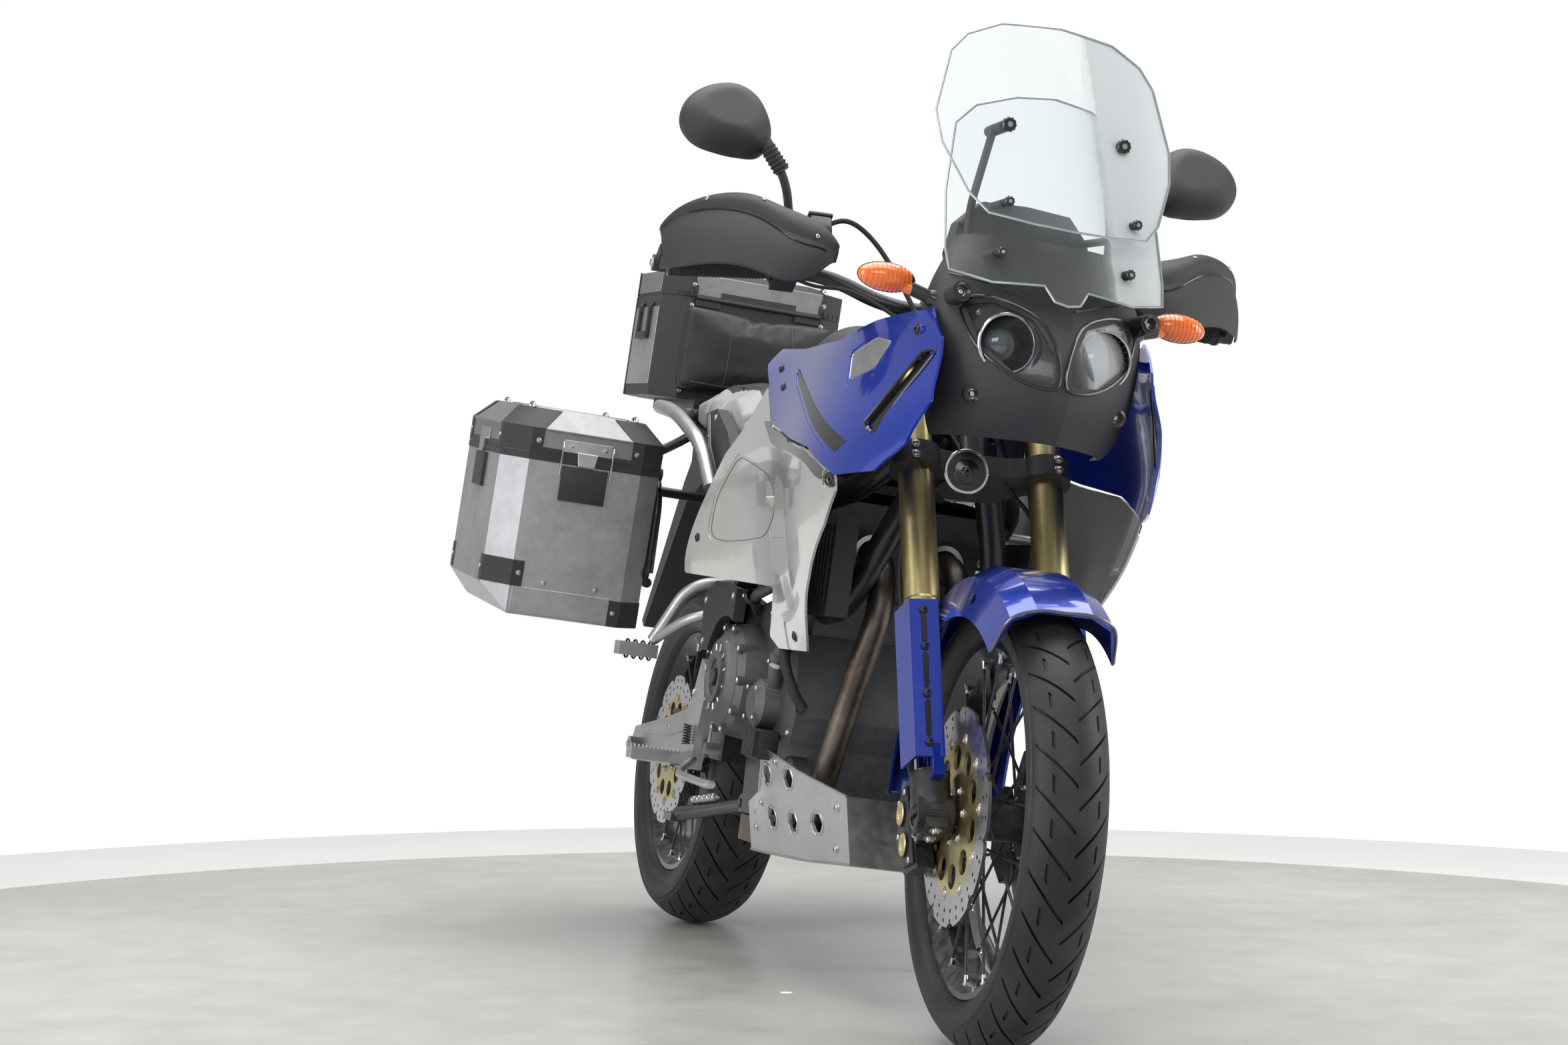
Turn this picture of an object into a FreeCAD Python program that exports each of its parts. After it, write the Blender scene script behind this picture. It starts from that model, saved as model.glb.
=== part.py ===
# Adventure touring motorcycle with three aluminium cases, leaning on its side stand.
# Units are millimetres. Every piece is modelled on the upright bike: x to the rider's left,
# y rearwards from the front axle, z up from the ground. A placement then leans the bike.
# What turns with the handlebar is modelled in the fork's own frame: its z runs up the
# steering axis and its origin is where the front axle's offset line meets that axis.
import FreeCAD, Part
import math
import os
import Sketcher

os.makedirs("parts", exist_ok=True)
doc = FreeCAD.newDocument("adventure_motorcycle")

# Driving dimensions: name, value, what it is
SIZES = [
    ("wheelbase", 1540.0, "front axle to rear axle"),
    ("lean_angle", 8.19, "degrees the parked bike leans to its left"),
    ("steer_angle", 4.37, "degrees the bar is turned to the right"),
    ("rake_angle", 28.0, "degrees of the steering axis from upright"),
    ("trail", 126.0, "ground trail"),
    ("front_radius", 329.3, "front tyre outer radius"),
    ("front_half_width", 57.0, "front tyre half width"),
    ("front_lip_radius", 253.0, "front rim lip radius"),
    ("front_rim_half", 38.0, "front rim half width"),
    ("rear_radius", 320.9, "rear tyre outer radius"),
    ("rear_half_width", 75.0, "rear tyre half width"),
    ("rear_lip_radius", 227.0, "rear rim lip radius"),
    ("rear_rim_half", 57.0, "rear rim half width"),
    ("tyre_wall", 10.0, "tyre thickness at the crown"),
    ("rim_wall", 5.0, "rim thickness"),
    ("spoke_count", 36.0, "spokes in each wheel"),
    ("spoke_radius", 2.2, "spoke wire radius"),
    ("hub_radius", 30.0, "front hub barrel radius"),
    ("hub_flange", 52.0, "front hub flange radius"),
    ("disc_radius", 155.0, "front brake disc radius"),
    ("disc_x", 66.0, "front disc centre plane from the middle"),
    ("disc_thick", 5.0, "brake disc thickness"),
    ("rear_disc_radius", 141.0, "rear brake disc radius"),
    ("rear_disc_x", 79.0, "rear disc centre plane from the middle"),
    ("axle_radius", 12.0, "front axle radius"),
    ("rear_axle_radius", 14.0, "rear axle radius"),
    ("fork_x", 102.0, "fork leg from the middle"),
    ("fork_outer_radius", 27.0, "gold fork tube radius"),
    ("fork_inner_radius", 21.5, "chromed fork tube radius"),
    ("fork_low", 300.0, "lower end of the gold tube above the axle, along the leg"),
    ("fork_top", 775.0, "upper end of the gold tube"),
    ("lower_clamp", 560.0, "lower triple clamp height along the axis"),
    ("upper_clamp", 735.0, "upper triple clamp height"),
    ("clamp_thick", 34.0, "triple clamp thickness"),
    ("bar_radius", 14.0, "handlebar radius"),
    ("bar_half", 460.0, "handlebar half width"),
    ("grip_radius", 17.5, "grip radius"),
    ("frame_tube", 21.0, "main frame tube radius"),
    ("subframe_tube", 13.0, "subframe tube radius"),
    ("rack_tube", 9.0, "pannier rack tube radius"),
    ("head_tube", 30.0, "steering head outer radius"),
    ("panel_wall", 4.0, "body panel thickness"),
    ("screen_wall", 4.0, "windscreen thickness"),
    ("plate_wall", 4.0, "skid plate thickness"),
    ("pivot_y", 1000.0, "swingarm pivot behind the front axle"),
    ("pivot_z", 400.0, "swingarm pivot height"),
    ("case_wall", 2.5, "aluminium case wall"),
    ("pannier_length", 400.0, "pannier length"),
    ("pannier_inner", 245.0, "pannier inner face from the middle"),
    ("pannier_outer", 540.0, "pannier outer face from the middle"),
    ("pannier_front", 1250.0, "pannier front face behind the front axle"),
    ("pannier_base", 533.0, "pannier underside at its front"),
    ("pannier_body", 290.0, "pannier body height"),
    ("pannier_lid", 80.0, "pannier lid height"),
    ("pannier_pitch", 4.6, "degrees the panniers rise to the rear"),
    ("case_chamfer", 45.0, "flat across the case's upright corners"),
    ("top_front", 1655.0, "top case front face"),
    ("top_length", 300.0, "top case length"),
    ("top_half", 182.0, "top case half width"),
    ("top_base", 996.0, "top case underside"),
    ("top_body", 200.0, "top case body height"),
    ("top_lid", 60.0, "top case lid height"),
    ("top_pitch", 3.0, "degrees the top case rises to the rear"),
    ("peg_x", 240.0, "rider footpeg middle from the middle"),
    ("stand_pivot_y", 800.0, "side stand pivot behind the front axle"),
    ("stand_pivot_z", 300.0, "side stand pivot height"),
    ("stand_radius", 14.0, "side stand leg radius"),
    ("run_clear", 0.3, "clearance between pieces that turn"),
    ("slider_base", 60.0, "lower end of the bright inner tube above the axle"),
    ("disc_bore", 24.0, "hole in a brake disc's middle"),
    ("disc_window", 18.0, "radius of a front carrier's window"),
    ("disc_window_at", 84.0, "centres of the front carrier's windows from the axle"),
    ("rear_disc_bore", 30.0, "hole in the rear disc's middle"),
    ("rear_disc_window", 15.0, "radius of a rear carrier's window"),
    ("rear_disc_window_at", 78.0, "centres of the rear carrier's windows from the axle"),
    ("disc_wave", 21.0, "radius of a scallop in a disc's rim"),
    ("disc_wave_in", 15.0, "how far a scallop's centre lies outside the rim"),
    ("disc_hole", 3.2, "radius of a disc's small holes"),
    ("caliper_length", 80.0, "rear caliper length"),
    ("caliper_height", 70.0, "rear caliper height"),
    ("caliper_width", 51.7, "rear caliper width"),
    ("caliper_slot", 16.4, "room for the rear disc in its caliper"),
    ("lamp_width", 140.0, "tail lamp width"),
    ("lamp_depth", 21.7, "tail lamp depth"),
    ("lamp_height", 34.0, "tail lamp height"),
    ("pad_width", 300.0, "backrest width"),
    ("pad_depth", 49.7, "backrest depth"),
    ("pad_height", 160.0, "backrest height"),
    ("pad_round", 12.0, "backrest edge radius"),
]

sheet = doc.addObject("Spreadsheet::Sheet", "sizes")
for row, (name, value, meaning) in enumerate(SIZES, start=1):
    sheet.set("A%d" % row, meaning)
    sheet.set("B%d" % row, str(value))
    sheet.setAlias("B%d" % row, name)
DERIVED = [
    ("axle_offset", "=front_radius * sin(rake_angle * 1deg) - trail * cos(rake_angle * 1deg)",
     "front axle ahead of the steering axis"),
    ("leg_y", "=-axle_offset", "fork leg in the fork frame"),
    ("slider_length", "=fork_low - slider_base", "bright length of the inner tube"),
    ("disc_face", "=disc_x - disc_thick / 2", "inner face of a front disc"),
    ("rear_disc_face", "=-rear_disc_x - disc_thick / 2", "outer face of the rear disc"),
    ("caliper_y", "=wheelbase - 158", "front end of the rear caliper"),
    ("caliper_slot_y", "=caliper_y + 11", "front end of the caliper's disc slot"),
]
for row, (name, formula, meaning) in enumerate(DERIVED, start=len(SIZES) + 1):
    sheet.set("A%d" % row, meaning)
    sheet.set("B%d" % row, formula)
    sheet.setAlias("B%d" % row, name)
doc.recompute()


def size(name):
    """A driving dimension, read from the sheet."""
    return float(sheet.get(name))


def vec(x, y, z):
    return FreeCAD.Vector(x, y, z)


# Frames: the leaning bike and the turned fork
RAKE = math.radians(size("rake_angle"))
FRONT_R = size("front_radius")
REAR_R = size("rear_radius")
WHEELBASE = size("wheelbase")
AXLE_OFFSET = FRONT_R * math.sin(RAKE) - size("trail") * math.cos(RAKE)
FORK_ORIGIN = vec(0, AXLE_OFFSET * math.cos(RAKE), FRONT_R - AXLE_OFFSET * math.sin(RAKE))

LEAN = FreeCAD.Placement(vec(0, 0, 0), FreeCAD.Rotation(vec(0, 1, 0), size("lean_angle")))
FORK_TILT = FreeCAD.Placement(FORK_ORIGIN, FreeCAD.Rotation(vec(1, 0, 0), -size("rake_angle")))
STEER = FreeCAD.Placement(vec(0, 0, 0), FreeCAD.Rotation(vec(0, 0, 1), -size("steer_angle")))
FORK = FORK_TILT.multiply(STEER)

pieces = {}


def keep(label, obj, frame="bike"):
    """Register a sub-part's object with the frame that it is placed in."""
    obj.Label = label
    pieces[label] = (obj, frame)
    return obj


def feature(label, shape, frame="bike"):
    """A sub-part whose outline neither a sketch nor a primitive fits."""
    obj = doc.addObject("Part::Feature", label)
    obj.Shape = shape
    return keep(label, obj, frame)


# Shape makers

def tube_path(points):
    """Straight runs joined by tangent arcs as large as the runs allow."""
    pts = [vec(*p) for p in points]
    edges = []
    start = pts[0]
    for before, corner, after in zip(pts, pts[1:], pts[2:]):
        into = corner.sub(before)
        out = after.sub(corner)
        turn = into.getAngle(out)
        if turn < 0.01:
            continue
        reach = 0.45 * min(into.Length, out.Length)
        into.normalize()
        out.normalize()
        first = corner.sub(into * reach)
        last = corner.add(out * reach)
        radius = reach / math.tan(turn / 2)
        bisector = out.sub(into)
        bisector.normalize()
        centre = corner.add(bisector * (radius / math.cos(turn / 2)))
        middle = centre.sub(bisector * radius)
        if first.sub(start).Length > 1e-6:
            edges.append(Part.LineSegment(start, first).toShape())
        edges.append(Part.Arc(first, middle, last).toShape())
        start = last
    edges.append(Part.LineSegment(start, pts[-1]).toShape())
    return Part.Wire(edges)


def tube(points, radius):
    """A round tube or rod along a path of runs and arcs."""
    path = tube_path(points)
    start = vec(*points[0])
    direction = vec(*points[1]).sub(start)
    ring = Part.Wire([Part.makeCircle(radius, start, direction)])
    return path.makePipeShell([ring], True, True)


def rod(start, end, radius):
    a = vec(*start)
    d = vec(*end).sub(a)
    return Part.makeCylinder(radius, d.Length, a, d)


def closed(points):
    pts = [vec(*p) for p in points]
    return Part.makePolygon(pts + [pts[0]])


def side_prism(outline, x_from, x_to):
    """A prism across the bike from an outline of (y, z) points."""
    face = Part.Face(closed([(x_from, y, z) for y, z in outline]))
    return face.extrude(vec(x_to - x_from, 0, 0))


def front_prism(outline, y_from, y_to):
    """A prism along the bike from an outline of (x, z) points."""
    face = Part.Face(closed([(x, y_from, z) for x, z in outline]))
    return face.extrude(vec(0, y_to - y_from, 0))


def top_prism(outline, z_from, z_to):
    """An upright prism from an outline of (x, y) points."""
    face = Part.Face(closed([(x, y, z_from) for x, y in outline]))
    return face.extrude(vec(0, 0, z_to - z_from))


def revolved(profile, axis_point, axis_dir):
    """A turned solid from a closed profile of 3-D points."""
    face = Part.Face(closed(profile))
    return face.revolve(vec(*axis_point), vec(*axis_dir), 360)


def turned_x(profile, y, z):
    """A solid turned about a cross axis at y, z, from (x, radius) points."""
    return revolved([(x, y, z + r) for x, r in profile], (0, y, z), (1, 0, 0))


def box(x0, x1, y0, y1, z0, z1):
    return Part.makeBox(x1 - x0, y1 - y0, z1 - z0, vec(x0, y0, z0))


def mirrored(shape):
    return shape.mirror(vec(0, 0, 0), vec(1, 0, 0))


def both(shape):
    """The piece and its mirror image across the bike."""
    return [shape, mirrored(shape)]


def joined(shapes):
    shapes = list(shapes)
    result = shapes[0]
    if len(shapes) > 1:
        result = shapes[0].multiFuse(shapes[1:])
    return result.removeSplitter()


def compound(shapes):
    return Part.makeCompound(list(shapes))


def spline(points):
    """A smooth curve through points."""
    curve = Part.BSplineCurve()
    curve.interpolate([vec(*p) for p in points])
    return curve.toShape()


def smooth_ring(points):
    """A closed smooth curve through points."""
    curve = Part.BSplineCurve()
    curve.interpolate([vec(*p) for p in points], True)
    return Part.Wire(curve.toShape())


def bowed_ring(right):
    """A section whose sides are smooth curves, from its right side and that side's mirror image."""
    left = [(-x, y, z) for x, y, z in reversed(right)]
    runs = [spline(right), spline(left)]
    if abs(right[-1][0]) > 0.01:
        runs.insert(1, Part.LineSegment(vec(*right[-1]), vec(*left[0])).toShape())
    if abs(right[0][0]) > 0.01:
        runs.append(Part.LineSegment(vec(*left[-1]), vec(*right[0])).toShape())
    return Part.Wire(runs)


def soft_prism(outline, x_from, x_to, radius):
    """A sideways prism with its corners rounded."""
    prism = side_prism(outline, x_from, x_to)
    return prism.makeFillet(radius, edges_along(prism, (1, 0, 0)))


def edges_along(shape, direction):
    """Straight edges that run along one axis."""
    found = []
    for edge in shape.Edges:
        if edge.Curve.TypeId == "Part::GeomLine":
            d = edge.Curve.Direction
            if abs(abs(d.dot(vec(*direction))) - 1) < 1e-4:
                found.append(edge)
    return found


# Turned bodies from a sketch in the body's own XY plane, about its X axis

def body_plane(body, role):
    return [f for f in body.Origin.OriginFeatures if f.Role == role][0]


def add_outline(sketch, start, steps):
    """Steps are ("to", point) for a line or ("arc", via, point) for an arc."""
    here = start
    for step in steps:
        end = step[-1]
        if step[0] == "to":
            sketch.addGeometry(Part.LineSegment(vec(*here, 0), vec(*end, 0)), False)
        else:
            sketch.addGeometry(Part.Arc(vec(*here, 0), vec(*step[1], 0), vec(*end, 0)), False)
        here = end


def turned_body(label, start, steps, frame="bike"):
    body = doc.addObject("PartDesign::Body", label)
    sketch = body.newObject("Sketcher::SketchObject", label + "_profile")
    sketch.AttachmentSupport = [(body_plane(body, "XY_Plane"), "")]
    sketch.MapMode = "FlatFace"
    add_outline(sketch, start, steps)
    turn = body.newObject("PartDesign::Revolution", label + "_turn")
    turn.Profile = sketch
    turn.ReferenceAxis = (sketch, ["H_Axis"])
    turn.Angle = 360.0
    body.Tip = turn
    sketch.Visibility = False
    return keep(label, body, frame)


def bound(kind, label, cells, base=(0, 0, 0)):
    """A primitive whose sizes, and where given its place, follow the sheet."""
    obj = doc.addObject("Part::" + kind, label)
    obj.Placement.Base = vec(*base)
    for prop, expression in cells.items():
        obj.setExpression(prop, expression)
    return obj


def round_all(label, base, radius):
    """Rounds every edge of a primitive."""
    doc.recompute()
    rounded = doc.addObject("Part::Fillet", label)
    rounded.Base = base
    rounded.Edges = [(index + 1, radius, radius) for index in range(len(base.Shape.Edges))]
    return rounded


def circle_sketch(body, label, offset, circles):
    """Circles on the plane square to the wheel's axis, each with its radius and place from the sheet."""
    sketch = body.newObject("Sketcher::SketchObject", label)
    sketch.AttachmentSupport = [(body_plane(body, "YZ_Plane"), "")]
    sketch.MapMode = "FlatFace"
    sketch.setExpression("AttachmentOffset.Base.z", offset)
    for radius, out in circles:
        index = sketch.addGeometry(Part.Circle(vec(0, 0, 0), vec(0, 0, 1), 5), False)
        at = sketch.addConstraint(Sketcher.Constraint("Radius", index, 5))
        sketch.setExpression("Constraints[%d]" % at, radius)
        sketch.addConstraint(Sketcher.Constraint("PointOnObject", index, 3, -1))
        at = sketch.addConstraint(Sketcher.Constraint("DistanceX", -1, 1, index, 3, 1))
        sketch.setExpression("Constraints[%d]" % at, out)
    return sketch


def disc_body(label, cells, waves, windows, holes):
    """A waved and pierced brake disc: one pad, a bore and three patterned pockets."""
    face, outer, bore, window, window_at = cells
    body = doc.addObject("PartDesign::Body", label)
    blank = body.newObject("PartDesign::Pad", label + "_blank")
    blank.Profile = circle_sketch(body, label + "_rim", face, [(outer, "0")])
    blank.setExpression("Length", "sizes.disc_thick")
    middle = body.newObject("PartDesign::Pocket", label + "_bore")
    middle.Profile = circle_sketch(body, label + "_middle", face, [(bore, "0")])
    middle.Type = "ThroughAll"
    middle.Midplane = True
    scallop_at = outer + " + sizes.disc_wave_in"
    rows = [(outer + " - 9", "sizes.disc_hole"), (outer + " - 23", "sizes.disc_hole")]
    for name, circles, count in (("scallop", [("sizes.disc_wave", scallop_at)], waves),
                                 ("window", [(window, window_at)], windows),
                                 ("hole", [(radius, at) for at, radius in rows], holes)):
        pocket = body.newObject("PartDesign::Pocket", label + "_" + name)
        profile = circle_sketch(body, label + "_" + name + "_profile", face, circles)
        pocket.Profile = profile
        pocket.Type = "ThroughAll"
        pocket.Midplane = True
        pattern = body.newObject("PartDesign::PolarPattern", label + "_" + name + "s")
        pattern.Originals = [pocket]
        pattern.Axis = (profile, ["N_Axis"])
        pattern.Angle = 360
        pattern.Occurrences = count
        body.Tip = pattern
    return body


# Wheels, each modelled about its own axle

def tyre_steps(radius, half, lip, rim_half):
    """Outer carcass with a round crown, and an inner wall that opens to the rim."""
    wall = size("tyre_wall")
    bead = rim_half - size("rim_wall") - 1.3
    shoulder = radius - 0.085 * radius - 3.5
    start = (-bead, lip - 11.5)
    steps = [
        ("to", (-bead, lip + 0.6)),
        ("to", (-rim_half - 2.0, lip + 3.0)),
        ("arc", (-half, (lip + shoulder) / 2), (-half + 5.0, shoulder)),
        ("arc", (0, radius), (half - 5.0, shoulder)),
        ("arc", (half, (lip + shoulder) / 2), (rim_half + 2.0, lip + 3.0)),
        ("to", (bead, lip + 0.6)),
        ("to", (bead, lip - 11.5)),
        ("to", (bead - wall, lip - 11.5)),
        ("to", (bead - wall, lip + 2.0)),
        ("arc", (half - wall, (lip + shoulder) / 2), (half - wall - 5.0, shoulder - wall / 2)),
        ("arc", (0, radius - wall), (-half + wall + 5.0, shoulder - wall / 2)),
        ("arc", (-half + wall, (lip + shoulder) / 2), (-bead + wall, lip + 2.0)),
        ("to", (-bead + wall, lip - 11.5)),
        ("to", start),
    ]
    return start, steps


def rim_steps(lip, half):
    """Two lips, bead seats and a well."""
    wall = size("rim_wall")
    seat = lip - 12.0
    start = (-half, lip)
    steps = [
        ("to", (-half, lip - 9.0)),
        ("to", (-half + 8.0, seat - wall)),
        ("to", (-half + 20.0, seat - 12.0 - wall)),
        ("to", (half - 20.0, seat - 12.0 - wall)),
        ("to", (half - 8.0, seat - wall)),
        ("to", (half, lip - 9.0)),
        ("to", (half, lip)),
        ("to", (half - wall, lip)),
        ("to", (half - wall - 1.0, seat)),
        ("to", (half - 15.0, seat)),
        ("to", (half - 22.0, seat - 12.0)),
        ("to", (-half + 22.0, seat - 12.0)),
        ("to", (-half + 15.0, seat)),
        ("to", (-half + wall + 1.0, seat)),
        ("to", (-half + wall, lip)),
        ("to", start),
    ]
    return start, steps


def spoked_hub(barrel, flange, half, flange_x, rim_lip, rim_half, bore, rim):
    """A hub barrel with two flanges and crossed spokes that end in the rim's outer lips."""
    profile = [
        (-half, bore), (-half, barrel), (-flange_x - 8, barrel + 4), (-flange_x - 4, flange),
        (-flange_x + 2, flange), (-flange_x + 8, barrel), (flange_x - 8, barrel),
        (flange_x - 2, flange), (flange_x + 4, flange), (flange_x + 8, barrel + 4),
        (half, barrel), (half, bore),
    ]
    hub = turned_x(profile, 0, 0)
    count = int(size("spoke_count"))
    spokes = []
    reach = rim_lip - 12.0 - size("rim_wall")
    for index in range(count):
        side = 1 if index % 2 else -1
        lean = 1 if (index // 2) % 2 else -1
        angle = 2 * math.pi * index / count
        foot = angle + lean * math.radians(38)
        root = (side * (flange_x - 1), (flange - 4) * math.cos(foot), (flange - 4) * math.sin(foot))
        tip = (side * (rim_half - 13.0), reach * math.cos(angle), reach * math.sin(angle))
        spokes.append(rod(root, tip, size("spoke_radius")))
    return joined([hub] + [spoke.cut(rim) for spoke in spokes])


FRONT_LIP = size("front_lip_radius")
FRONT_RIM = size("front_rim_half")
REAR_LIP = size("rear_lip_radius")
REAR_RIM = size("rear_rim_half")
CLEAR = size("run_clear")

start, steps = tyre_steps(FRONT_R, size("front_half_width"), FRONT_LIP, FRONT_RIM)
turned_body("front_tyre", start, steps, "front_axle")
start, steps = rim_steps(FRONT_LIP, FRONT_RIM)
front_rim = turned_body("front_rim", start, steps, "front_axle")
doc.recompute()
FRONT_FLANGE = 36.0
REAR_FLANGE = 44.0
front_hub = spoked_hub(size("hub_radius"), size("hub_flange"), size("disc_face") - CLEAR, FRONT_FLANGE, FRONT_LIP,
                       FRONT_RIM, size("axle_radius") + CLEAR, front_rim.Shape)
feature("front_hub", front_hub, "front_axle")

disc_x = size("disc_x")
WAVES = 10
WINDOWS = 10
HOLES = 30
left_disc = disc_body("left_disc", ("sizes.disc_face", "sizes.disc_radius", "sizes.disc_bore",
                                    "sizes.disc_window", "sizes.disc_window_at"), WAVES, WINDOWS, HOLES)
right_disc = doc.addObject("Part::Mirroring", "right_disc")
right_disc.Source = left_disc
right_disc.Normal = (1, 0, 0)
front_discs = doc.addObject("Part::Compound", "front_discs")
front_discs.Links = [left_disc, right_disc]
keep("front_discs", front_discs, "front_axle")

start, steps = tyre_steps(REAR_R, size("rear_half_width"), REAR_LIP, REAR_RIM)
turned_body("rear_tyre", start, steps, "rear_axle")
start, steps = rim_steps(REAR_LIP, REAR_RIM)
rear_rim = turned_body("rear_rim", start, steps, "rear_axle")
doc.recompute()
rear_half = size("rear_disc_x") - size("disc_thick") / 2 - CLEAR
rear_hub = spoked_hub(38.0, 62.0, rear_half, REAR_FLANGE, REAR_LIP, REAR_RIM, size("rear_axle_radius") + CLEAR,
                      rear_rim.Shape)
feature("rear_hub", rear_hub, "rear_axle")
rear_disc = disc_body("rear_disc", ("sizes.rear_disc_face", "sizes.rear_disc_radius", "sizes.rear_disc_bore",
                                    "sizes.rear_disc_window", "sizes.rear_disc_window_at"), WAVES, WINDOWS, HOLES)
keep("rear_disc", rear_disc, "rear_axle")

# Fork and what turns with it, in the fork frame
FX = size("fork_x")
LEG_Y = -AXLE_OFFSET
FO = size("fork_outer_radius")
FI = size("fork_inner_radius")
fork_low = size("fork_low")
fork_top = size("fork_top")
lower_clamp = size("lower_clamp")
upper_clamp = size("upper_clamp")
clamp_thick = size("clamp_thick")

upper_tube = revolved([
    (FX, LEG_Y, fork_low), (FX + FO + 4, LEG_Y, fork_low), (FX + FO + 4, LEG_Y, fork_low + 16),
    (FX + FO + 1.5, LEG_Y, fork_low + 20), (FX + FO + 1.5, LEG_Y, fork_low + 34),
    (FX + FO, LEG_Y, fork_low + 38), (FX + FO, LEG_Y, fork_top), (FX, LEG_Y, fork_top),
], (FX, LEG_Y, 0), (0, 0, 1))
feature("fork_outer_tubes", compound(both(upper_tube)), "fork")

sliders = []
for side, sign in (("left", ""), ("right", "-")):
    sliders.append(bound("Cylinder", side + "_slider", {
        "Radius": "sizes.fork_inner_radius", "Height": "sizes.slider_length",
        ".Placement.Base.x": sign + "sizes.fork_x", ".Placement.Base.y": "sizes.leg_y",
        ".Placement.Base.z": "sizes.slider_base"}))
fork_inner_tubes = doc.addObject("Part::Compound", "fork_inner_tubes")
fork_inner_tubes.Links = sliders
keep("fork_inner_tubes", fork_inner_tubes, "fork")

carrier = joined([
    rod((FX, LEG_Y, -4), (FX, LEG_Y, 60), FI + 7),
    rod((FX - 26, LEG_Y, 0), (FX + 24, LEG_Y, 0), 27),
    box(FX - 10, FX + 10, LEG_Y, LEG_Y + 60, 40, 58),
    box(FX - 10, FX + 10, LEG_Y, LEG_Y + 60, -8, 10),
])
front_axle = rod((-123, LEG_Y, 0), (123, LEG_Y, 0), size("axle_radius"))
AXLE_BORE = 8.0
AXLE_END = FX + 24
axle_bore = rod((AXLE_END - 44, LEG_Y, 0), (AXLE_END + 1, LEG_Y, 0), AXLE_BORE)
feature("fork_lowers", joined(both(carrier) + [front_axle]).cut(both(axle_bore)), "fork")


def caliper(x_mid):
    """A four-piston caliper astride its disc, behind the leg."""
    outline = [(LEG_Y + 84, -44), (LEG_Y + 150, -30), (LEG_Y + 182, 26), (LEG_Y + 150, 96),
               (LEG_Y + 104, 104), (LEG_Y + 96, 40)]
    block = side_prism(outline, x_mid - 22, x_mid + 34)
    slot = rod((x_mid - 8, LEG_Y, 0), (x_mid + 8, LEG_Y, 0), size("disc_radius") + 6)
    return block.cut(slot)


calipers = [caliper(disc_x), mirrored(caliper(disc_x))]
lugs = both(joined([
    box(FX - 10, FX - 2, LEG_Y + 60.3, LEG_Y + 96, -8, 10),
    box(FX - 10, FX - 2, LEG_Y + 60.3, LEG_Y + 104, 40, 58),
]))
feature("front_calipers", compound([joined(pair) for pair in zip(calipers, lugs)]), "fork")


def clamp(height, half):
    """A triple clamp: two bored ears and a web to the stem."""
    web = top_prism([(-FX, LEG_Y + 20), (-FX, LEG_Y - 26), (-40, LEG_Y - 12), (40, LEG_Y - 12),
                     (FX, LEG_Y - 26), (FX, LEG_Y + 20), (34, 26), (-34, 26)], height, height + clamp_thick)
    ears = [rod((s * FX, LEG_Y, height), (s * FX, LEG_Y, height + clamp_thick), FO + 12) for s in (-1, 1)]
    bores = [rod((s * FX, LEG_Y, height - 1), (s * FX, LEG_Y, height + clamp_thick + 1), FO) for s in (-1, 1)]
    return joined([web] + ears).cut(bores)


stem = rod((0, 0, lower_clamp), (0, 0, upper_clamp + clamp_thick), 15)
bar_z = upper_clamp + 135
risers = [rod((s * 48, 5, upper_clamp + clamp_thick), (s * 48, 5, bar_z + 18), 15) for s in (-1, 1)]
clamps = joined([clamp(lower_clamp, FX), clamp(upper_clamp, FX), stem] + risers)
BAR = size("bar_radius")
GRIP = size("grip_radius")
bar_half = size("bar_half")
bar_path = [(0, 5, bar_z + BAR), (120, 5, bar_z + BAR), (210, 16, bar_z + 65), (300, 30, bar_z + 78)]
half_bar = tube(bar_path, BAR - 2)
handlebar = joined([half_bar, mirrored(half_bar)])
feature("triple_clamps", clamps.cut(handlebar), "fork")
grip_from = bar_path[-1]
grip_to = (bar_half, 62, bar_z + 82)
grips = [rod(grip_from, grip_to, GRIP)]
switch_box = box(262, 300, 8, 50, bar_z + 50, bar_z + 98)
feature("handlebar", handlebar.cut(compound(both(switch_box))), "fork")
lever = tube([(276, -12, bar_z + 72), (330, -38, bar_z + 72), (bar_half - 20, -14, bar_z + 76)], 6)
lever_root = box(262, 290, -30, 8, bar_z + 56, bar_z + 88)
controls = joined(grips + [switch_box, lever, lever_root])
feature("hand_controls", compound(both(controls.cut(handlebar))), "fork")


# Handguard stations in the fork frame: x, front y, lower z, upper z, where its upper layer starts
GUARD = [
    (228, -104, 892, 912, 900), (251, -118, 868, 940, 886), (303, -130, 828, 954, 888),
    (358, -122, 846, 979, 928), (400, -98, 868, 994, 954), (448, -46, 892, 1004, 980), (478, 20, 926, 1002, 988),
]
GUARD_WALL = 5.0
GUARD_STEP = 6.0
GUARD_BOW = 16.0


def guard_layer(from_step, proud):
    """A smooth bowed shell through the stations, from their lower or their stepped edge up."""
    wires = []
    for x, y, low, high, step in GUARD:
        z0 = step if from_step else low
        front = [(x, y + GUARD_BOW - proud, z0), (x, y - proud, (z0 + high) / 2), (x, y + GUARD_BOW - proud, high)]
        back = [(px, py + GUARD_WALL, pz) for px, py, pz in reversed(front)]
        ends = [Part.LineSegment(vec(*front[-1]), vec(*back[0])).toShape(),
                Part.LineSegment(vec(*back[-1]), vec(*front[0])).toShape()]
        wires.append(Part.Wire([spline(front), ends[0], spline(back), ends[1]]))
    return Part.makeLoft(wires, True, False)


def handguard():
    """A guard in front of the grip: a lower shell and a cap over its upper part."""
    return joined([guard_layer(False, 0.0), guard_layer(True, GUARD_STEP - GUARD_WALL + 4.0)])


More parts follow.
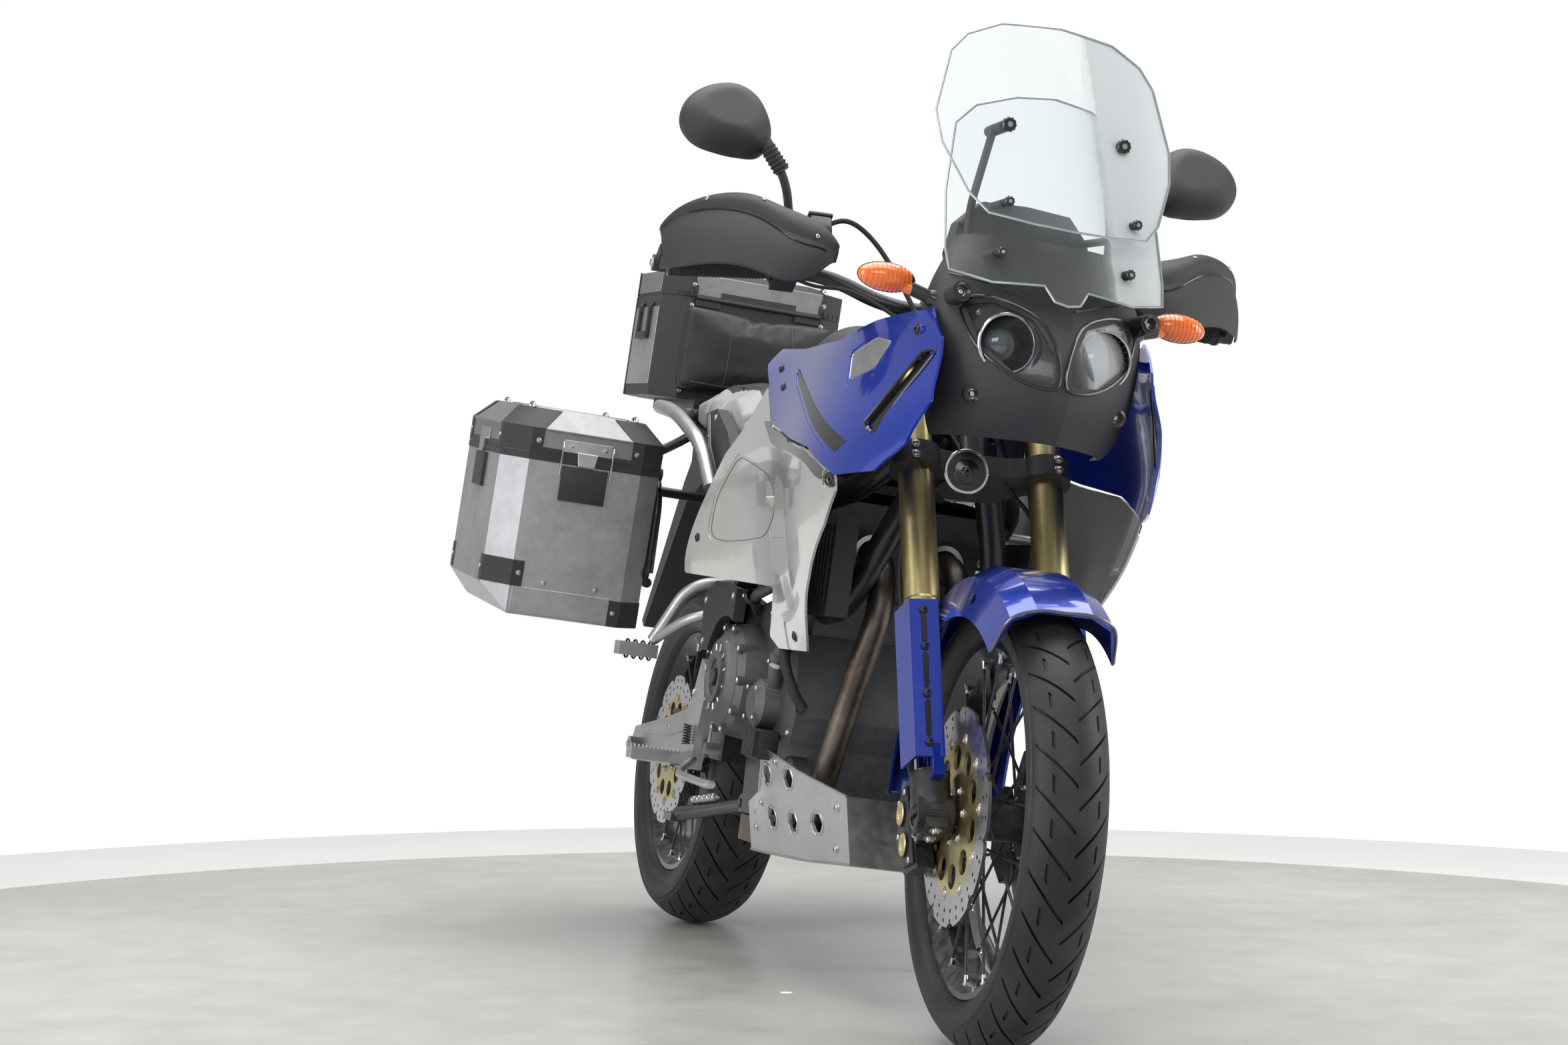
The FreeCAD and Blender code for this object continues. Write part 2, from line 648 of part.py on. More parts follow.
guard_end = [rod((bar_half + 2.9, 62, bar_z + 82), (bar_half + 24, 62, bar_z + 82), 13),
             box(bar_half + 8, bar_half + 20, 24, 62, bar_z + 72, bar_z + 92)]
guard = joined([handguard()] + guard_end)
feature("handguards", compound(both(guard)), "fork")


# Mirror outline in the fork frame, and its shells: y and how much of the outline each keeps
MIRROR = [(465, 1159), (453, 1190), (413, 1218), (370, 1222), (341, 1203), (325, 1172), (320, 1136), (336, 1105),
          (371, 1100), (403, 1103), (437, 1112), (457, 1130)]
MIRROR_SHELLS = [(-36, 0.97), (-44, 1.0), (-66, 0.97), (-84, 0.8), (-92, 0.5)]


def mirror():
    """A domed shell behind a flat glass, on a stem from the switch box."""
    mid_x = sum(x for x, z in MIRROR) / len(MIRROR)
    mid_z = sum(z for x, z in MIRROR) / len(MIRROR)
    wires = []
    for y, keep_part in MIRROR_SHELLS:
        wires.append(smooth_ring([(mid_x + (x - mid_x) * keep_part, y, mid_z + (z - mid_z) * keep_part)
                                  for x, z in MIRROR]))
    return Part.makeLoft(wires, True, False)


mirror_stem = tube([(270, 28, bar_z + 98.3), (268, 28, 1010), (292, -40, 1070), (334, -62, 1124)], 7)
mirror_boot = rod((299, -45, 1081), (332, -61, 1121), 12)
mirror_foot = rod((270, 28, bar_z + 98.3), (268.6, 28, 1002), 12)
feature("mirrors", compound(both(joined([mirror(), mirror_stem, mirror_boot, mirror_foot]))), "fork")


def fender():
    """A guard that wraps the tyre's top, with a flat to each fork leg."""
    gap = 14.0
    inner_r = FRONT_R + gap
    wall = size("panel_wall")
    profile = [
        (-86, inner_r - 62), (-86 - wall, inner_r - 62), (-74, inner_r - 8 + wall), (-40, inner_r + 10 + wall),
        (40, inner_r + 10 + wall), (74, inner_r - 8 + wall), (86 + wall, inner_r - 62), (86, inner_r - 62),
        (70, inner_r - 8), (38, inner_r + 10), (-38, inner_r + 10), (-70, inner_r - 8),
    ]
    face = Part.Face(closed([(x, LEG_Y, r) for x, r in profile]))
    face.rotate(vec(0, LEG_Y, 0), vec(1, 0, 0), 62)
    arch = face.revolve(vec(0, LEG_Y, 0), vec(1, 0, 0), -122)
    return arch


fender_shape = fender()
leg_room = joined([rod((FX, LEG_Y, -100), (FX, LEG_Y, 64), FI + 7 + CLEAR),
                   rod((FX, LEG_Y, 60), (FX, LEG_Y, fork_low), FI + 7 + CLEAR),
                   rod((FX, LEG_Y, fork_low - 1), (FX, LEG_Y, 700), FO + 4 + CLEAR)])
legs_room = compound(both(leg_room))
guard_sheet = []
for side in (-1, 1):
    shield = top_prism([(side * (FX - 10), LEG_Y - 46), (side * (FX + 32), LEG_Y - 40),
                        (side * (FX + 40), LEG_Y + 8), (side * (FX + 36), LEG_Y + 8),
                        (side * (FX + 28), LEG_Y - 36), (side * (FX - 10), LEG_Y - 42)], 70, 320)
    guard_sheet.append(shield)
    guard_sheet.append(box(side * FX - 8, side * FX + 8, LEG_Y - 45, LEG_Y - 20, 42, 90))
feature("front_fender", joined([fender_shape] + guard_sheet).cut(legs_room), "fork")

# Body envelope: half width of the bodywork at stations along the bike
ENVELOPE = [
    # y, then (half width, z) from the lower edge to the top
    (-10, [(120, 790), (150, 830), (158, 900), (150, 980), (128, 1040), (90, 1060)]),
    (100, [(120, 560), (196, 780), (214, 860), (182, 980), (166, 1045), (110, 1068)]),
    (220, [(130, 510), (246, 770), (250, 840), (212, 980), (188, 1056), (110, 1085)]),
    (460, [(160, 510), (240, 700), (250, 850), (222, 980), (196, 1050), (110, 1085)]),
    (740, [(185, 520), (228, 700), (234, 850), (216, 960), (190, 1026), (110, 1062)]),
    (1040, [(185, 540), (216, 660), (220, 760), (190, 880), (150, 940), (80, 960)]),
]


def envelope(inset):
    """The bodywork's outer form, or that form moved inwards by the panel's thickness."""
    wires = [bowed_ring([(-(w - inset), y, z) for w, z in half]) for y, half in ENVELOPE]
    return Part.makeLoft(wires, True, False)


PANEL = size("panel_wall")
skin = envelope(0).cut(envelope(PANEL))


def panel(outline, radius):
    """The right side's body panel: the skin inside a rounded outline of (y, z) points."""
    return skin.common(soft_prism(outline, -290, -60, radius))


def recess(outline, radius, depth):
    """What a shallow recess takes from the right side's skin."""
    return envelope(-1).cut(envelope(depth)).common(soft_prism(outline, -290, -60, radius))


cowl_outline = [(30, 905), (60, 1000), (108, 1046), (250, 1032), (377, 1008), (600, 1012), (700, 1020), (775, 1026),
                (800, 1000), (735, 960), (640, 888), (470, 856), (330, 836), (215, 792), (130, 800), (70, 840)]
slot_cut = soft_prism([(58, 985), (98, 975), (160, 868), (128, 855)], -290, -60, 12)
badge_room = recess([(300, 985), (262, 928), (190, 948), (170, 1000), (230, 1012)], 6, 1.2)
band_room = recess([(600, 985), (560, 950), (215, 815), (180, 842)], 6, 1.2)
cowl = panel(cowl_outline, 7).cut([slot_cut, badge_room, band_room])
side_outline = [(640, 884), (736, 956), (790, 890), (850, 845), (890, 755), (925, 665), (930, 640),
                (600, 628), (640, 550), (600, 532), (470, 532), (330, 640), (250, 720), (215, 770), (215, 790),
                (330, 832), (470, 852)]
belly = recess([(790, 846), (620, 812), (540, 772), (548, 736), (640, 700), (800, 690), (850, 700), (846, 780)], 24, 1.8)
bolt_room = recess([(206, 800), (206, 772), (250, 772), (250, 800)], 11, 2.5)
foot_room = recess([(470, 532), (560, 532), (560, 575), (470, 575)], 9, 2.0)
side_panel = panel(side_outline, 6).cut([belly, bolt_room, foot_room])

# Fuel tank between the cowls
tank_sections = [
    (504, 110, 826, 1010), (560, 166, 820, 1040), (630, 178, 820, 1066), (720, 172, 820, 1062),
    (820, 150, 822, 1020), (880, 110, 835, 950),
]
tank_wires = []
for y, w, low, high in tank_sections:
    tank_wires.append(bowed_ring([(-w, y, low), (-w * 1.02, y, (low + high) / 2 + 24), (-w * 0.8, y, high - 18),
                                  (-w * 0.36, y, high)]))
tank_cap = [rod((0, 640, 1050), (0, 652, 1078), 34), rod((0, 652, 1078), (0, 654, 1084), 24)]
fuel_tank = joined([Part.makeLoft(tank_wires, True, False)] + tank_cap)

# Nose, lamps and screens
NOSE = [
    # z, then (half width, y) from the front middle to the rear edge
    (868, [(14, 22), (80, 60), (128, 128), (128, 165)]),
    (930, [(14, -8), (96, 30), (150, 100), (146, 166)]),
    (1000, [(16, 0), (110, 42), (160, 104), (150, 188)]),
    (1062, [(16, 30), (112, 66), (158, 112), (152, 190)]),
    (1120, [(16, 62), (100, 88), (138, 122), (136, 190)]),
    (1165, [(14, 92), (84, 104), (118, 132), (118, 200)]),
]


def nose(inset):
    """The nose's outer form, or that form moved inwards and run out through its open rear."""
    wires = []
    for z, half in NOSE:
        w_rear, y_rear = half[-1]
        right = [(-max(w - inset, 4), y + inset, z) for w, y in half[:-1]]
        right.append((-w_rear + inset, y_rear + 3 * inset, z))
        wires.append(bowed_ring(right))
    return Part.makeLoft(wires, True, False)


nose_shell = nose(0).cut(nose(PANEL))
lamp_outline = [(12, 950), (62, 956), (112, 996), (132, 1054), (96, 1062), (40, 1040), (14, 992)]
lamp_prism = front_prism([(-x, z) for x, z in lamp_outline], -60, 150)
lamp_prism = lamp_prism.makeFillet(9, edges_along(lamp_prism, (0, 1, 0)))
lamp_prisms = both(lamp_prism)
nose_cowl = nose_shell.cut(compound(lamp_prisms))
lamp_bosses = [rod((147, 50, 1069), (143, 96, 1066), 15), rod((112, 44, 925), (110, 80, 926), 14)]
boss_bores = [rod((147.2, 46, 1069.2), (146, 62, 1068), 8), rod((112.2, 40, 925), (111.4, 54, 925.5), 8)]
nose_cowl = joined([nose_cowl] + lamp_bosses + [mirrored(boss) for boss in lamp_bosses])
nose_cowl = nose_cowl.cut([shape for bore in boss_bores for shape in both(bore)])
lamp_lens = [nose(0.0).cut(nose(3.0)).common(prism) for prism in lamp_prisms]
feature("nose_cowl", nose_cowl)
feature("headlamp_lenses", compound(lamp_lens))
lamp_body = []
for prism in lamp_prisms:
    lamp_body.append(nose(3.3).common(prism).cut(box(-200, 200, 110, 400, 800, 1300)))
lamp_units = []
for body, side in zip(lamp_body, (-1, 1)):
    bowl = revolved([(side * 75, 36, 1003), (side * 75 + 44, 36, 1003), (side * 75 + 40, 62, 1003),
                     (side * 75 + 30, 84, 1003), (side * 75, 84, 1003)], (side * 75, 0, 1003), (0, 1, 0))
    lens = revolved([(side * 75, 56, 1003), (side * 75 + 14, 59, 1003), (side * 75 + 24, 68, 1003),
                     (side * 75 + 27, 78, 1003), (side * 75 + 27, 92, 1003), (side * 75, 92, 1003)],
                    (side * 75, 0, 1003), (0, 1, 0))
    opening = rod((side * 75, -60, 1003), (side * 75, 37, 1003), 44)
    lamp_units.append(joined([body.cut(joined([opening, bowl])), lens]))
feature("headlamp_bodies", compound(lamp_units))


def sheet_screen(profile, tilt_low, tilt_high, bow, thick):
    """A screen bowed about an upright line, cut to an outline seen from the front."""
    y_low, z_low = tilt_low
    y_high, z_high = tilt_high
    half = 210
    wires = []
    for y, z in (tilt_low, tilt_high):
        front = Part.Arc(vec(-half, y + bow, z), vec(0, y, z), vec(half, y + bow, z)).toShape()
        back = Part.Arc(vec(half, y + bow + thick, z), vec(0, y + thick, z), vec(-half, y + bow + thick, z)).toShape()
        ends = [Part.LineSegment(vec(half, y + bow, z), vec(half, y + bow + thick, z)).toShape(),
                Part.LineSegment(vec(-half, y + bow + thick, z), vec(-half, y + bow, z)).toShape()]
        wires.append(Part.Wire([front, ends[0], back, ends[1]]))
    slab = Part.makeLoft(wires, True, True)
    return slab.common(front_prism(profile, -300, 700))


def symmetric(half_outline):
    """A closed (x, z) outline from its left half, top to bottom."""
    return [(x, z) for x, z in half_outline] + [(-x, z) for x, z in reversed(half_outline) if x > 0]


SCREEN = size("screen_wall")
low_screen = sheet_screen(symmetric([(0, 1392), (60, 1384), (120, 1362), (150, 1330), (168, 1220), (172, 1130),
                                     (168, 1098), (110, 1086), (34, 1092), (20, 1070), (0, 1066)]),
                          (4, 1060), (172, 1400), 60, SCREEN)
high_screen = sheet_screen(symmetric([(0, 1502), (90, 1494), (140, 1470), (164, 1440), (188, 1341), (182, 1290),
                                      (150, 1215), (124, 1186), (60, 1178), (0, 1176)]),
                           (18, 1170), (190, 1510), 62, SCREEN)
high_screen = high_screen.cut(low_screen)
feature("windscreens", compound([low_screen, high_screen]))
KNOB_X = 91.0
mounts = [rod((KNOB_X, 104, 1328), (KNOB_X, 182, 1328), 9), rod((100, 36, 1205), (100, 104, 1205), 6),
          rod((100, 38, 1132), (100, 116, 1132), 7),
          tube([(112, 160, 1165), (112, 164, 1210), (KNOB_X, 168, 1328)], 6),
          rod((108, 164, 1196), (96, 230, 1196), 6)]
dash = front_prism(symmetric([(0, 1236), (70, 1232), (104, 1196), (112, 1150), (100, 1110), (0, 1104)]), 226, 262)
carriers = joined([dash] + mounts + [mirrored(mount) for mount in mounts])
feature("dashboard", carriers.cut([low_screen, high_screen, nose_shell]))


def signal(x_root, y_root, z_root, x_tip, y_tip, z_tip):
    """A stalk and a leaf-shaped lens."""
    root = vec(x_root, y_root, z_root)
    reach = vec(x_tip, y_tip, z_tip).sub(root) * 0.8
    stalk = rod(tuple(root), tuple(root.add(reach)), 10)
    lens = Part.makeSphere(1.0)
    matrix = FreeCAD.Matrix()
    matrix.scale(44, 24, 21)
    lens = lens.transformGeometry(matrix)
    lens.translate(vec(x_tip, y_tip, z_tip))
    return joined([stalk, lens])


front_signals = both(signal(140, 128, 1055, 232, 146, 1083).cut(nose(0)))
feature("front_signals", compound(front_signals))

# Steel frame and subframe
FT = size("frame_tube")
head_low = lower_clamp + clamp_thick + 2
head_high = upper_clamp - 2
head = rod((0, 0, head_low), (0, 0, head_high), size("head_tube"))
head = head.cut(rod((0, 0, head_low - 1), (0, 0, head_high + 1), 15 + CLEAR))
head.Placement = FORK_TILT


def on_axis(along):
    """A bike-frame point on the steering axis."""
    p = FORK_TILT.multVec(vec(0, 0, along))
    return p


PIVOT_Y = size("pivot_y")
PIVOT_Z = size("pivot_z")
top_node = on_axis(head_high - 40)
low_node = on_axis(head_low + 58)
frame_tubes = []
main = [(40, top_node.y + 20, top_node.z - 10), (120, 450, 800), (162, 580, 770), (162, 900, 660),
        (132, PIVOT_Y + 8, PIVOT_Z + 70)]
down = [(30, low_node.y + 20, low_node.z), (100, 420, 690), (112, 500, 610), (112, 590, 600)]
for path in (main, down):
    frame_tubes += both(tube(path, FT))
plate = side_prism([(PIVOT_Y - 40, 330), (PIVOT_Y + 40, 330), (PIVOT_Y + 44, 480), (PIVOT_Y - 10, 520),
                    (PIVOT_Y - 48, 480)], 112, 146)
frame_tubes += both(plate)
gusset = box(-45, 45, top_node.y + 12, top_node.y + 30, low_node.z - 20, top_node.z + 10)
frame_tubes.append(gusset)
frame_tubes.append(rod((-150, 905, 655), (150, 905, 655), FT))
frame_tubes.append(rod((-40, top_node.y + 20, top_node.z - 10), (40, top_node.y + 20, top_node.z - 10), FT))
frame_tubes.append(rod((-30, low_node.y + 20, low_node.z), (30, low_node.y + 20, low_node.z), FT))
head_room = rod((0, 0, head_low - 60), (0, 0, head_high + 60), 15 + CLEAR)
head_room.Placement = FORK_TILT

ST = size("subframe_tube")
rails = []
for path in ([(118, 905, 664), (118, 1020, 800), (120, 1200, 850), (110, 1590, 937)],
             [(126, 1000, 490), (118, 1120, 640), (116, 1420, 890)]):
    rails += both(tube(path, ST))
rails.append(rod((-120, 1200, 850), (120, 1200, 850), ST))
rails.append(rod((-112, 1500, 917), (112, 1500, 917), ST))
rails.append(rod((-118, 985, 757), (118, 985, 757), ST))

# Engine: crankcase, cylinders, covers
upper_case = side_prism([(560, 430), (572, 385), (948, 385), (946, 480), (900, 590), (770, 610), (600, 560)],
                        -150, 150)
sump = side_prism([(574, 390), (585, 300), (640, 250), (940, 250), (950, 330), (948, 390)], -105, 105)
cylinders = side_prism([(604, 545), (578, 740), (740, 770), (764, 590)], -128, 128)
head_block = side_prism([(566, 738), (558, 780), (600, 800), (700, 812), (740, 800), (748, 762)], -134, 134)
CLUTCH_Y = 841.0
CLUTCH_Z = 472.0
clutch = turned_x([(-149, 0), (-149, 98), (-186, 92), (-204, 70), (-210, 64), (-210, 0)], CLUTCH_Y, CLUTCH_Z)
generator = turned_x([(149, 0), (149, 76), (182, 70), (196, 54), (196, 0)], 720, 452)


def tyre_low(radius, half, placement):
    """The height of a leaning tyre's lowest point, under its round crown."""
    sag = 0.085 * radius + 3.5
    crown = ((half - 5.0) ** 2 + sag * sag) / (2 * sag)
    axis = placement.Rotation.multVec(vec(1, 0, 0))
    return placement.Base.z - (radius - crown) * math.sqrt(1 - axis.z ** 2) - crown


def from_world(x, y, z):
    """A point of the leaning frame, in the upright bike's frame."""
    return LEAN.inverse().multVec(vec(x, y, z))


AXLE_FRONT = FORK.multiply(FreeCAD.Placement(vec(0, LEG_Y, 0), FreeCAD.Rotation()))
AXLE_REAR = FreeCAD.Placement(vec(0, WHEELBASE, REAR_R), FreeCAD.Rotation())
front_low = tyre_low(FRONT_R, size("front_half_width"), LEAN.multiply(AXLE_FRONT))
rear_low = tyre_low(REAR_R, size("rear_half_width"), LEAN.multiply(AXLE_REAR))
FOOT_X = 318.0
FOOT_Y = 745.0
PAD_THICK = 12.0
ground = front_low + (rear_low - front_low) * FOOT_Y / WHEELBASE

# The side stand turns about a slanted pin, square to the leg both down and folded back
stand_pivot = vec(168, size("stand_pivot_y"), size("stand_pivot_z"))
stand_foot = from_world(FOOT_X, FOOT_Y, ground + PAD_THICK)
leg_down = stand_foot.sub(stand_pivot)
leg_folded = vec(62, 283, -35)
stand_axis = leg_down.cross(leg_folded)
stand_axis.normalize()
stand_swing = math.degrees(leg_down.getAngle(leg_folded))
EYE_HALF = 15.5


def along_pin(distance):
    return tuple(stand_pivot.add(stand_axis * distance))


stand_pin = rod(along_pin(-70), along_pin(EYE_HALF + 7), 8)
stand_cap = rod(along_pin(EYE_HALF + CLEAR), along_pin(EYE_HALF + 7), 12)
stand_block = rod(along_pin(-74), along_pin(-EYE_HALF - CLEAR), 18)
CENTRE_Y = 985.0
CENTRE_Z = 262.0
centre_pin = rod((-98, CENTRE_Y, CENTRE_Z), (98, CENTRE_Y, CENTRE_Z), 8)
centre_lugs = both(box(48, 64, 930, CENTRE_Y + 14, CENTRE_Z - 10, CENTRE_Z + 26))
look = []
for index in range(7):
    low = 620 + index * 20
    look.append(side_prism([(590, low), (588, low + 6), (758, low + 20), (760, low + 14)], -136, 136))
for index in range(10):
    angle = 2 * math.pi * index / 10
    y = CLUTCH_Y + 88 * math.cos(angle)
    z = CLUTCH_Z + 88 * math.sin(angle)
    look.append(rod((-149, y, z), (-196, y, z), 8))
look.append(turned_x([(-208, 44), (-216, 44), (-216, 34), (-212, 30), (-208, 30)], CLUTCH_Y, CLUTCH_Z))
for index in range(6):
    angle = math.pi / 6 + 2 * math.pi * index / 6
    y = 720 + 72 * math.cos(angle)
    z = 452 + 72 * math.sin(angle)
    look.append(rod((149, y, z), (186, y, z), 7))
look.append(turned_x([(-149, 0), (-149, 44), (-176, 40), (-188, 26), (-188, 0)], 690, 440))
look.append(rod((-150, 690, 440), (-168, 640, 520), 13))
look.append(tube([(-160, 655, 505), (-164, 620, 560), (-150, 600, 640)], 12))
look.append(turned_x([(-104, 0), (-104, 30), (-132, 30), (-138, 24), (-138, 0)], 620, 334))
look.append(tube([(-150, 840, 590), (-176, 800, 612), (-160, 700, 640), (-120, 690, 640)], 9))
for y in (600, 660, 715):
    look.append(rod((-126, y, 790), (-140, y, 790), 9))
    look.append(rod((126, y, 790), (140, y, 790), 9))
look.append(box(-60, 60, 590, 700, 800, 815))
blocks = [upper_case, sump, cylinders, head_block, clutch, generator]
engine = joined(blocks + look + [stand_block, stand_pin, stand_cap, centre_pin] + centre_lugs)
feature("engine", engine)
frame_all = joined([head] + frame_tubes + rails).cut(head_room)
feature("frame", frame_all.cut(engine))


def studs(ends, radius, seats):
    """Mounting studs from a panel's inside, each cut where it meets its seat."""
    return [rod(start, end, radius).cut(seats) for start, end in ends]


cowl_studs = studs([((-217, 640, 950), (-165, 640, 950)), ((-182, 112, 1012), (-150, 112, 1012))], 8,
                   [fuel_tank, nose_shell])
panel_studs = studs([((-236, 600, 762), (-165, 600, 762))], 8, [frame_all])
feature("side_cowls", compound(both(joined([cowl] + cowl_studs))))
feature("side_panels", compound(both(joined([side_panel] + panel_studs))))
tank_feet = [rod((side * 150, 640, 760), (side * 150, 640, 830), 12) for side in (-1, 1)]
feature("fuel_tank", joined([fuel_tank] + tank_feet).cut(frame_all))

# Exhaust
pipes = []
for side in (-1, 1):
    pipes.append(tube([(side * 62, 566, 700), (side * 62, 500, 690), (side * 66, 455, 620), (side * 84, 500, 470),
                       (side * 96, 560, 300), (side * 80, 640, 232), (side * 60, 800, 226)], 21))
collector = box(-104, 104, 790, 940, 204, 247)
link_pipe = tube([(90, 900, 226), (140, 1000, 222), (176, WHEELBASE - 420, 240), (196, WHEELBASE - 375, 350),
                  (196, WHEELBASE - 325, 440)], 21)
exhaust = joined(pipes + [collector, link_pipe])
feature("exhaust_pipes", exhaust.cut(engine))
CAN_Y = WHEELBASE - 340
CAN_X = 190
CAN_Z = 440
silencer = revolved([(CAN_X, CAN_Y, CAN_Z), (CAN_X, CAN_Y, CAN_Z + 30), (CAN_X, CAN_Y + 25, CAN_Z + 50),
                     (CAN_X, CAN_Y + 60, CAN_Z + 50), (CAN_X, CAN_Y + 64, CAN_Z + 53),
                     (CAN_X, CAN_Y + 320, CAN_Z + 53), (CAN_X, CAN_Y + 324, CAN_Z + 50),
                     (CAN_X, CAN_Y + 360, CAN_Z + 50), (CAN_X, CAN_Y + 390, CAN_Z + 36),
                     (CAN_X, CAN_Y + 390, CAN_Z + 22), (CAN_X, CAN_Y + 350, CAN_Z + 20),
                     (CAN_X, CAN_Y + 350, CAN_Z)], (CAN_X, 0, CAN_Z), (0, 1, 0))
silencer.rotate(vec(CAN_X, CAN_Y, CAN_Z), vec(1, 0, 0), 6)
feature("silencer", silencer.cut(exhaust))

# Skid plate: a pressed tray with pierced walls
PW = size("plate_wall")


def tray(inset):
    wires = []
    for y, half_low, half_high, low, high in ((392, 84, 104, 216, 320), (520, 112, 146, 206, 345),
                                              (640, 124, 172, 202, 372), (700, 128, 150, 200, 300),
                                              (880, 130, 136, 196, 240)):
        hl = half_low - inset
        hh = half_high - inset
        wires.append(closed([(-hh, y + (inset if y == 392 else 0), high + (1 if inset else 0)),
                             (-hl, y + (inset if y == 392 else 0), low + inset),
                             (hl, y + (inset if y == 392 else 0), low + inset),
                             (hh, y + (inset if y == 392 else 0), high + (1 if inset else 0))]))
    return Part.makeLoft(wires, True, True)


tray_shape = tray(0).cut(tray(PW)).cut(box(-300, 300, 770, 1000, 0, 600))
holes = []
for y, z in ((560, 330), (640, 330), (480, 270), (560, 262), (640, 262)):
    holes.append(side_prism([(y - 16, z), (y - 8, z + 14), (y + 8, z + 14), (y + 16, z), (y + 8, z - 14), (y - 8, z - 14)],
                            -250, 250))
posts = [rod((side * 26, 700, 202), (side * 26, 700, 256), 8) for side in (-1, 1)]
posts += [rod((side * 100, 740, 268), (side * 143, 740, 268), 8) for side in (-1, 1)]
skid_plate = joined([tray_shape.cut(holes)] + [post.cut(engine) for post in posts])
feature("skid_plate", skid_plate)

# Radiator on the left side, and the inner cover on the right
stay = [((150, 450, 690), (105, 450, 665))]
feature("radiator", joined([box(142, 190, 390, 545, 640, 744)] + studs(stay, 8, [frame_all])))
stay = [((-150, 450, 690), (-105, 450, 665))]
feature("inner_cover", joined([box(-178, -142, 390, 545, 590, 744)] + studs(stay, 8, [frame_all])))

# Swingarm, final drive and rear suspension
pivot_tube = rod((-112 + CLEAR, PIVOT_Y, PIVOT_Z), (112 - CLEAR, PIVOT_Y, PIVOT_Z), 30)
AXLE_Y = WHEELBASE
right_arm = side_prism([(PIVOT_Y - 30, PIVOT_Z + 30), (PIVOT_Y + 60, PIVOT_Z + 36), (AXLE_Y - 190, 385),
                        (AXLE_Y + 40, REAR_R + 34), (AXLE_Y + 60, REAR_R), (AXLE_Y + 40, REAR_R - 30),
                        (AXLE_Y - 240, 300), (PIVOT_Y, PIVOT_Z - 32)], -146, -108)
right_arm = right_arm.makeFillet(10, edges_along(right_arm, (1, 0, 0)))
left_arm = tube([(126, PIVOT_Y, PIVOT_Z), (126, AXLE_Y - 240, PIVOT_Z - 46), (126, AXLE_Y - 70, REAR_R + 10)], 38)
bridge = box(-112, 100, 1070, 1150, 350, 420)
final_drive = turned_x([(82, 18), (82, 84), (120, 96), (150, 80), (160, 50), (160, 18)], AXLE_Y, REAR_R)
arm = joined([pivot_tube, right_arm, left_arm, bridge])
arm = arm.cut(final_drive)
plates_room = compound(both(side_prism([(900, 200), (PIVOT_Y + 46, 200), (PIVOT_Y + 46, 600), (900, 600)], 112 - CLEAR, 148)))
feature("swingarm", arm.cut(plates_room).cut(rod((-200, AXLE_Y, REAR_R), (200, AXLE_Y, REAR_R), size("rear_axle_radius"))))
rear_axle = rod((-156, AXLE_Y, REAR_R), (168, AXLE_Y, REAR_R), size("rear_axle_radius"))
feature("final_drive", joined([final_drive, rear_axle]))
spring = []
for index in range(8):
    spring += [(index * 30.0 + 20, 30), (index * 30.0 + 26, 40), (index * 30.0 + 36, 40), (index * 30.0 + 42, 30)]
profile = [(0, 0), (0, 22), (16, 22)] + spring + [(270, 24), (358, 24), (358, 0)]
shock = turned_x(profile, 0, 0)
shock_low = vec(0, 1110, 416)
shock_line = vec(0, 985, 757).sub(shock_low)
shock.Placement = FreeCAD.Placement(shock_low, FreeCAD.Rotation(vec(1, 0, 0), shock_line))
feature("rear_shock", shock.cut([frame_all, bridge]))
caliper_block = bound("Box", "caliper_block", {
    "Length": "sizes.caliper_width", "Width": "sizes.caliper_length", "Height": "sizes.caliper_height",
    ".Placement.Base.y": "sizes.caliper_y"}, (-107.7, 0, 330))
caliper_room = bound("Box", "caliper_room", {
    "Length": "sizes.caliper_slot", "Width": "sizes.caliper_length", "Height": "sizes.caliper_height * 2",
    ".Placement.Base.x": "-sizes.rear_disc_x - sizes.caliper_slot / 2",
    ".Placement.Base.y": "sizes.caliper_slot_y"}, (0, 0, 300))
rear_caliper = doc.addObject("Part::Cut", "rear_caliper")
rear_caliper.Base = caliper_block
rear_caliper.Tool = caliper_room
keep("rear_caliper", rear_caliper)

# Side covers, footrests, hangers, pedals
lower_cover = side_prism([(800, 515), (985, 515), (995, 612), (930, 634), (800, 622)], -205, -186)
lower_cover = lower_cover.cut(rod((-300, CLUTCH_Y, CLUTCH_Z), (0, CLUTCH_Y, CLUTCH_Z), 104))
tail_cover = side_prism([(1060, 770), (1210, 860), (1250, 940), (1180, 946), (1090, 900), (1010, 835)], -178, -158)
lower_cover = joined([lower_cover] + studs([((-190, 915, 622), (-148, 915, 626))], 7, [frame_all]))
tail_cover = joined([tail_cover] + studs([((-160, 1130, 838), (-118, 1130, 832))], 7, [frame_all]))
feature("side_covers", compound(both(lower_cover) + both(tail_cover)))
peg_x = size("peg_x")
hanger = side_prism([(950, 480), (1010, 500), (1056, 400), (1058, 312), (1000, 308)], -190, -168)
peg = box(-peg_x - 50, -189, 1020, 1056, 314, 334)
brake_pedal = tube([(-180, 1004, 330), (-222, 960, 300), (-222, 760, 296), (-232, 700, 300)], 7)
shift_pedal = tube([(180, 1004, 330), (222, 960, 322), (224, 900, 330), (236, 850, 330)], 7)
passenger_hanger = joined([
    tube([(-118, 1120, 642), (-195, 1140, 625), (-238, 1180, 520)], 11),
    tube([(-120, 1075, 590), (-195, 1100, 570), (-238, 1180, 520)], 9),
    box(-300, -230, 1165, 1205, 488, 512),
])
hanger = joined([hanger, rod((-175, 985, 472), (-146, 985, 472), 12), rod((-175, 975, 348), (-146, 975, 348), 10)])
right_rests = [joined([hanger, peg, brake_pedal]).cut(frame_all), passenger_hanger.cut(frame_all)]
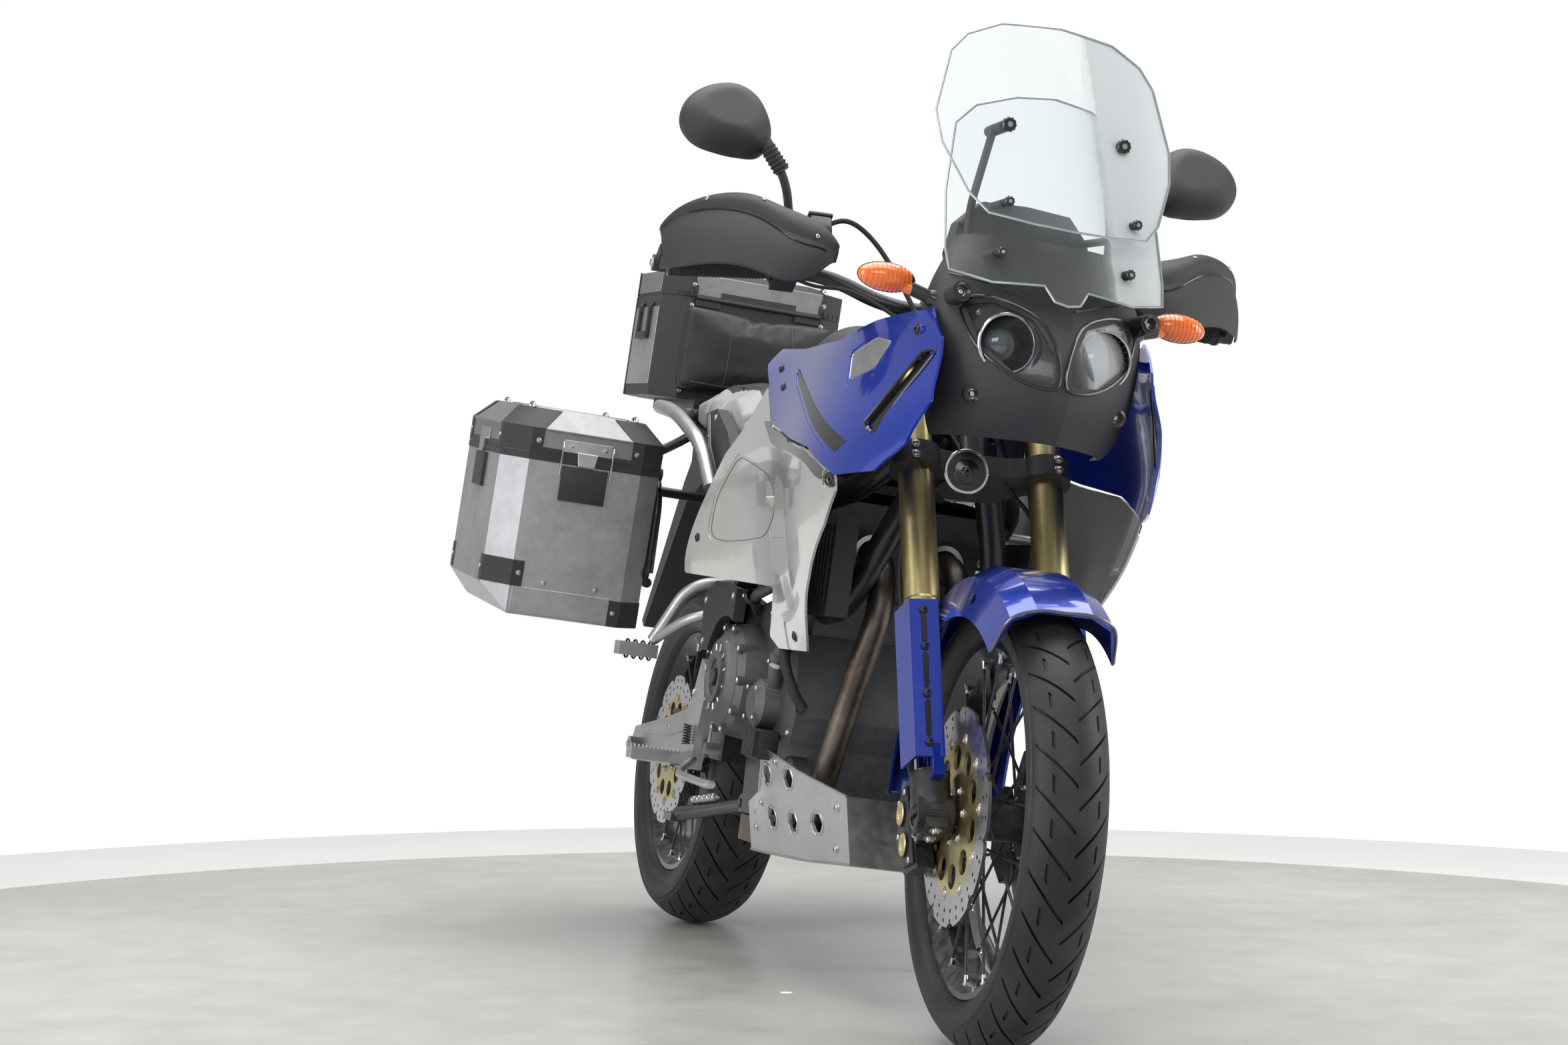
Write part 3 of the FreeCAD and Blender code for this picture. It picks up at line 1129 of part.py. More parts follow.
left_rests = [joined([mirrored(hanger), mirrored(peg), shift_pedal]).cut(frame_all),
              mirrored(passenger_hanger).cut(frame_all)]
feature("footrests", compound(right_rests + left_rests))
grab = tube([(-192, 1100, 800), (-206, 1160, 880), (-218, 1330, 945), (-214, 1500, 962), (-120, 1592, 958)], 13)

# Seats

def seat_solid(sections):
    wires = []
    for y, w, low, high in sections:
        wires.append(closed([(-w, y, low), (-w, y, high - 22), (-w * 0.7, y, high), (w * 0.7, y, high),
                             (w, y, high - 22), (w, y, low)]))
    return Part.makeLoft(wires, True, True)


rider_seat = seat_solid([(885, 108, 850, 935), (960, 148, 836, 912), (1050, 154, 824, 925), (1110, 150, 839, 950)])
passenger_seat = seat_solid([(1114, 150, 844, 952), (1180, 148, 859.3, 985), (1400, 138, 908.3, 1000),
                             (1560, 118, 944.3, 1000)])
feature("rider_seat", rider_seat)
feature("passenger_seat", passenger_seat)

# Tail, rear fender, lamp
tail = side_prism([(1496, 878), (1490, 906), (1538, 912), (1566, 924 - CLEAR), (1622, 924 - CLEAR), (1690, 915),
                   (1684, 880), (1720, 840), (1905, 560), (1885, 548), (1680, 800), (1538, 850)], -80, 80)
feature("rear_fender", tail.cut(frame_all))
lamp_box = bound("Box", "lamp_box", {
    "Length": "sizes.lamp_width", "Width": "sizes.lamp_depth", "Height": "sizes.lamp_height",
    ".Placement.Base.x": "-sizes.lamp_width / 2"}, (0, 1690.3, 882))
keep("tail_lamp", round_all("tail_lamp", lamp_box, 4))

# Racks and cases
RK = size("rack_tube")
rack_x = size("pannier_inner") - RK - CLEAR
hoop = tube([(rack_x, 1290, 640), (rack_x, 1290, 820), (rack_x, 1600, 850), (rack_x, 1600, 640), (rack_x, 1290, 622)], RK)
rack = [hoop, tube([(116, 1300, 790), (170, 1296, 790), (rack_x, 1290, 790)], RK),
        tube([(110, 1560, 928), (170, 1560, 885), (rack_x, 1560, 850)], RK)]
TOP = FreeCAD.Placement(vec(0, size("top_front"), size("top_base")), FreeCAD.Rotation(vec(1, 0, 0), size("top_pitch")))


def placed(shape, placement):
    copy = shape.copy()
    copy.Placement = placement.multiply(copy.Placement)
    return copy


rack_plate = placed(box(-120, 120, -80, 245, -18, -CLEAR), TOP)
top_rack = joined([rack_plate, box(-112, 112, 1566, 1622, 924, 976)]).cut(frame_all)
feature("case_racks", compound([side.cut(frame_all) for side in both(joined(rack))] + [top_rack]))
feature("grab_rails", compound([rail.cut([top_rack, frame_all]) for rail in both(grab)]))

WALL = size("case_wall")


def case_plan(x0, x1, y0, y1, cut):
    """A rectangle with chamfered upright corners."""
    return [(x0 + cut, y0), (x1 - cut, y0), (x1, y0 + cut), (x1, y1 - cut), (x1 - cut, y1), (x0 + cut, y1),
            (x0, y1 - cut), (x0, y0 + cut)]


def case_body(x0, x1, y1, height, wall, cut):
    """A box open at its top, with its lower edges cut at a slant."""
    outer = top_prism(case_plan(x0, x1, 0, y1, cut), 0, height)
    inner = top_prism(case_plan(x0 + wall, x1 - wall, wall, y1 - wall, cut), wall, height + 10)
    return outer, inner


def case_lid(x0, x1, y1, z0, height, wall, cut):
    """A shallow lid that sits on the body's rim, with a slanted top edge."""
    plan = case_plan(x0, x1, 0, y1, cut)
    top = case_plan(x0 + 34, x1 - 34, 34, y1 - 34, cut)
    outer = joined([
        top_prism(plan, z0, z0 + height * 0.55),
        Part.makeLoft([closed([(x, y, z0 + height * 0.55) for x, y in plan]),
                       closed([(x, y, z0 + height) for x, y in top])], True, True),
    ])
    inner_plan = case_plan(x0 + wall, x1 - wall, wall, y1 - wall, cut)
    inner = top_prism(inner_plan, z0 - 5, z0 + height * 0.5)
    return outer.cut(inner)


HINGE_R = 4.5
HINGE_PIN = 2.0
HINGE_OFF = 5.0


def hinge(x0, x1, y_wall, outward, z):
    """A pin in two knuckles on the body's wall, and the lid's own knuckle between them."""
    y = y_wall + outward * HINGE_OFF
    ends = (x1 - x0) / 5
    body = [rod((x0, y, z), (x1, y, z), HINGE_PIN)]
    for start, end in ((x0, x0 + ends), (x1 - ends, x1)):
        body.append(rod((start, y, z), (end, y, z), HINGE_R))
        body.append(box(start, end, min(y, y_wall), max(y, y_wall), z - 16, z - 1))
    lid = rod((x0 + ends + CLEAR, y, z), (x1 - ends - CLEAR, y, z), HINGE_R)
    leaf = box(x0 + ends + CLEAR, x1 - ends - CLEAR, min(y, y_wall), max(y, y_wall), z + 1, z + 16)
    bore = rod((x0, y, z), (x1, y, z), HINGE_PIN + 0.08)
    return body, [lid, leaf], bore


cut = size("case_chamfer")
pin = size("pannier_inner")
pout = size("pannier_outer")
plen = size("pannier_length")
ph = size("pannier_body")
pl = size("pannier_lid")
outer, inner = case_body(0, pout - pin, plen, ph, WALL, cut)
low_cut = front_prism([(pout - pin - 48, -1), (pout - pin + 1, -1), (pout - pin + 1, 48)], -10, plen + 10)
low_in = front_prism([(pout - pin - 48 - WALL, -1 + WALL), (pout - pin + 1, -1 + WALL), (pout - pin + 1, 48 + WALL)],
                     -10, plen + 10)
body_hinge, lid_hinge, hinge_bore = hinge(cut + 10, pout - pin - cut - 10, plen, 1, ph + 0.5)
pannier_shape = joined([outer.cut(low_cut).cut(inner.cut(low_in))] + body_hinge)
lid_shape = joined([case_lid(0, pout - pin, plen, ph + 0.5, pl, WALL, cut)] + lid_hinge).cut(hinge_bore)
PANNIER = FreeCAD.Placement(vec(pin, size("pannier_front"), size("pannier_base")),
                            FreeCAD.Rotation(vec(1, 0, 0), size("pannier_pitch")))


for name, shape in (("pannier", pannier_shape), ("pannier_lid", lid_shape)):
    left = placed(shape, PANNIER)
    feature(name + "_left", left)
    feature(name + "_right", mirrored(left))

th = size("top_half")
tlen = size("top_length")
tb = size("top_body")
tl = size("top_lid")
outer, inner = case_body(-th, th, tlen, tb, WALL, cut)
body_hinge, lid_hinge, hinge_bore = hinge(-th + cut + 10, th - cut - 10, 0, -1, tb + 0.5)
feature("top_case", placed(joined([outer.cut(inner)] + body_hinge), TOP))
top_lid = joined([case_lid(-th, th, tlen, tb + 0.5, tl, WALL, cut)] + lid_hinge).cut(hinge_bore)
feature("top_case_lid", placed(top_lid, TOP))
pad_box = bound("Box", "pad_box", {
    "Length": "sizes.pad_width", "Width": "sizes.pad_depth", "Height": "sizes.pad_height"})
pad_box.Placement = TOP.multiply(FreeCAD.Placement(vec(-size("pad_width") / 2, -50, 20), FreeCAD.Rotation()))
keep("backrest", round_all("backrest", pad_box, size("pad_round")))

# Stands
knee = stand_pivot.add(leg_down * 0.06)
leg = rod(tuple(knee), tuple(stand_foot), size("stand_radius"))
eye = rod(along_pin(-EYE_HALF), along_pin(EYE_HALF), 20)
pad = Part.makeCylinder(30, PAD_THICK, vec(FOOT_X, FOOT_Y, ground))
pad.Placement = LEAN.inverse().multiply(pad.Placement)
pin_room = rod(along_pin(-90), along_pin(40), 8 + CLEAR)
feature("side_stand", joined([leg, eye, pad]).cut(pin_room))
centre = [rod((-94, 1100, 245), (94, 1100, 245), 11)]
for side in (-1, 1):
    centre.append(tube([(side * 80, CENTRE_Y, CENTRE_Z), (side * 98, 1180, 232), (side * 118, 1290, 214)], 13))
    centre.append(box(side * 118 - 15, side * 118 + 15, 1284, 1336, 200, 214))
    centre.append(rod((side * 66, CENTRE_Y, CENTRE_Z), (side * 94, CENTRE_Y, CENTRE_Z), 16))
centre_room = rod((-120, CENTRE_Y, CENTRE_Z), (120, CENTRE_Y, CENTRE_Z), 8 + CLEAR)
feature("centre_stand", joined(centre).cut(centre_room))

# Placing, checking and writing
FRAMES = {"bike": FreeCAD.Placement(), "fork": FORK, "front_axle": AXLE_FRONT, "rear_axle": AXLE_REAR}

doc.recompute()
low = vec(1e9, 1e9, 1e9)
high = vec(-1e9, -1e9, -1e9)
for label, (obj, frame) in pieces.items():
    obj.Placement = LEAN.multiply(FRAMES[frame]).multiply(obj.Placement)
doc.recompute()
empty = [label for label, (obj, frame) in pieces.items() if not obj.Shape.Solids]
if empty:
    raise RuntimeError("empty: " + ", ".join(empty))
for label, (obj, frame) in pieces.items():
    b = obj.Shape.optimalBoundingBox(False, False)
    low = vec(min(low.x, b.XMin), min(low.y, b.YMin), min(low.z, b.ZMin))
    high = vec(max(high.x, b.XMax), max(high.y, b.YMax), max(high.z, b.ZMax))
shift = vec(-(low.x + high.x) / 2, -(low.y + high.y) / 2, -low.z)
for label, (obj, frame) in pieces.items():
    obj.Placement = FreeCAD.Placement(shift, FreeCAD.Rotation()).multiply(obj.Placement)
doc.recompute()
print("shift", tuple(shift), "low", tuple(low), "high", tuple(high))
print("side stand", tuple(stand_axis), stand_swing)
print("lows", front_low, rear_low, ground)

for obj in doc.Objects:
    if "Invalid" in obj.State or "Error" in obj.State:
        raise RuntimeError("failed object: " + obj.Label)
bad = [label for label, (obj, frame) in pieces.items()
       if obj.Shape.isNull() or not obj.Shape.isValid() or obj.Shape.Volume <= 0]
if bad:
    raise RuntimeError("bad shapes: " + ", ".join(bad))
for label, (obj, frame) in pieces.items():
    obj.Shape.exportStep("parts/%s.step" % label)
print(len(pieces), "pieces written")
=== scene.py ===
"""Looks of the adventure touring motorcycle, dressed over its packed CAD frame."""
import math

import bmesh
import bpy
from bpy.props import FloatProperty, FloatVectorProperty, IntProperty, PointerProperty
from mathutils import Matrix, Vector, noise


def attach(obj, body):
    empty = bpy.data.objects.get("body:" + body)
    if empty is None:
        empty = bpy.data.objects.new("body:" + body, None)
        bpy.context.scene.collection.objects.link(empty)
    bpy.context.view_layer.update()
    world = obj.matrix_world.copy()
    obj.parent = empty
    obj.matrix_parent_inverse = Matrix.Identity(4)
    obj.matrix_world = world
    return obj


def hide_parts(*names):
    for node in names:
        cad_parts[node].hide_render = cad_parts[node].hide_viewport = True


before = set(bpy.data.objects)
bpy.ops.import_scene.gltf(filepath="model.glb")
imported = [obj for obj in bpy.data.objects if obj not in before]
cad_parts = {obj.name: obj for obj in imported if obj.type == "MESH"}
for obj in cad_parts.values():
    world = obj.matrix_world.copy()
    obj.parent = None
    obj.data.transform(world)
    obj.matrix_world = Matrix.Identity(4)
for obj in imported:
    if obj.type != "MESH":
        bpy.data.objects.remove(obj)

bl_info = {
    "name": "Touring Motorcycle Looks",
    "version": (1, 0, 0),
    "blender": (4, 5, 0),
    "location": "3D View > Sidebar > Motorcycle",
    "description": "Finishes and fine pieces for an adventure touring motorcycle",
    "category": "Object",
}

# The upright bike in millimetres: x to the rider's left, y rearwards from the front axle, z up
MM = 0.001
WHEELBASE = 1540.0
FRONT_RADIUS = 329.3
REAR_RADIUS = 320.9
FRONT_LIP, FRONT_RIM_HALF = 253.0, 38.0
REAR_LIP, REAR_RIM_HALF = 227.0, 57.0
LEAN_ANGLE = math.radians(8.19)
STEER_ANGLE = math.radians(-4.37)
RAKE_ANGLE = math.radians(-28.0)
BIKE = Matrix.Translation((-0.105300, -0.813007, 0.0014035)) @ Matrix.Rotation(LEAN_ANGLE, 4, "Y")
FORK_ORIGIN = Vector((0.0, 38.1, 308.9)) * MM
FORK = (BIKE @ Matrix.Translation(FORK_ORIGIN) @ Matrix.Rotation(RAKE_ANGLE, 4, "X")
        @ Matrix.Rotation(STEER_ANGLE, 4, "Z"))
LEG_Y = -43.4
SPOKES = 36
FORK_X = 102.0
FRONT_AXLE = FORK @ Matrix.Translation(Vector((0.0, LEG_Y, 0.0)) * MM)
REAR_AXLE = BIKE @ Matrix.Translation(Vector((0.0, WHEELBASE, REAR_RADIUS)) * MM)
FRAMES = {"bike": BIKE, "fork": FORK, "front_axle": FRONT_AXLE, "rear_axle": REAR_AXLE}


# Shader maths

class Val:
    """A node's output, so that shader maths reads as Python."""

    def __init__(self, finish, socket):
        self.finish = finish
        self.socket = socket

    def math(self, operation, *values):
        """A Math node on these values."""
        return self.finish.node("ShaderNodeMath", {"operation": operation}, dict(enumerate(values)))

    def __add__(self, other):
        return self.math("ADD", self, other)

    def __sub__(self, other):
        return self.math("SUBTRACT", self, other)

    def __rsub__(self, other):
        return self.math("SUBTRACT", other, self)

    def __mul__(self, other):
        return self.math("MULTIPLY", self, other)

    __radd__ = __add__
    __rmul__ = __mul__

    def clamp(self):
        """Held between 0 and 1."""
        return self.math("MINIMUM", self.math("MAXIMUM", self, 0.0), 1.0)

    def step(self, low, high):
        """0 below low, 1 above high and smooth between them."""
        return self.finish.node("ShaderNodeMapRange", {"interpolation_type": "SMOOTHSTEP"},
                                {0: self, 1: low, 2: high, 3: 0.0, 4: 1.0})

    def wave(self):
        return self.math("SINE", self)


class Finish:
    """A material, its shader and the nodes that feed it."""

    def __init__(self, name):
        self.material = bpy.data.materials.new(name)
        self.material.use_nodes = True
        self.tree = self.material.node_tree
        self.shader = self.tree.nodes["Principled BSDF"]
        self.output = self.tree.nodes["Material Output"]

    def node(self, kind, settings=None, values=None, out=0):
        """A node with its settings made first and its sockets filled or linked after."""
        made = self.tree.nodes.new(kind)
        for key, value in (settings or {}).items():
            if key == "stops":
                ramp = made.color_ramp
                while len(ramp.elements) < len(value):
                    ramp.elements.new(0.5)
                for element, (position, colour) in zip(ramp.elements, value):
                    element.position = position
                    element.color = (*colour, 1.0)
            else:
                setattr(made, key, value)
        for key, value in (values or {}).items():
            self.put(made.inputs[key], value)
        return Val(self, made.outputs[out])

    def put(self, socket, value):
        """Links or sets one socket."""
        if isinstance(value, Val):
            self.tree.links.new(value.socket, socket)
        elif socket.type == "RGBA" and len(value) == 3:
            socket.default_value = (*value, 1.0)
        else:
            socket.default_value = value

    def place(self):
        """The point on the object, in its own frame."""
        return self.node("ShaderNodeTexCoord", out="Object")

    def part(self, point, axis):
        return self.node("ShaderNodeSeparateXYZ", None, {0: point}, out=axis)

    def across(self, point):
        """Distance from the bike's middle plane, in metres."""
        x, z = self.part(point, "X"), self.part(point, "Z")
        origin = BIKE.translation
        side = (x - origin.x) * math.cos(LEAN_ANGLE) - (z - origin.z) * math.sin(LEAN_ANGLE)
        return side.math("ABSOLUTE", side)

    def scaled(self, point, scale):
        return self.node("ShaderNodeMapping", {"vector_type": "POINT"}, {"Vector": point, "Scale": scale})

    def cloud(self, point, scale, detail=3.0, rough=0.55):
        """Soft noise from 0 to 1."""
        return self.node("ShaderNodeTexNoise", None,
                         {"Vector": point, "Scale": scale, "Detail": detail, "Roughness": rough})

    def cells(self, point, scale, feature="F1"):
        return self.node("ShaderNodeTexVoronoi", {"feature": feature}, {"Vector": point, "Scale": scale})

    def blend(self, factor, first, second):
        """Two colours mixed by a factor."""
        return self.node("ShaderNodeMix", {"data_type": "RGBA"}, {0: factor, 6: first, 7: second}, out=2)

    def bump(self, height, distance, strength=1.0, normal=None):
        values = {"Height": height, "Distance": distance, "Strength": strength}
        if normal is not None:
            values["Normal"] = normal
        return self.node("ShaderNodeBump", None, values)

    def set(self, **sockets):
        """Fills the main shader's sockets, named with underscores."""
        for key, value in sockets.items():
            self.put(self.shader.inputs[key.replace("_", " ")], value)


FINISHES = {}
DUST = (0.30, 0.27, 0.23)


def metal_or_plastic(name, colour, roughness, metallic=0.0, coat=0.0, coat_rough=0.05, mottle=0.15,
                     grain=0.0, grain_scale=900.0, dust=0.25, flecks=0.0, specular=0.5, brushed=None,
                     scuffs=0.25):
    """The common finish: tone that drifts, dust low down, fine grain and scuffs."""
    f = Finish(name)
    point = f.place()
    drift = f.cloud(point, 7.0)
    fine = f.cloud(point, 60.0, 4.0)
    smear = f.cloud(f.scaled(point, (14.0, 14.0, 90.0)), 1.0, 4.0)
    deep = tuple(c * (1 - mottle) for c in colour)
    pale = tuple(min(1.0, c * (1 + mottle)) for c in colour)
    base = f.blend((drift * 0.6 + fine * 0.4).step(0.3, 0.7), deep, pale)
    if flecks:
        glitter = f.cells(point, 2600.0)
        base = f.blend(glitter.step(0.0, 0.12) * -flecks + flecks, base,
                       tuple(min(1.0, c * 2.2 + 0.03) for c in colour))
    low = 1 - f.part(point, "Z").step(0.02, 0.55)
    grime = (low * fine.step(0.35, 0.75) * dust).clamp()
    base = f.blend(grime, base, DUST)
    rub = smear.step(0.62, 0.8) * scuffs
    f.set(Base_Color=base, Roughness=(roughness + rub * 0.25 + grime * 0.4 + (fine - 0.5) * 0.06).clamp(),
          Metallic=metallic, Coat_Weight=coat, Coat_Roughness=coat_rough, Specular_IOR_Level=specular)
    normal = None
    if brushed is not None:
        lines = f.cloud(f.scaled(point, brushed), 1.0, 5.0, 0.7)
        normal = f.bump(lines, 0.0004, 0.35)
    if grain:
        normal = f.bump(f.cloud(point, grain_scale, 3.0), 0.0012, grain, normal)
    if normal is not None:
        f.set(Normal=normal)
    FINISHES[name] = f.material


def clear_sheet(name, tint, gloss=1.1):
    """Thin clear plastic: it reflects by the angle of view and passes the rest."""
    f = Finish(name)
    point = f.place()
    f.set(Base_Color=tint, Roughness=0.03, Specular_IOR_Level=0.6, IOR=1.45)
    smudge = f.cloud(point, 22.0, 4.0)
    see = f.node("ShaderNodeBsdfTransparent", None, {"Color": tint})
    edge = f.node("ShaderNodeFresnel", None, {"IOR": 1.35})
    weight = (edge * gloss + smudge.step(0.55, 0.9) * 0.02).clamp()
    mixed = f.node("ShaderNodeMixShader", None, {0: weight, 1: see, 2: Val(f, f.shader.outputs[0])})
    f.put(f.output.inputs["Surface"], mixed)
    FINISHES[name] = f.material


# Meshes, in millimetres

def to_mesh(bm, name, sharp=32.0):
    """A bmesh in millimetres as a smooth-shaded mesh in metres."""
    bmesh.ops.remove_doubles(bm, verts=bm.verts, dist=0.002)
    bmesh.ops.recalc_face_normals(bm, faces=bm.faces)
    mesh = bpy.data.meshes.new(name)
    bm.to_mesh(mesh)
    bm.free()
    mesh.transform(Matrix.Scale(MM, 4))
    mesh.shade_smooth()
    mesh.set_sharp_from_angle(angle=math.radians(sharp))
    return mesh


def piece(name, mesh, body, finish, where="bike"):
    """A mesh from one of the frames, brought into the row frame, riding on a body, with its finish."""
    if isinstance(mesh, bmesh.types.BMesh):
        mesh = to_mesh(mesh, name)
    mesh.transform(FRAMES[where])
    obj = bpy.data.objects.new(name, mesh)
    bpy.context.scene.collection.objects.link(obj)
    mesh.materials.append(FINISHES[finish])
    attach(obj, body)
    return obj


def pieces(body, where, *rows):
    """Pieces of one body and frame: name, mesh, finish and slot, where the slot is not used."""
    for name, mesh, finish, slot in rows:
        piece(name, mesh, body, finish, where)


def meshes(count):
    """Empty meshes to build in."""
    return [bmesh.new() for _ in range(count)]


def loft(bm, rings, closed=True, caps=True):
    """Skins a list of rings that have the same number of points."""
    rows = [[bm.verts.new(p) for p in ring] for ring in rings]
    count = len(rows[0])
    last = count if closed else count - 1
    for a, b in zip(rows, rows[1:]):
        for i in range(last):
            j = (i + 1) % count
            bm.faces.new((a[i], a[j], b[j], b[i]))
    if caps and closed:
        bm.faces.new(rows[0][::-1])
        bm.faces.new(rows[-1])
    return rows


def prism(bm, outline, depth, bevel=0.0, segments=2):
    """Extrudes a flat outline by a vector and rounds all its edges."""
    first = [bm.verts.new(p) for p in outline]
    shift = Vector(depth)
    second = [bm.verts.new(Vector(p) + shift) for p in outline]
    faces = [bm.faces.new(first[::-1]), bm.faces.new(second)]
    for i in range(len(outline)):
        j = (i + 1) % len(outline)
        faces.append(bm.faces.new((first[i], first[j], second[j], second[i])))
    bmesh.ops.recalc_face_normals(bm, faces=faces)
    if bevel:
        edges = list({e for f in faces for e in f.edges})
        bmesh.ops.bevel(bm, geom=edges, offset=bevel, segments=segments, affect="EDGES", profile=0.6)


def block(bm, low, high, bevel=2.0, segments=2):
    """A box between two corners with rounded edges."""
    x0, y0, z0 = low
    x1, y1, z1 = high
    prism(bm, [(x0, y0, z0), (x1, y0, z0), (x1, y1, z0), (x0, y1, z0)], (0, 0, z1 - z0), bevel, segments)


def basis(direction):
    """Two unit vectors square to a direction."""
    d = Vector(direction).normalized()
    side = d.cross(Vector((0, 0, 1)))
    if side.length < 0.05:
        side = d.cross(Vector((0, 1, 0)))
    side.normalize()
    return d, side, d.cross(side)


def turned(bm, profile, start, direction, sides=32, caps=True):
    """Revolves (distance along, radius) points about a line."""
    d, u, v = basis(direction)
    base = Vector(start)
    rings = []
    for along, radius in profile:
        rings.append([base + d * along + (u * math.cos(a) + v * math.sin(a)) * max(radius, 0.01)
                      for a in (2 * math.pi * k / sides for k in range(sides))])
    loft(bm, rings, True, caps)


def rod(bm, start, end, radius, sides=20, edge=0.8):
    """A round bar with broken edges."""
    a, b = Vector(start), Vector(end)
    n = (b - a).length
    edge = min(edge, n / 3, radius / 2)
    turned(bm, [(0, radius - edge), (edge, radius), (n - edge, radius), (n, radius - edge)], a, b - a, sides)


def curve_points(points, steps=6, loop=False):
    """A smooth line through the points."""
    pts = [Vector(p) for p in points]
    out = []
    n = len(pts)
    for i in range(n if loop else n - 1):
        p0 = pts[(i - 1) % n] if loop or i else pts[0] * 2 - pts[1]
        p1, p2 = pts[i], pts[(i + 1) % n]
        p3 = pts[(i + 2) % n] if loop or i + 2 < n else pts[-1] * 2 - pts[-2]
        for k in range(steps):
            t = k / steps
            out.append(0.5 * (2 * p1 + (p2 - p0) * t + (2 * p0 - 5 * p1 + 4 * p2 - p3) * t * t
                              + (3 * p1 - p0 - 3 * p2 + p3) * t ** 3))
    if not loop:
        out.append(pts[-1])
    return out


def pipe(bm, points, radius, sides=12, steps=6):
    """A round section carried along a smooth line without twist."""
    cord_line(bm, curve_points(points, steps), radius, sides)


def bolt(bm, at, direction, radius=5.0, height=4.0, socket=True, washer=True):
    """A button head with a hexagon socket and a washer."""
    d = Vector(direction).normalized()
    base = Vector(at)
    if washer:
        turned(bm, [(-0.6, radius * 1.5), (0.7, radius * 1.5), (1.0, radius * 1.42)], base, d, 20)
    profile = [(0.6, radius), (height * 0.55, radius * 0.98), (height * 0.88, radius * 0.8),
               (height, radius * 0.6)]
    if socket:
        profile += [(height, radius * 0.46), (height * 0.45, radius * 0.44)]
    turned(bm, profile, base, d, 18)


def nut(bm, at, direction, across, height, hole=0.0):
    """A hexagon nut."""
    d, u, v = basis(direction)
    base = Vector(at)
    ring = [base + (u * math.cos(a) + v * math.sin(a)) * across for a in (math.pi * k / 3 for k in range(6))]
    prism(bm, ring, d * height, 0.8, 1)
    if hole:
        turned(bm, [(height, hole), (height + 3.0, hole), (height + 3.6, hole - 0.8)], base, d, 16)


# Sizes and colours that a user would change

class MotorcycleColours(bpy.types.PropertyGroup):
    """Colours of the painted, cast and moulded parts."""
    body: FloatVectorProperty(name="Body colour", description="Metallic blue of the cowls and the fender",
                              subtype="COLOR", default=(0.008, 0.038, 0.40))
    panel: FloatVectorProperty(name="Panel colour", description="Silver white of the side panels",
                               subtype="COLOR", default=(0.52, 0.52, 0.50))
    fork: FloatVectorProperty(name="Fork colour", description="Gold anodising of the fork tubes",
                              subtype="COLOR", default=(0.50, 0.42, 0.20))
    plastic: FloatVectorProperty(name="Plastic colour", description="Grained black plastic",
                                 subtype="COLOR", default=(0.018, 0.018, 0.02))


class StageSizes(bpy.types.PropertyGroup):
    """Floor, backdrop, lights and camera."""
    floor_radius: FloatProperty(name="Floor radius", description="From the middle to the floor's round edge",
                                default=2.2, unit="LENGTH")
    band_width: FloatProperty(name="Band width", description="Width of the plain band round the floor",
                              default=0.6, unit="LENGTH")
    lens: FloatProperty(name="Lens", description="Focal length of the camera in millimetres", default=67.15)
    key_power: FloatProperty(name="Overhead light", description="Watts of the large light overhead",
                             default=230.0)


class TyreSizes(bpy.types.PropertyGroup):
    """Tread of both tyres."""
    pitch: FloatProperty(name="Groove pitch", description="Distance between tread grooves in millimetres",
                         default=61.0)
    depth: FloatProperty(name="Groove depth", description="Depth of the tread grooves in millimetres",
                         default=5.0)
    slope: FloatProperty(name="Groove slope",
                         description="How far a groove runs back for each millimetre across", default=1.05)


# Operators

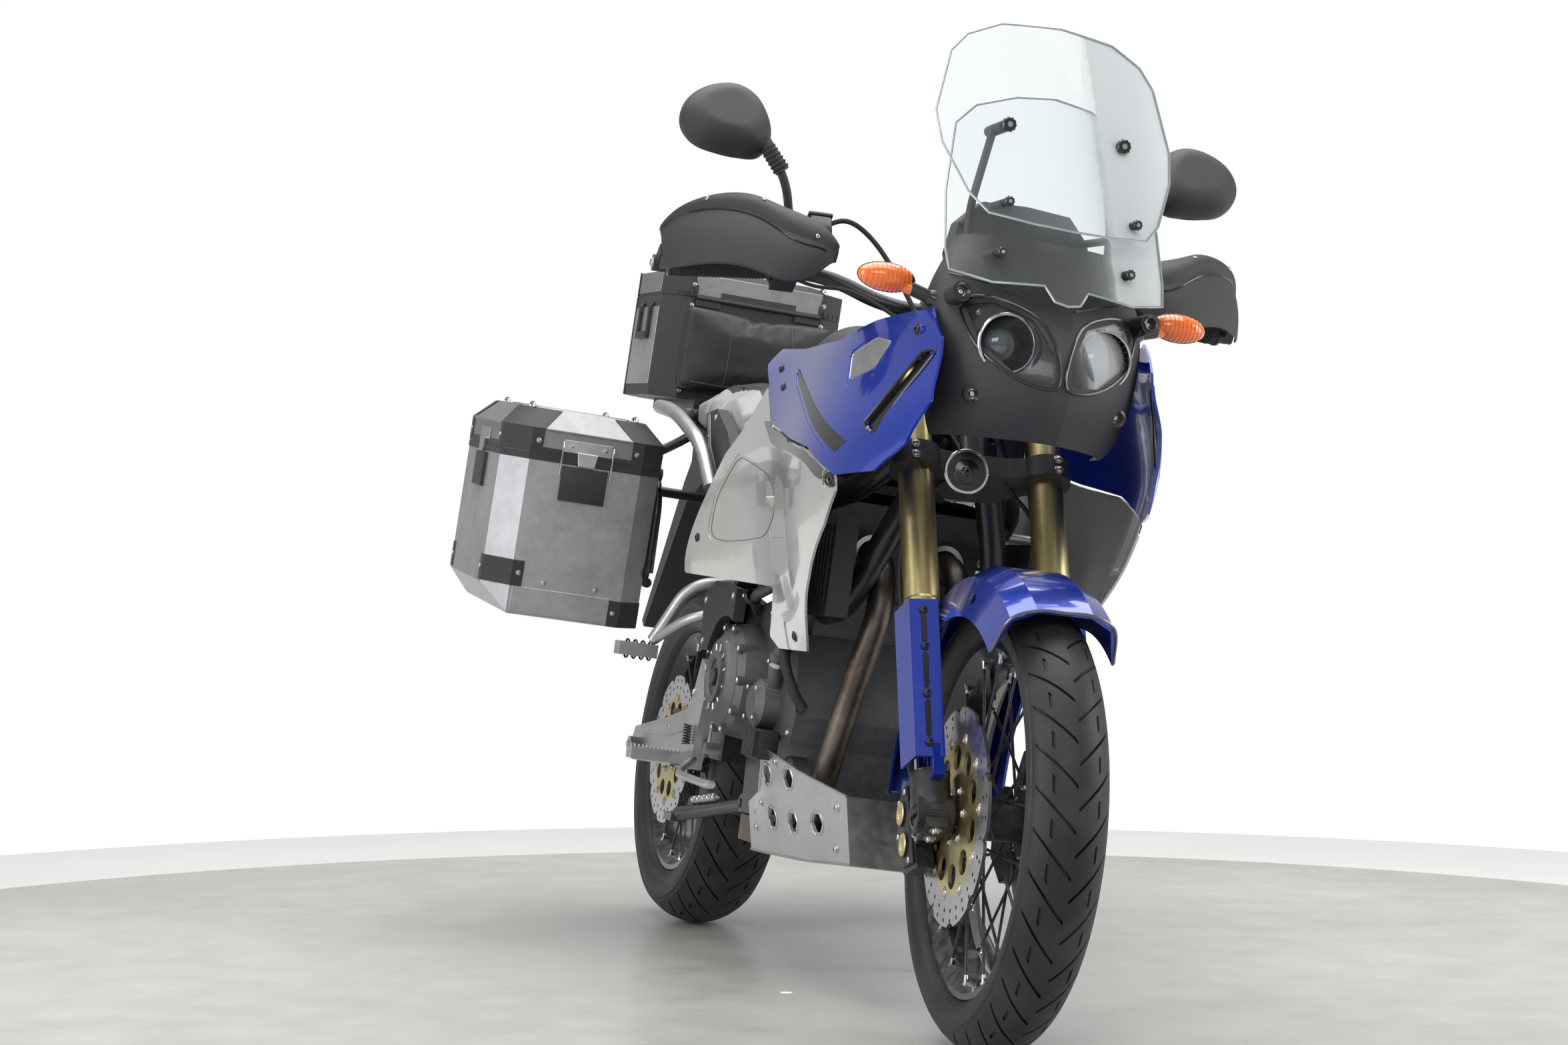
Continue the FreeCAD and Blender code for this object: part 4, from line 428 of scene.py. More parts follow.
class MOTO_OT_finishes(bpy.types.Operator):
    """Make the finishes and put them on the carried-over pieces"""
    bl_idname = "moto.finishes"
    bl_label = "Finishes"

    def execute(self, context):
        colours = context.scene.moto_colours
        body, panel, fork, plastic = (tuple(c) for c in (colours.body, colours.panel, colours.fork,
                                                         colours.plastic))
        make = metal_or_plastic
        make("blue_paint", body, 0.22, metallic=0.55, coat=1.0, mottle=0.08, flecks=0.18, scuffs=0.05,
             dust=0.12)
        make("silver_paint", panel, 0.24, metallic=0.55, coat=0.9, mottle=0.05, flecks=0.25, scuffs=0.05,
             dust=0.12)
        make("gold_anodised", fork, 0.32, metallic=1.0, mottle=0.08, scuffs=0.2, dust=0.1)
        make("gold_carrier", (0.55, 0.47, 0.24), 0.34, metallic=1.0, mottle=0.1, dust=0.15)
        make("hard_chrome", (0.62, 0.62, 0.64), 0.08, metallic=1.0, mottle=0.04, scuffs=0.1, dust=0.08)
        make("disc_steel", (0.46, 0.46, 0.47), 0.28, metallic=1.0, brushed=(300.0, 60.0, 60.0), dust=0.1)
        make("black_rim", (0.02, 0.02, 0.022), 0.3, metallic=0.6, coat=0.4, dust=0.35)
        make("rim_lip", (0.42, 0.42, 0.43), 0.3, metallic=1.0, dust=0.2)
        make("bright_hub", (0.05, 0.05, 0.055), 0.4, metallic=0.8, grain=0.15, dust=0.3)
        make("spoke_steel", (0.3, 0.3, 0.31), 0.28, metallic=1.0, dust=0.3)
        make("black_cast", (0.028, 0.028, 0.031), 0.42, metallic=0.5, grain=0.3, grain_scale=1400.0, dust=0.3)
        make("dark_bar", (0.05, 0.05, 0.052), 0.34, metallic=0.8, grain=0.1)
        make("black_rubber", (0.02, 0.02, 0.02), 0.68, grain=0.35, grain_scale=500.0, specular=0.35)
        make("black_plastic", plastic, 0.46, grain=0.5, grain_scale=1700.0, dust=0.07)
        make("smooth_black", (0.012, 0.012, 0.013), 0.2, coat=0.3, dust=0.2)
        make("black_frame", (0.016, 0.016, 0.018), 0.36, metallic=0.3, coat=0.3, grain=0.15, dust=0.2)
        make("engine_grey", (0.12, 0.122, 0.128), 0.46, metallic=0.75, grain=0.45, grain_scale=1300.0,
             dust=0.4)
        make("engine_dark", (0.045, 0.046, 0.05), 0.5, metallic=0.6, grain=0.4, grain_scale=1300.0, dust=0.4)
        make("bright_plate", (0.52, 0.52, 0.52), 0.36, metallic=1.0, brushed=(25.0, 260.0, 260.0), dust=0.3,
             scuffs=0.6)
        make("bright_bolt", (0.5, 0.5, 0.51), 0.26, metallic=1.0, dust=0.2)
        make("dark_bolt", (0.06, 0.06, 0.065), 0.35, metallic=0.9)
        make("spring_steel", (0.1, 0.1, 0.105), 0.35, metallic=0.8)
        make("case_aluminium", (0.40, 0.405, 0.42), 0.44, metallic=0.85, brushed=(220.0, 220.0, 16.0),
             dust=0.1, scuffs=0.5)
        make("lid_aluminium", (0.27, 0.27, 0.27), 0.46, metallic=0.8, brushed=(220.0, 16.0, 220.0), dust=0.05,
             scuffs=0.4)
        make("satin_silver", (0.42, 0.42, 0.42), 0.38, metallic=0.9, grain=0.1, dust=0.15)
        make("grey_gloss", (0.10, 0.10, 0.105), 0.2, metallic=0.4, coat=0.8, dust=0.1)
        # painted shade: the grey of the beads that stand in for the dark outline refraction draws along the
        # clear screens' edges
        make("painted_outline_grey", (0.42, 0.46, 0.48), 0.12, coat=1.0, dust=0.0, scuffs=0.0)
        make("red_lens", (0.35, 0.006, 0.006), 0.12, coat=1.0)
        make("amber_lens", (0.85, 0.16, 0.005), 0.12, coat=1.0)
        make("mirror_glass", (0.78, 0.8, 0.82), 0.02, metallic=1.0, mottle=0.01, dust=0.0, scuffs=0.02)
        make("reflector", (0.50, 0.50, 0.52), 0.16, metallic=1.0, mottle=0.02, dust=0.0, scuffs=0.0)
        make("lamp_black", (0.02, 0.02, 0.022), 0.25, coat=0.3, dust=0.0)
        make("lamp_lens", (0.10, 0.11, 0.13), 0.03, metallic=0.2, coat=1.0, dust=0.0, scuffs=0.0)
        self.rubber()
        self.pipes()
        self.signals()
        self.vinyl()
        clear_sheet("clear_screen", (0.97, 0.985, 0.99))
        clear_sheet("lamp_glass", (0.95, 0.96, 0.97), gloss=0.45)
        plain = {
            "front_tyre": "tyre_rubber", "rear_tyre": "tyre_rubber",
            "front_rim": "black_rim", "rear_rim": "black_rim",
            "front_hub": "bright_hub", "rear_hub": "bright_hub", "front_discs": "disc_steel",
            "rear_disc": "disc_steel", "fork_outer_tubes": "gold_anodised", "fork_inner_tubes": "hard_chrome",
            "fork_lowers": "black_cast", "front_calipers": "black_cast", "triple_clamps": "black_cast",
            "handlebar": "dark_bar", "hand_controls": "black_rubber", "handguards": "black_plastic",
            "mirrors": "black_plastic", "front_fender": "blue_paint", "side_cowls": "blue_paint",
            "side_panels": "silver_paint", "fuel_tank": "black_plastic", "nose_cowl": "black_plastic",
            "headlamp_lenses": "lamp_glass", "headlamp_bodies": "lamp_black", "windscreens": "clear_screen",
            "dashboard": "black_plastic", "front_signals": "signal_body", "engine": "engine_grey",
            "frame": "black_frame", "exhaust_pipes": "exhaust_steel", "silencer": "satin_silver",
            "skid_plate": "bright_plate", "radiator": "black_plastic", "inner_cover": "black_plastic",
            "swingarm": "satin_silver", "final_drive": "engine_grey", "rear_shock": "spring_steel",
            "rear_caliper": "black_cast", "side_covers": "black_plastic", "footrests": "satin_silver",
            "grab_rails": "satin_silver", "rider_seat": "seat_vinyl", "passenger_seat": "seat_vinyl",
            "rear_fender": "black_plastic", "tail_lamp": "red_lens", "case_racks": "black_frame",
            "pannier_left": "case_aluminium", "pannier_right": "case_aluminium",
            "pannier_lid_left": "lid_aluminium", "pannier_lid_right": "lid_aluminium",
            "top_case": "black_plastic", "top_case_lid": "black_plastic", "backrest": "seat_vinyl",
            "side_stand": "black_frame", "centre_stand": "black_frame",
        }
        for node, finish in plain.items():
            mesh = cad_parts[node].data
            mesh.materials.clear()
            mesh.materials.append(FINISHES[finish])
        return {"FINISHED"}

    def rubber(self):
        """Tyre rubber, greyer where it has rolled, with fine moulding rings on its walls."""
        f = Finish("tyre_rubber")
        point = f.place()
        dusty = f.cloud(point, 12.0, 5.0)
        fine = f.cloud(point, 180.0, 3.0)
        base = f.blend(dusty.step(0.35, 0.75), (0.011, 0.011, 0.012), (0.030, 0.029, 0.028))
        f.set(Base_Color=base, Roughness=(0.52 + (dusty - 0.5) * 0.3 + (fine - 0.5) * 0.1).clamp(),
              Specular_IOR_Level=0.4, Normal=f.bump(fine, 0.0006, 0.5))
        FINISHES["tyre_rubber"] = f.material

    def signals(self):
        """Amber lenses on black stalks, parted by the distance from the nose."""
        f = Finish("signal_body")
        point = f.place()
        lens = f.across(point).step(0.1960, 0.1970)
        fine = f.cloud(point, 60.0)
        f.set(Base_Color=f.blend(lens, (0.016, 0.016, 0.017), (0.80, 0.15, 0.004)), Coat_Weight=lens,
              Roughness=(0.42 - lens * 0.28 + (fine - 0.5) * 0.06).clamp())
        FINISHES["signal_body"] = f.material

    def pipes(self):
        """Header pipes: brown and straw tints over dull steel."""
        f = Finish("exhaust_steel")
        point = f.place()
        tint = f.cloud(point, 6.0, 4.0)
        fine = f.cloud(point, 90.0, 4.0)
        warm = f.blend(tint.step(0.3, 0.7), (0.075, 0.058, 0.045), (0.19, 0.165, 0.14))
        base = f.blend(fine.step(0.5, 0.85) * 0.5, warm, (0.28, 0.26, 0.24))
        f.set(Base_Color=base, Metallic=1.0, Roughness=(0.42 + (fine - 0.5) * 0.25).clamp(),
              Normal=f.bump(fine, 0.0006, 0.3))
        FINISHES["exhaust_steel"] = f.material

    def vinyl(self):
        """Seat cover: a leather grain of small cells over a slight drift of tone."""
        for name, deep, pale, edge in (("seat_vinyl", (0.010, 0.010, 0.011), (0.022, 0.022, 0.023), None),
                                       ("seat_vinyl_grey", (0.035, 0.035, 0.037), (0.055, 0.055, 0.058),
                                        None),
                                       ("seat_two_tone", (0.010, 0.010, 0.011), (0.022, 0.022, 0.023),
                                        0.104)):
            f = Finish(name)
            point = f.place()
            drift = f.cloud(point, 9.0, 4.0)
            grain = f.cells(point, 520.0, "SMOOTH_F1")
            pores = f.cloud(point, 1500.0, 2.0)
            tone = f.blend(drift.step(0.3, 0.7), deep, pale)
            if edge:
                tone = f.blend(f.across(point).step(edge, edge + 0.002), tone,
                               f.blend(drift, (0.25, 0.25, 0.255), (0.34, 0.34, 0.345)))
            f.set(Base_Color=tone, Roughness=(0.50 + (drift - 0.5) * 0.2 + grain * 0.12).clamp(),
                  Specular_IOR_Level=0.45, Normal=f.bump(grain * 0.8 + pores * 0.2, 0.0009, 0.45))
            FINISHES[name] = f.material


class MOTO_OT_stage(bpy.types.Operator):
    """Pale round floor, a band and a white surround, soft light and the camera"""
    bl_idname = "moto.stage"
    bl_label = "Stage"

    def execute(self, context):
        sizes = context.scene.moto_stage
        scene = context.scene
        scene.view_settings.view_transform = "Standard"
        self.floor(sizes)
        self.light(sizes)
        camera = bpy.data.cameras.new("photo_camera")
        camera.lens = sizes.lens
        camera.sensor_width = 36.0
        camera.clip_end = 60.0
        holder = bpy.data.objects.new("photo_camera", camera)
        scene.collection.objects.link(holder)
        turn = (Matrix.Rotation(math.radians(-16.8687), 4, "Z") @ Matrix.Rotation(math.radians(90.4855), 4,
                                                                                  "X")
                @ Matrix.Rotation(math.radians(-0.1201), 4, "Z"))
        holder.matrix_world = Matrix.Translation((-1.55266, -4.67851, 0.71469)) @ turn
        scene.camera = holder
        return {"FINISHED"}

    def floor(self, sizes):
        """A worn pale disc, a plain band round it and a white surround."""
        f = Finish("studio_floor")
        point = f.place()
        broad = f.cloud(point, 0.9, 5.0)
        fine = f.cloud(point, 9.0, 5.0)
        base = f.blend((broad * 0.7 + fine * 0.3).step(0.3, 0.7), (0.43, 0.42, 0.40), (0.54, 0.53, 0.51))
        f.set(Base_Color=base, Roughness=(0.30 + (fine - 0.5) * 0.25).clamp(), Specular_IOR_Level=0.45)
        band = Finish("studio_band")
        band.set(Base_Color=band.blend(band.cloud(band.place(), 3.0), (0.62, 0.615, 0.60),
                                       (0.67, 0.665, 0.65)),
                 Roughness=0.7)
        edge = sizes.floor_radius
        for name, material, inner, outer in (("studio_floor", f.material, 0.01, edge),
                                             ("studio_band", band.material, edge, edge + sizes.band_width),
                                             ("studio_surround", self.white().material,
                                              edge + sizes.band_width, 30.0)):
            bm = bmesh.new()
            rings = []
            for radius in (inner, outer):
                rings.append([(radius * math.cos(a) - 0.187, radius * math.sin(a) - 0.182, 0.0)
                              for a in (2 * math.pi * k / 180 for k in range(180))])
            loft(bm, rings, True, False)
            self.add(bm, name, material)

    def white(self):
        """White as the camera, a reflection or a clear sheet sees it, and pale to every other ray."""
        g = Finish("studio_white")
        ray = g.node("ShaderNodeLightPath")
        outs = ray.socket.node.outputs
        shown = (Val(g, outs["Is Camera Ray"]) + Val(g, outs["Is Glossy Ray"])
                 + Val(g, outs["Is Transmission Ray"])).clamp()
        glow = g.node("ShaderNodeEmission", None, {"Color": (1.0, 1.0, 1.0), "Strength": 1.0})
        g.set(Base_Color=(0.8, 0.8, 0.8), Roughness=0.8)
        g.put(g.output.inputs["Surface"],
              g.node("ShaderNodeMixShader", None, {0: shown, 1: Val(g, g.shader.outputs[0]), 2: glow}))
        return g

    def add(self, bm, name, material):
        mesh = bpy.data.meshes.new(name)
        bm.to_mesh(mesh)
        bm.free()
        mesh.shade_smooth()
        mesh.set_sharp_from_angle(angle=0.5)
        mesh.materials.append(material)
        obj = bpy.data.objects.new(name, mesh)
        bpy.context.scene.collection.objects.link(obj)

    def light(self, sizes):
        """A large light overhead, two tall ones at the sides and an even world."""
        world = bpy.data.worlds.new("studio_world")
        bpy.context.scene.world = world
        world.use_nodes = True
        tree = world.node_tree
        shade = tree.nodes["Background"]
        shade.inputs[0].default_value = (1.0, 1.0, 1.0, 1.0)
        shade.inputs[1].default_value = 0.45
        plain = tree.nodes.new("ShaderNodeBackground")
        plain.inputs[0].default_value = (1.0, 1.0, 1.0, 1.0)
        ray = tree.nodes.new("ShaderNodeLightPath")
        total = tree.nodes.new("ShaderNodeMath")
        total.operation = "MAXIMUM"
        tree.links.new(ray.outputs["Is Camera Ray"], total.inputs[0])
        tree.links.new(ray.outputs["Is Transmission Ray"], total.inputs[1])
        mix = tree.nodes.new("ShaderNodeMixShader")
        tree.links.new(total.outputs[0], mix.inputs[0])
        tree.links.new(shade.outputs[0], mix.inputs[1])
        tree.links.new(plain.outputs[0], mix.inputs[2])
        tree.links.new(mix.outputs[0], tree.nodes["World Output"].inputs[0])
        for name, power, size, at, aim in (
                ("overhead", sizes.key_power, (4.5, 4.5), (0.0, 0.3, 4.2), (0.0, 0.2, 0.5)),
                ("left_bank", 60.0, (1.4, 2.6), (-3.6, -1.2, 1.7), (0.0, -0.2, 0.7)),
                ("right_bank", 60.0, (1.4, 2.6), (3.4, -1.6, 1.7), (0.0, -0.2, 0.7)),
                ("front_bank", 34.0, (2.4, 1.2), (-0.9, -4.1, 2.6), (0.0, -0.4, 0.7))):
            lamp = bpy.data.lights.new(name, "AREA")
            lamp.shape = "RECTANGLE"
            lamp.size, lamp.size_y = size
            lamp.energy = power
            holder = bpy.data.objects.new(name, lamp)
            bpy.context.scene.collection.objects.link(holder)
            holder.location = at
            holder.rotation_euler = (Vector(aim) - Vector(at)).to_track_quat("-Z", "Y").to_euler()


class MOTO_OT_tyres(bpy.types.Operator):
    """Both tyres with angled tread grooves and ribbed walls"""
    bl_idname = "moto.tyres"
    bl_label = "Tyres"

    def execute(self, context):
        sizes = context.scene.moto_tyres
        for node, where, body, radius, half, lip, rim_half in (
                ("front_tyre", "front_axle", "front_wheel", FRONT_RADIUS, 57.0, FRONT_LIP, FRONT_RIM_HALF),
                ("rear_tyre", "rear_axle", "rear_wheel", REAR_RADIUS, 75.0, REAR_LIP, REAR_RIM_HALF)):
            bm = self.tyre(sizes, radius, half, lip, rim_half)
            tyre = piece(node + "_tread", to_mesh(bm, node, 40.0), body, "tyre_rubber", where)
            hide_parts(node)
        return {"FINISHED"}

    def tyre(self, sizes, radius, half, lip, rim_half):
        """Crown lines that follow the grooves, then the walls down to the beads."""
        sag = 0.085 * radius + 3.5
        crown = ((half - 5.0) ** 2 + sag * sag) / (2 * sag)
        reach = crown * math.asin((half - 5.0) / crown)
        turns = round(2 * math.pi * radius / sizes.pitch)
        pitch = 2 * math.pi * radius / turns
        marks = sorted({(c + d) % pitch for c in (0.0, pitch / 2)
                        for d in (-12.0, -11.2, -2.9, -2.0, 2.0, 2.9, 11.2, 12.0)})
        across = [-reach, -reach + 2, -reach + 5, -reach * 0.85, -reach * 0.7, -reach * 0.56, -reach * 0.55,
                  -reach * 0.5, -reach * 0.49, -reach * 0.35, -reach * 0.18, -3.2, -2.4, -0.8]
        across = across + [0.0] + [-s for s in reversed(across)]
        bm = bmesh.new()
        rows = []
        for turn in range(turns):
            for mark in marks:
                row = []
                for s in across:
                    depth = self.groove(s, mark, pitch, reach) * sizes.depth
                    along = turn * pitch + mark - sizes.slope * abs(s)
                    row.append(self.at(s, along, radius, crown, depth))
                along = turn * pitch + mark - sizes.slope * reach
                row = (self.wall(radius, half, lip, rim_half, along=along, sag=sag, side=-1) + row
                       + self.wall(radius, half, lip, rim_half, along=along, sag=sag, side=1))
                rows.append([bm.verts.new(p) for p in row])
        for a, b in zip(rows, rows[1:] + rows[:1]):
            for i in range(len(a) - 1):
                bm.faces.new((a[i], a[i + 1], b[i + 1], b[i]))
            bm.faces.new((a[-1], a[0], b[0], b[-1]))
        return bm

    def groove(self, s, mark, pitch, reach):
        """How deep the tread is cut at a point, from 0 to 1."""
        centre = 0.0 if s >= 0 else pitch / 2
        off = abs((mark - centre + pitch / 2) % pitch - pitch / 2)
        side = abs(s)
        if 0.9 < side < reach - 3 and off < 2.5:
            return 1.0 if side < reach * 0.8 else 0.6
        opposite = abs((mark - centre) % pitch - pitch / 2)
        if reach * 0.495 < side < reach * 0.555 and opposite < 11.5:
            return 0.6
        return 0.0

    def at(self, s, along, radius, crown, depth):
        angle = s / crown
        r = radius - crown + (crown - depth) * math.cos(angle)
        turn = along / radius
        return ((crown - depth) * math.sin(angle), r * math.cos(turn), r * math.sin(turn))

    def wall(self, radius, half, lip, rim_half, along, sag, side):
        """From the shoulder over the widest point to the bead, with two raised rings."""
        shoulder = radius - sag
        low = lip + 3.0
        points = []
        mid = (lip + shoulder) / 2
        for t, proud in ((0.06, 0.0), (0.12, 0.0), (0.14, 0.9), (0.17, 0.9), (0.19, 0.0), (0.35, 0.0),
                         (0.5, 0.0),
                         (0.66, 0.0), (0.8, 0.0), (0.82, 0.8), (0.88, 0.8), (0.9, 0.0), (1.0, 0.0)):
            r = shoulder + (low - shoulder) * t
            bulge = 1 - ((r - mid) / (shoulder - mid)) ** 2
            line = (half - 5.0) * (1 - t) + (rim_half + 2.0) * t
            x = line + bulge * (half - ((half - 5.0) + (rim_half + 2.0)) / 2) + proud - 0.9
            points.append((x, r))
        points += [(rim_half - 6.3, lip + 0.6), (rim_half - 6.3, lip - 11.0)]
        turn = along / radius
        row = [(side * x, r * math.cos(turn), r * math.sin(turn)) for x, r in points]
        return row[::-1] if side < 0 else row


def surface(node, start, direction, where="bike"):
    """Where a line from a point first meets a CAD piece, or another object, and its normal there."""
    obj = node if isinstance(node, bpy.types.Object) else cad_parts[node]
    to_obj = obj.matrix_world.inverted() @ FRAMES[where]
    back = to_obj.inverted()
    hit, place, normal, _ = obj.ray_cast(to_obj @ (Vector(start) * MM), to_obj.to_3x3() @ Vector(direction))
    if not hit:
        return None, None
    return (back @ place) / MM, (back.to_3x3() @ normal).normalized()


def laid(points, node, direction, start, proud=0.5, where="bike", steps=6, loop=False):
    """A smooth line through points, laid on a CAD piece along a direction."""
    ahead = Vector(direction).normalized()
    out = []
    for p in curve_points(points, steps, loop):
        base = p - ahead * (p - Vector(start)).dot(ahead)
        place, _ = surface(node, base, ahead, where)
        if place is not None:
            out.append(place - ahead * proud)
    return out


def cord_line(bm, line, radius, sides=8, loop=False):
    """A round bead along a list of points."""
    pts = [Vector(p) for p in line]
    if loop:
        pts = pts + [pts[0]]
    _, u, _ = basis(pts[1] - pts[0])
    rings = []
    for i, p in enumerate(pts):
        ahead = (pts[min(i + 1, len(pts) - 1)] - pts[max(i - 1, 0)]).normalized()
        u = (u - ahead * u.dot(ahead)).normalized()
        v = ahead.cross(u)
        rings.append([p + (u * math.cos(a) + v * math.sin(a)) * radius
                      for a in (2 * math.pi * k / sides for k in range(sides))])
    loft(bm, rings)


def circle(x, y, z, radius, count, turn=0.0):
    """Points round a circle in a plane that faces the bike's side."""
    return [Vector((x, y + radius * math.cos(a), z + radius * math.sin(a)))
            for a in (2 * math.pi * (k + turn) / count for k in range(count))]


def helix(bm, start, end, radius, wire, turns, sides=10, steps=20):
    """A coil spring between two points."""
    a, b = Vector(start), Vector(end)
    _, u, v = basis(b - a)
    line = []
    total = int(turns * steps)
    for i in range(total + 1):
        angle = 2 * math.pi * i / steps
        line.append(a + (b - a) * (i / total) + (u * math.cos(angle) + v * math.sin(angle)) * radius)
    cord_line(bm, line, wire, sides)


class WheelSizes(bpy.types.PropertyGroup):
    """Wheels"""
    bobbins: IntProperty(name="Bobbins", description="Floating bobbins on each disc", default=10, min=4,
                         max=20)
    bobbin_ring: FloatProperty(name="Bobbin ring",
                               description="Radius of the ring of bobbins, in millimetres",
                               default=110.0, min=60.0, max=140.0)
    nipple: FloatProperty(name="Nipple", description="Spoke nipple radius in millimetres", default=4.0,
                          min=2.0, max=8.0)


class MOTO_OT_wheels(bpy.types.Operator):
    """Nipples, valves, hub bolts, disc carriers and bobbins"""
    bl_idname = "moto.wheels"
    bl_label = "Wheels"

    def execute(self, context):
        sizes = context.scene.moto_wheels
        self.disc_finish("front_disc_steel", "front_discs", "front_axle", sizes.bobbin_ring)
        self.disc_finish("rear_disc_steel", "rear_disc", "rear_axle", sizes.bobbin_ring - 10.0)
        self.spokes(sizes, "front", FRONT_LIP, FRONT_RIM_HALF, SPOKES)
        self.spokes(sizes, "rear", REAR_LIP, REAR_RIM_HALF, SPOKES)
        bolts, cores, rings = meshes(3)
        for side in (-1, 1):
            self.bobbins(cores, rings, side * 68.5, side, sizes.bobbins, sizes.bobbin_ring)
            for k in range(6):
                angle = math.pi * k / 3 + 0.3
                bolt(bolts, (side * 68.5, 38 * math.cos(angle), 38 * math.sin(angle)), (side, 0, 0), 5.0, 4.0)
        pieces("front_wheel", "front_axle",
               ("front_bobbin_cores", cores, "gold_carrier", "disc_steel"),
               ("front_bobbin_rings", rings, "bright_bolt", "disc_steel"),
               ("front_hub_bolts", bolts, "bright_bolt", "bright_hub"))
        bolts, cores, rings = meshes(3)
        self.bobbins(cores, rings, -81.5, -1, sizes.bobbins, sizes.bobbin_ring - 10.0)
        for k in range(5):
            angle = 2 * math.pi * k / 5 + 0.2
            bolt(bolts, (-81.5, 44 * math.cos(angle), 44 * math.sin(angle)), (-1, 0, 0), 6.0, 5.0)
        pieces("rear_wheel", "rear_axle",
               ("rear_bobbin_cores", cores, "gold_carrier", "disc_steel"),
               ("rear_bobbin_rings", rings, "bright_bolt", "disc_steel"),
               ("rear_hub_bolts", bolts, "bright_bolt", "bright_hub"))
        return {"FINISHED"}

    def bobbins(self, cores, rings, x, side, count, ring):
        for k in range(count):
            angle = 2 * math.pi * (k + 0.5) / count
            at = (x, ring * math.cos(angle), ring * math.sin(angle))
            turned(cores, [(-0.5, 6.4), (1.6, 6.4), (2.2, 5.6), (2.2, 3.0), (1.0, 2.6)], at, (side, 0, 0), 18)
            turned(rings, [(-0.5, 9.4), (0.7, 9.4), (1.2, 8.8), (1.2, 6.5), (-0.5, 6.5)], at, (side, 0, 0),
                   20, False)

    def spokes(self, sizes, end, lip, half, count):
        """Nipple sleeves at each spoke's outer end, and a valve."""
        nipples = bmesh.new()
        reach = lip - 17.0
        flange = 48.0 if end == "front" else 58.0
        flange_x = 36.0 if end == "front" else 44.0
        for index in range(count):
            side = 1 if index % 2 else -1
            lean = 1 if (index // 2) % 2 else -1
            angle = 2 * math.pi * index / count
            foot = angle + lean * math.radians(38)
            root = Vector((side * (flange_x - 1), flange * math.cos(foot), flange * math.sin(foot)))
            tip = Vector((side * (half - 13.0), reach * math.cos(angle), reach * math.sin(angle)))
            back = (root - tip).normalized()
            turned(nipples, [(-6, 2.6), (0, sizes.nipple + 0.8), (4, sizes.nipple + 0.8),
                             (4.6, sizes.nipple - 0.6), (15, sizes.nipple - 1.0), (16, 2.4)], tip, back, 10)
            turned(nipples, [(-3, 3.6), (0, 4.2), (4, 4.2), (6, 2.4)], root, -back, 10)
        piece(end + "_nipples", nipples, end + "_wheel", "bright_bolt", end + "_axle")
        valve = bmesh.new()
        turned(valve, [(-4, 5.0), (2, 5.0), (4, 3.6), (26, 3.2), (27, 4.0), (36, 4.0), (38, 3.0)],
               (0, 0, reach - 8), (0, 0, -1), 14)
        piece(end + "_valve", valve, end + "_wheel", "black_rubber", end + "_axle")

    def disc_finish(self, name, node, where, edge):
        """Steel outside a gold carrier, told apart by the distance from the axle."""
        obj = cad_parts[node]
        centre = obj.matrix_world.inverted() @ FRAMES[where].translation
        axis = (obj.matrix_world.inverted().to_3x3() @ FRAMES[where].to_3x3()) @ Vector((1, 0, 0))
        f = Finish(name)
        arm = f.node("ShaderNodeVectorMath", {"operation": "SUBTRACT"}, {0: f.place(), 1: tuple(centre)})
        out = f.node("ShaderNodeVectorMath", {"operation": "CROSS_PRODUCT"}, {0: arm, 1: tuple(axis)})
        radius = f.node("ShaderNodeVectorMath", {"operation": "LENGTH"}, {0: out}, out=1)
        outer = radius.step((edge - 1.0) * MM, (edge + 1.0) * MM)
        swept = (radius * 5200.0).wave() * 0.5 + 0.5
        haze = f.cloud(f.place(), 30.0, 4.0)
        steel = f.blend(swept * 0.5 + haze * 0.4, (0.38, 0.38, 0.39), (0.56, 0.56, 0.57))
        gold = f.blend(haze.step(0.3, 0.7), (0.46, 0.38, 0.17), (0.60, 0.51, 0.27))
        f.set(Base_Color=f.blend(outer, gold, steel), Metallic=1.0,
              Roughness=(0.36 - outer * 0.1 + (haze - 0.5) * 0.1).clamp(),
              Normal=f.bump(swept * outer, 0.0002, 0.3))
        FINISHES[name] = f.material
        obj.data.materials.clear()
        obj.data.materials.append(f.material)


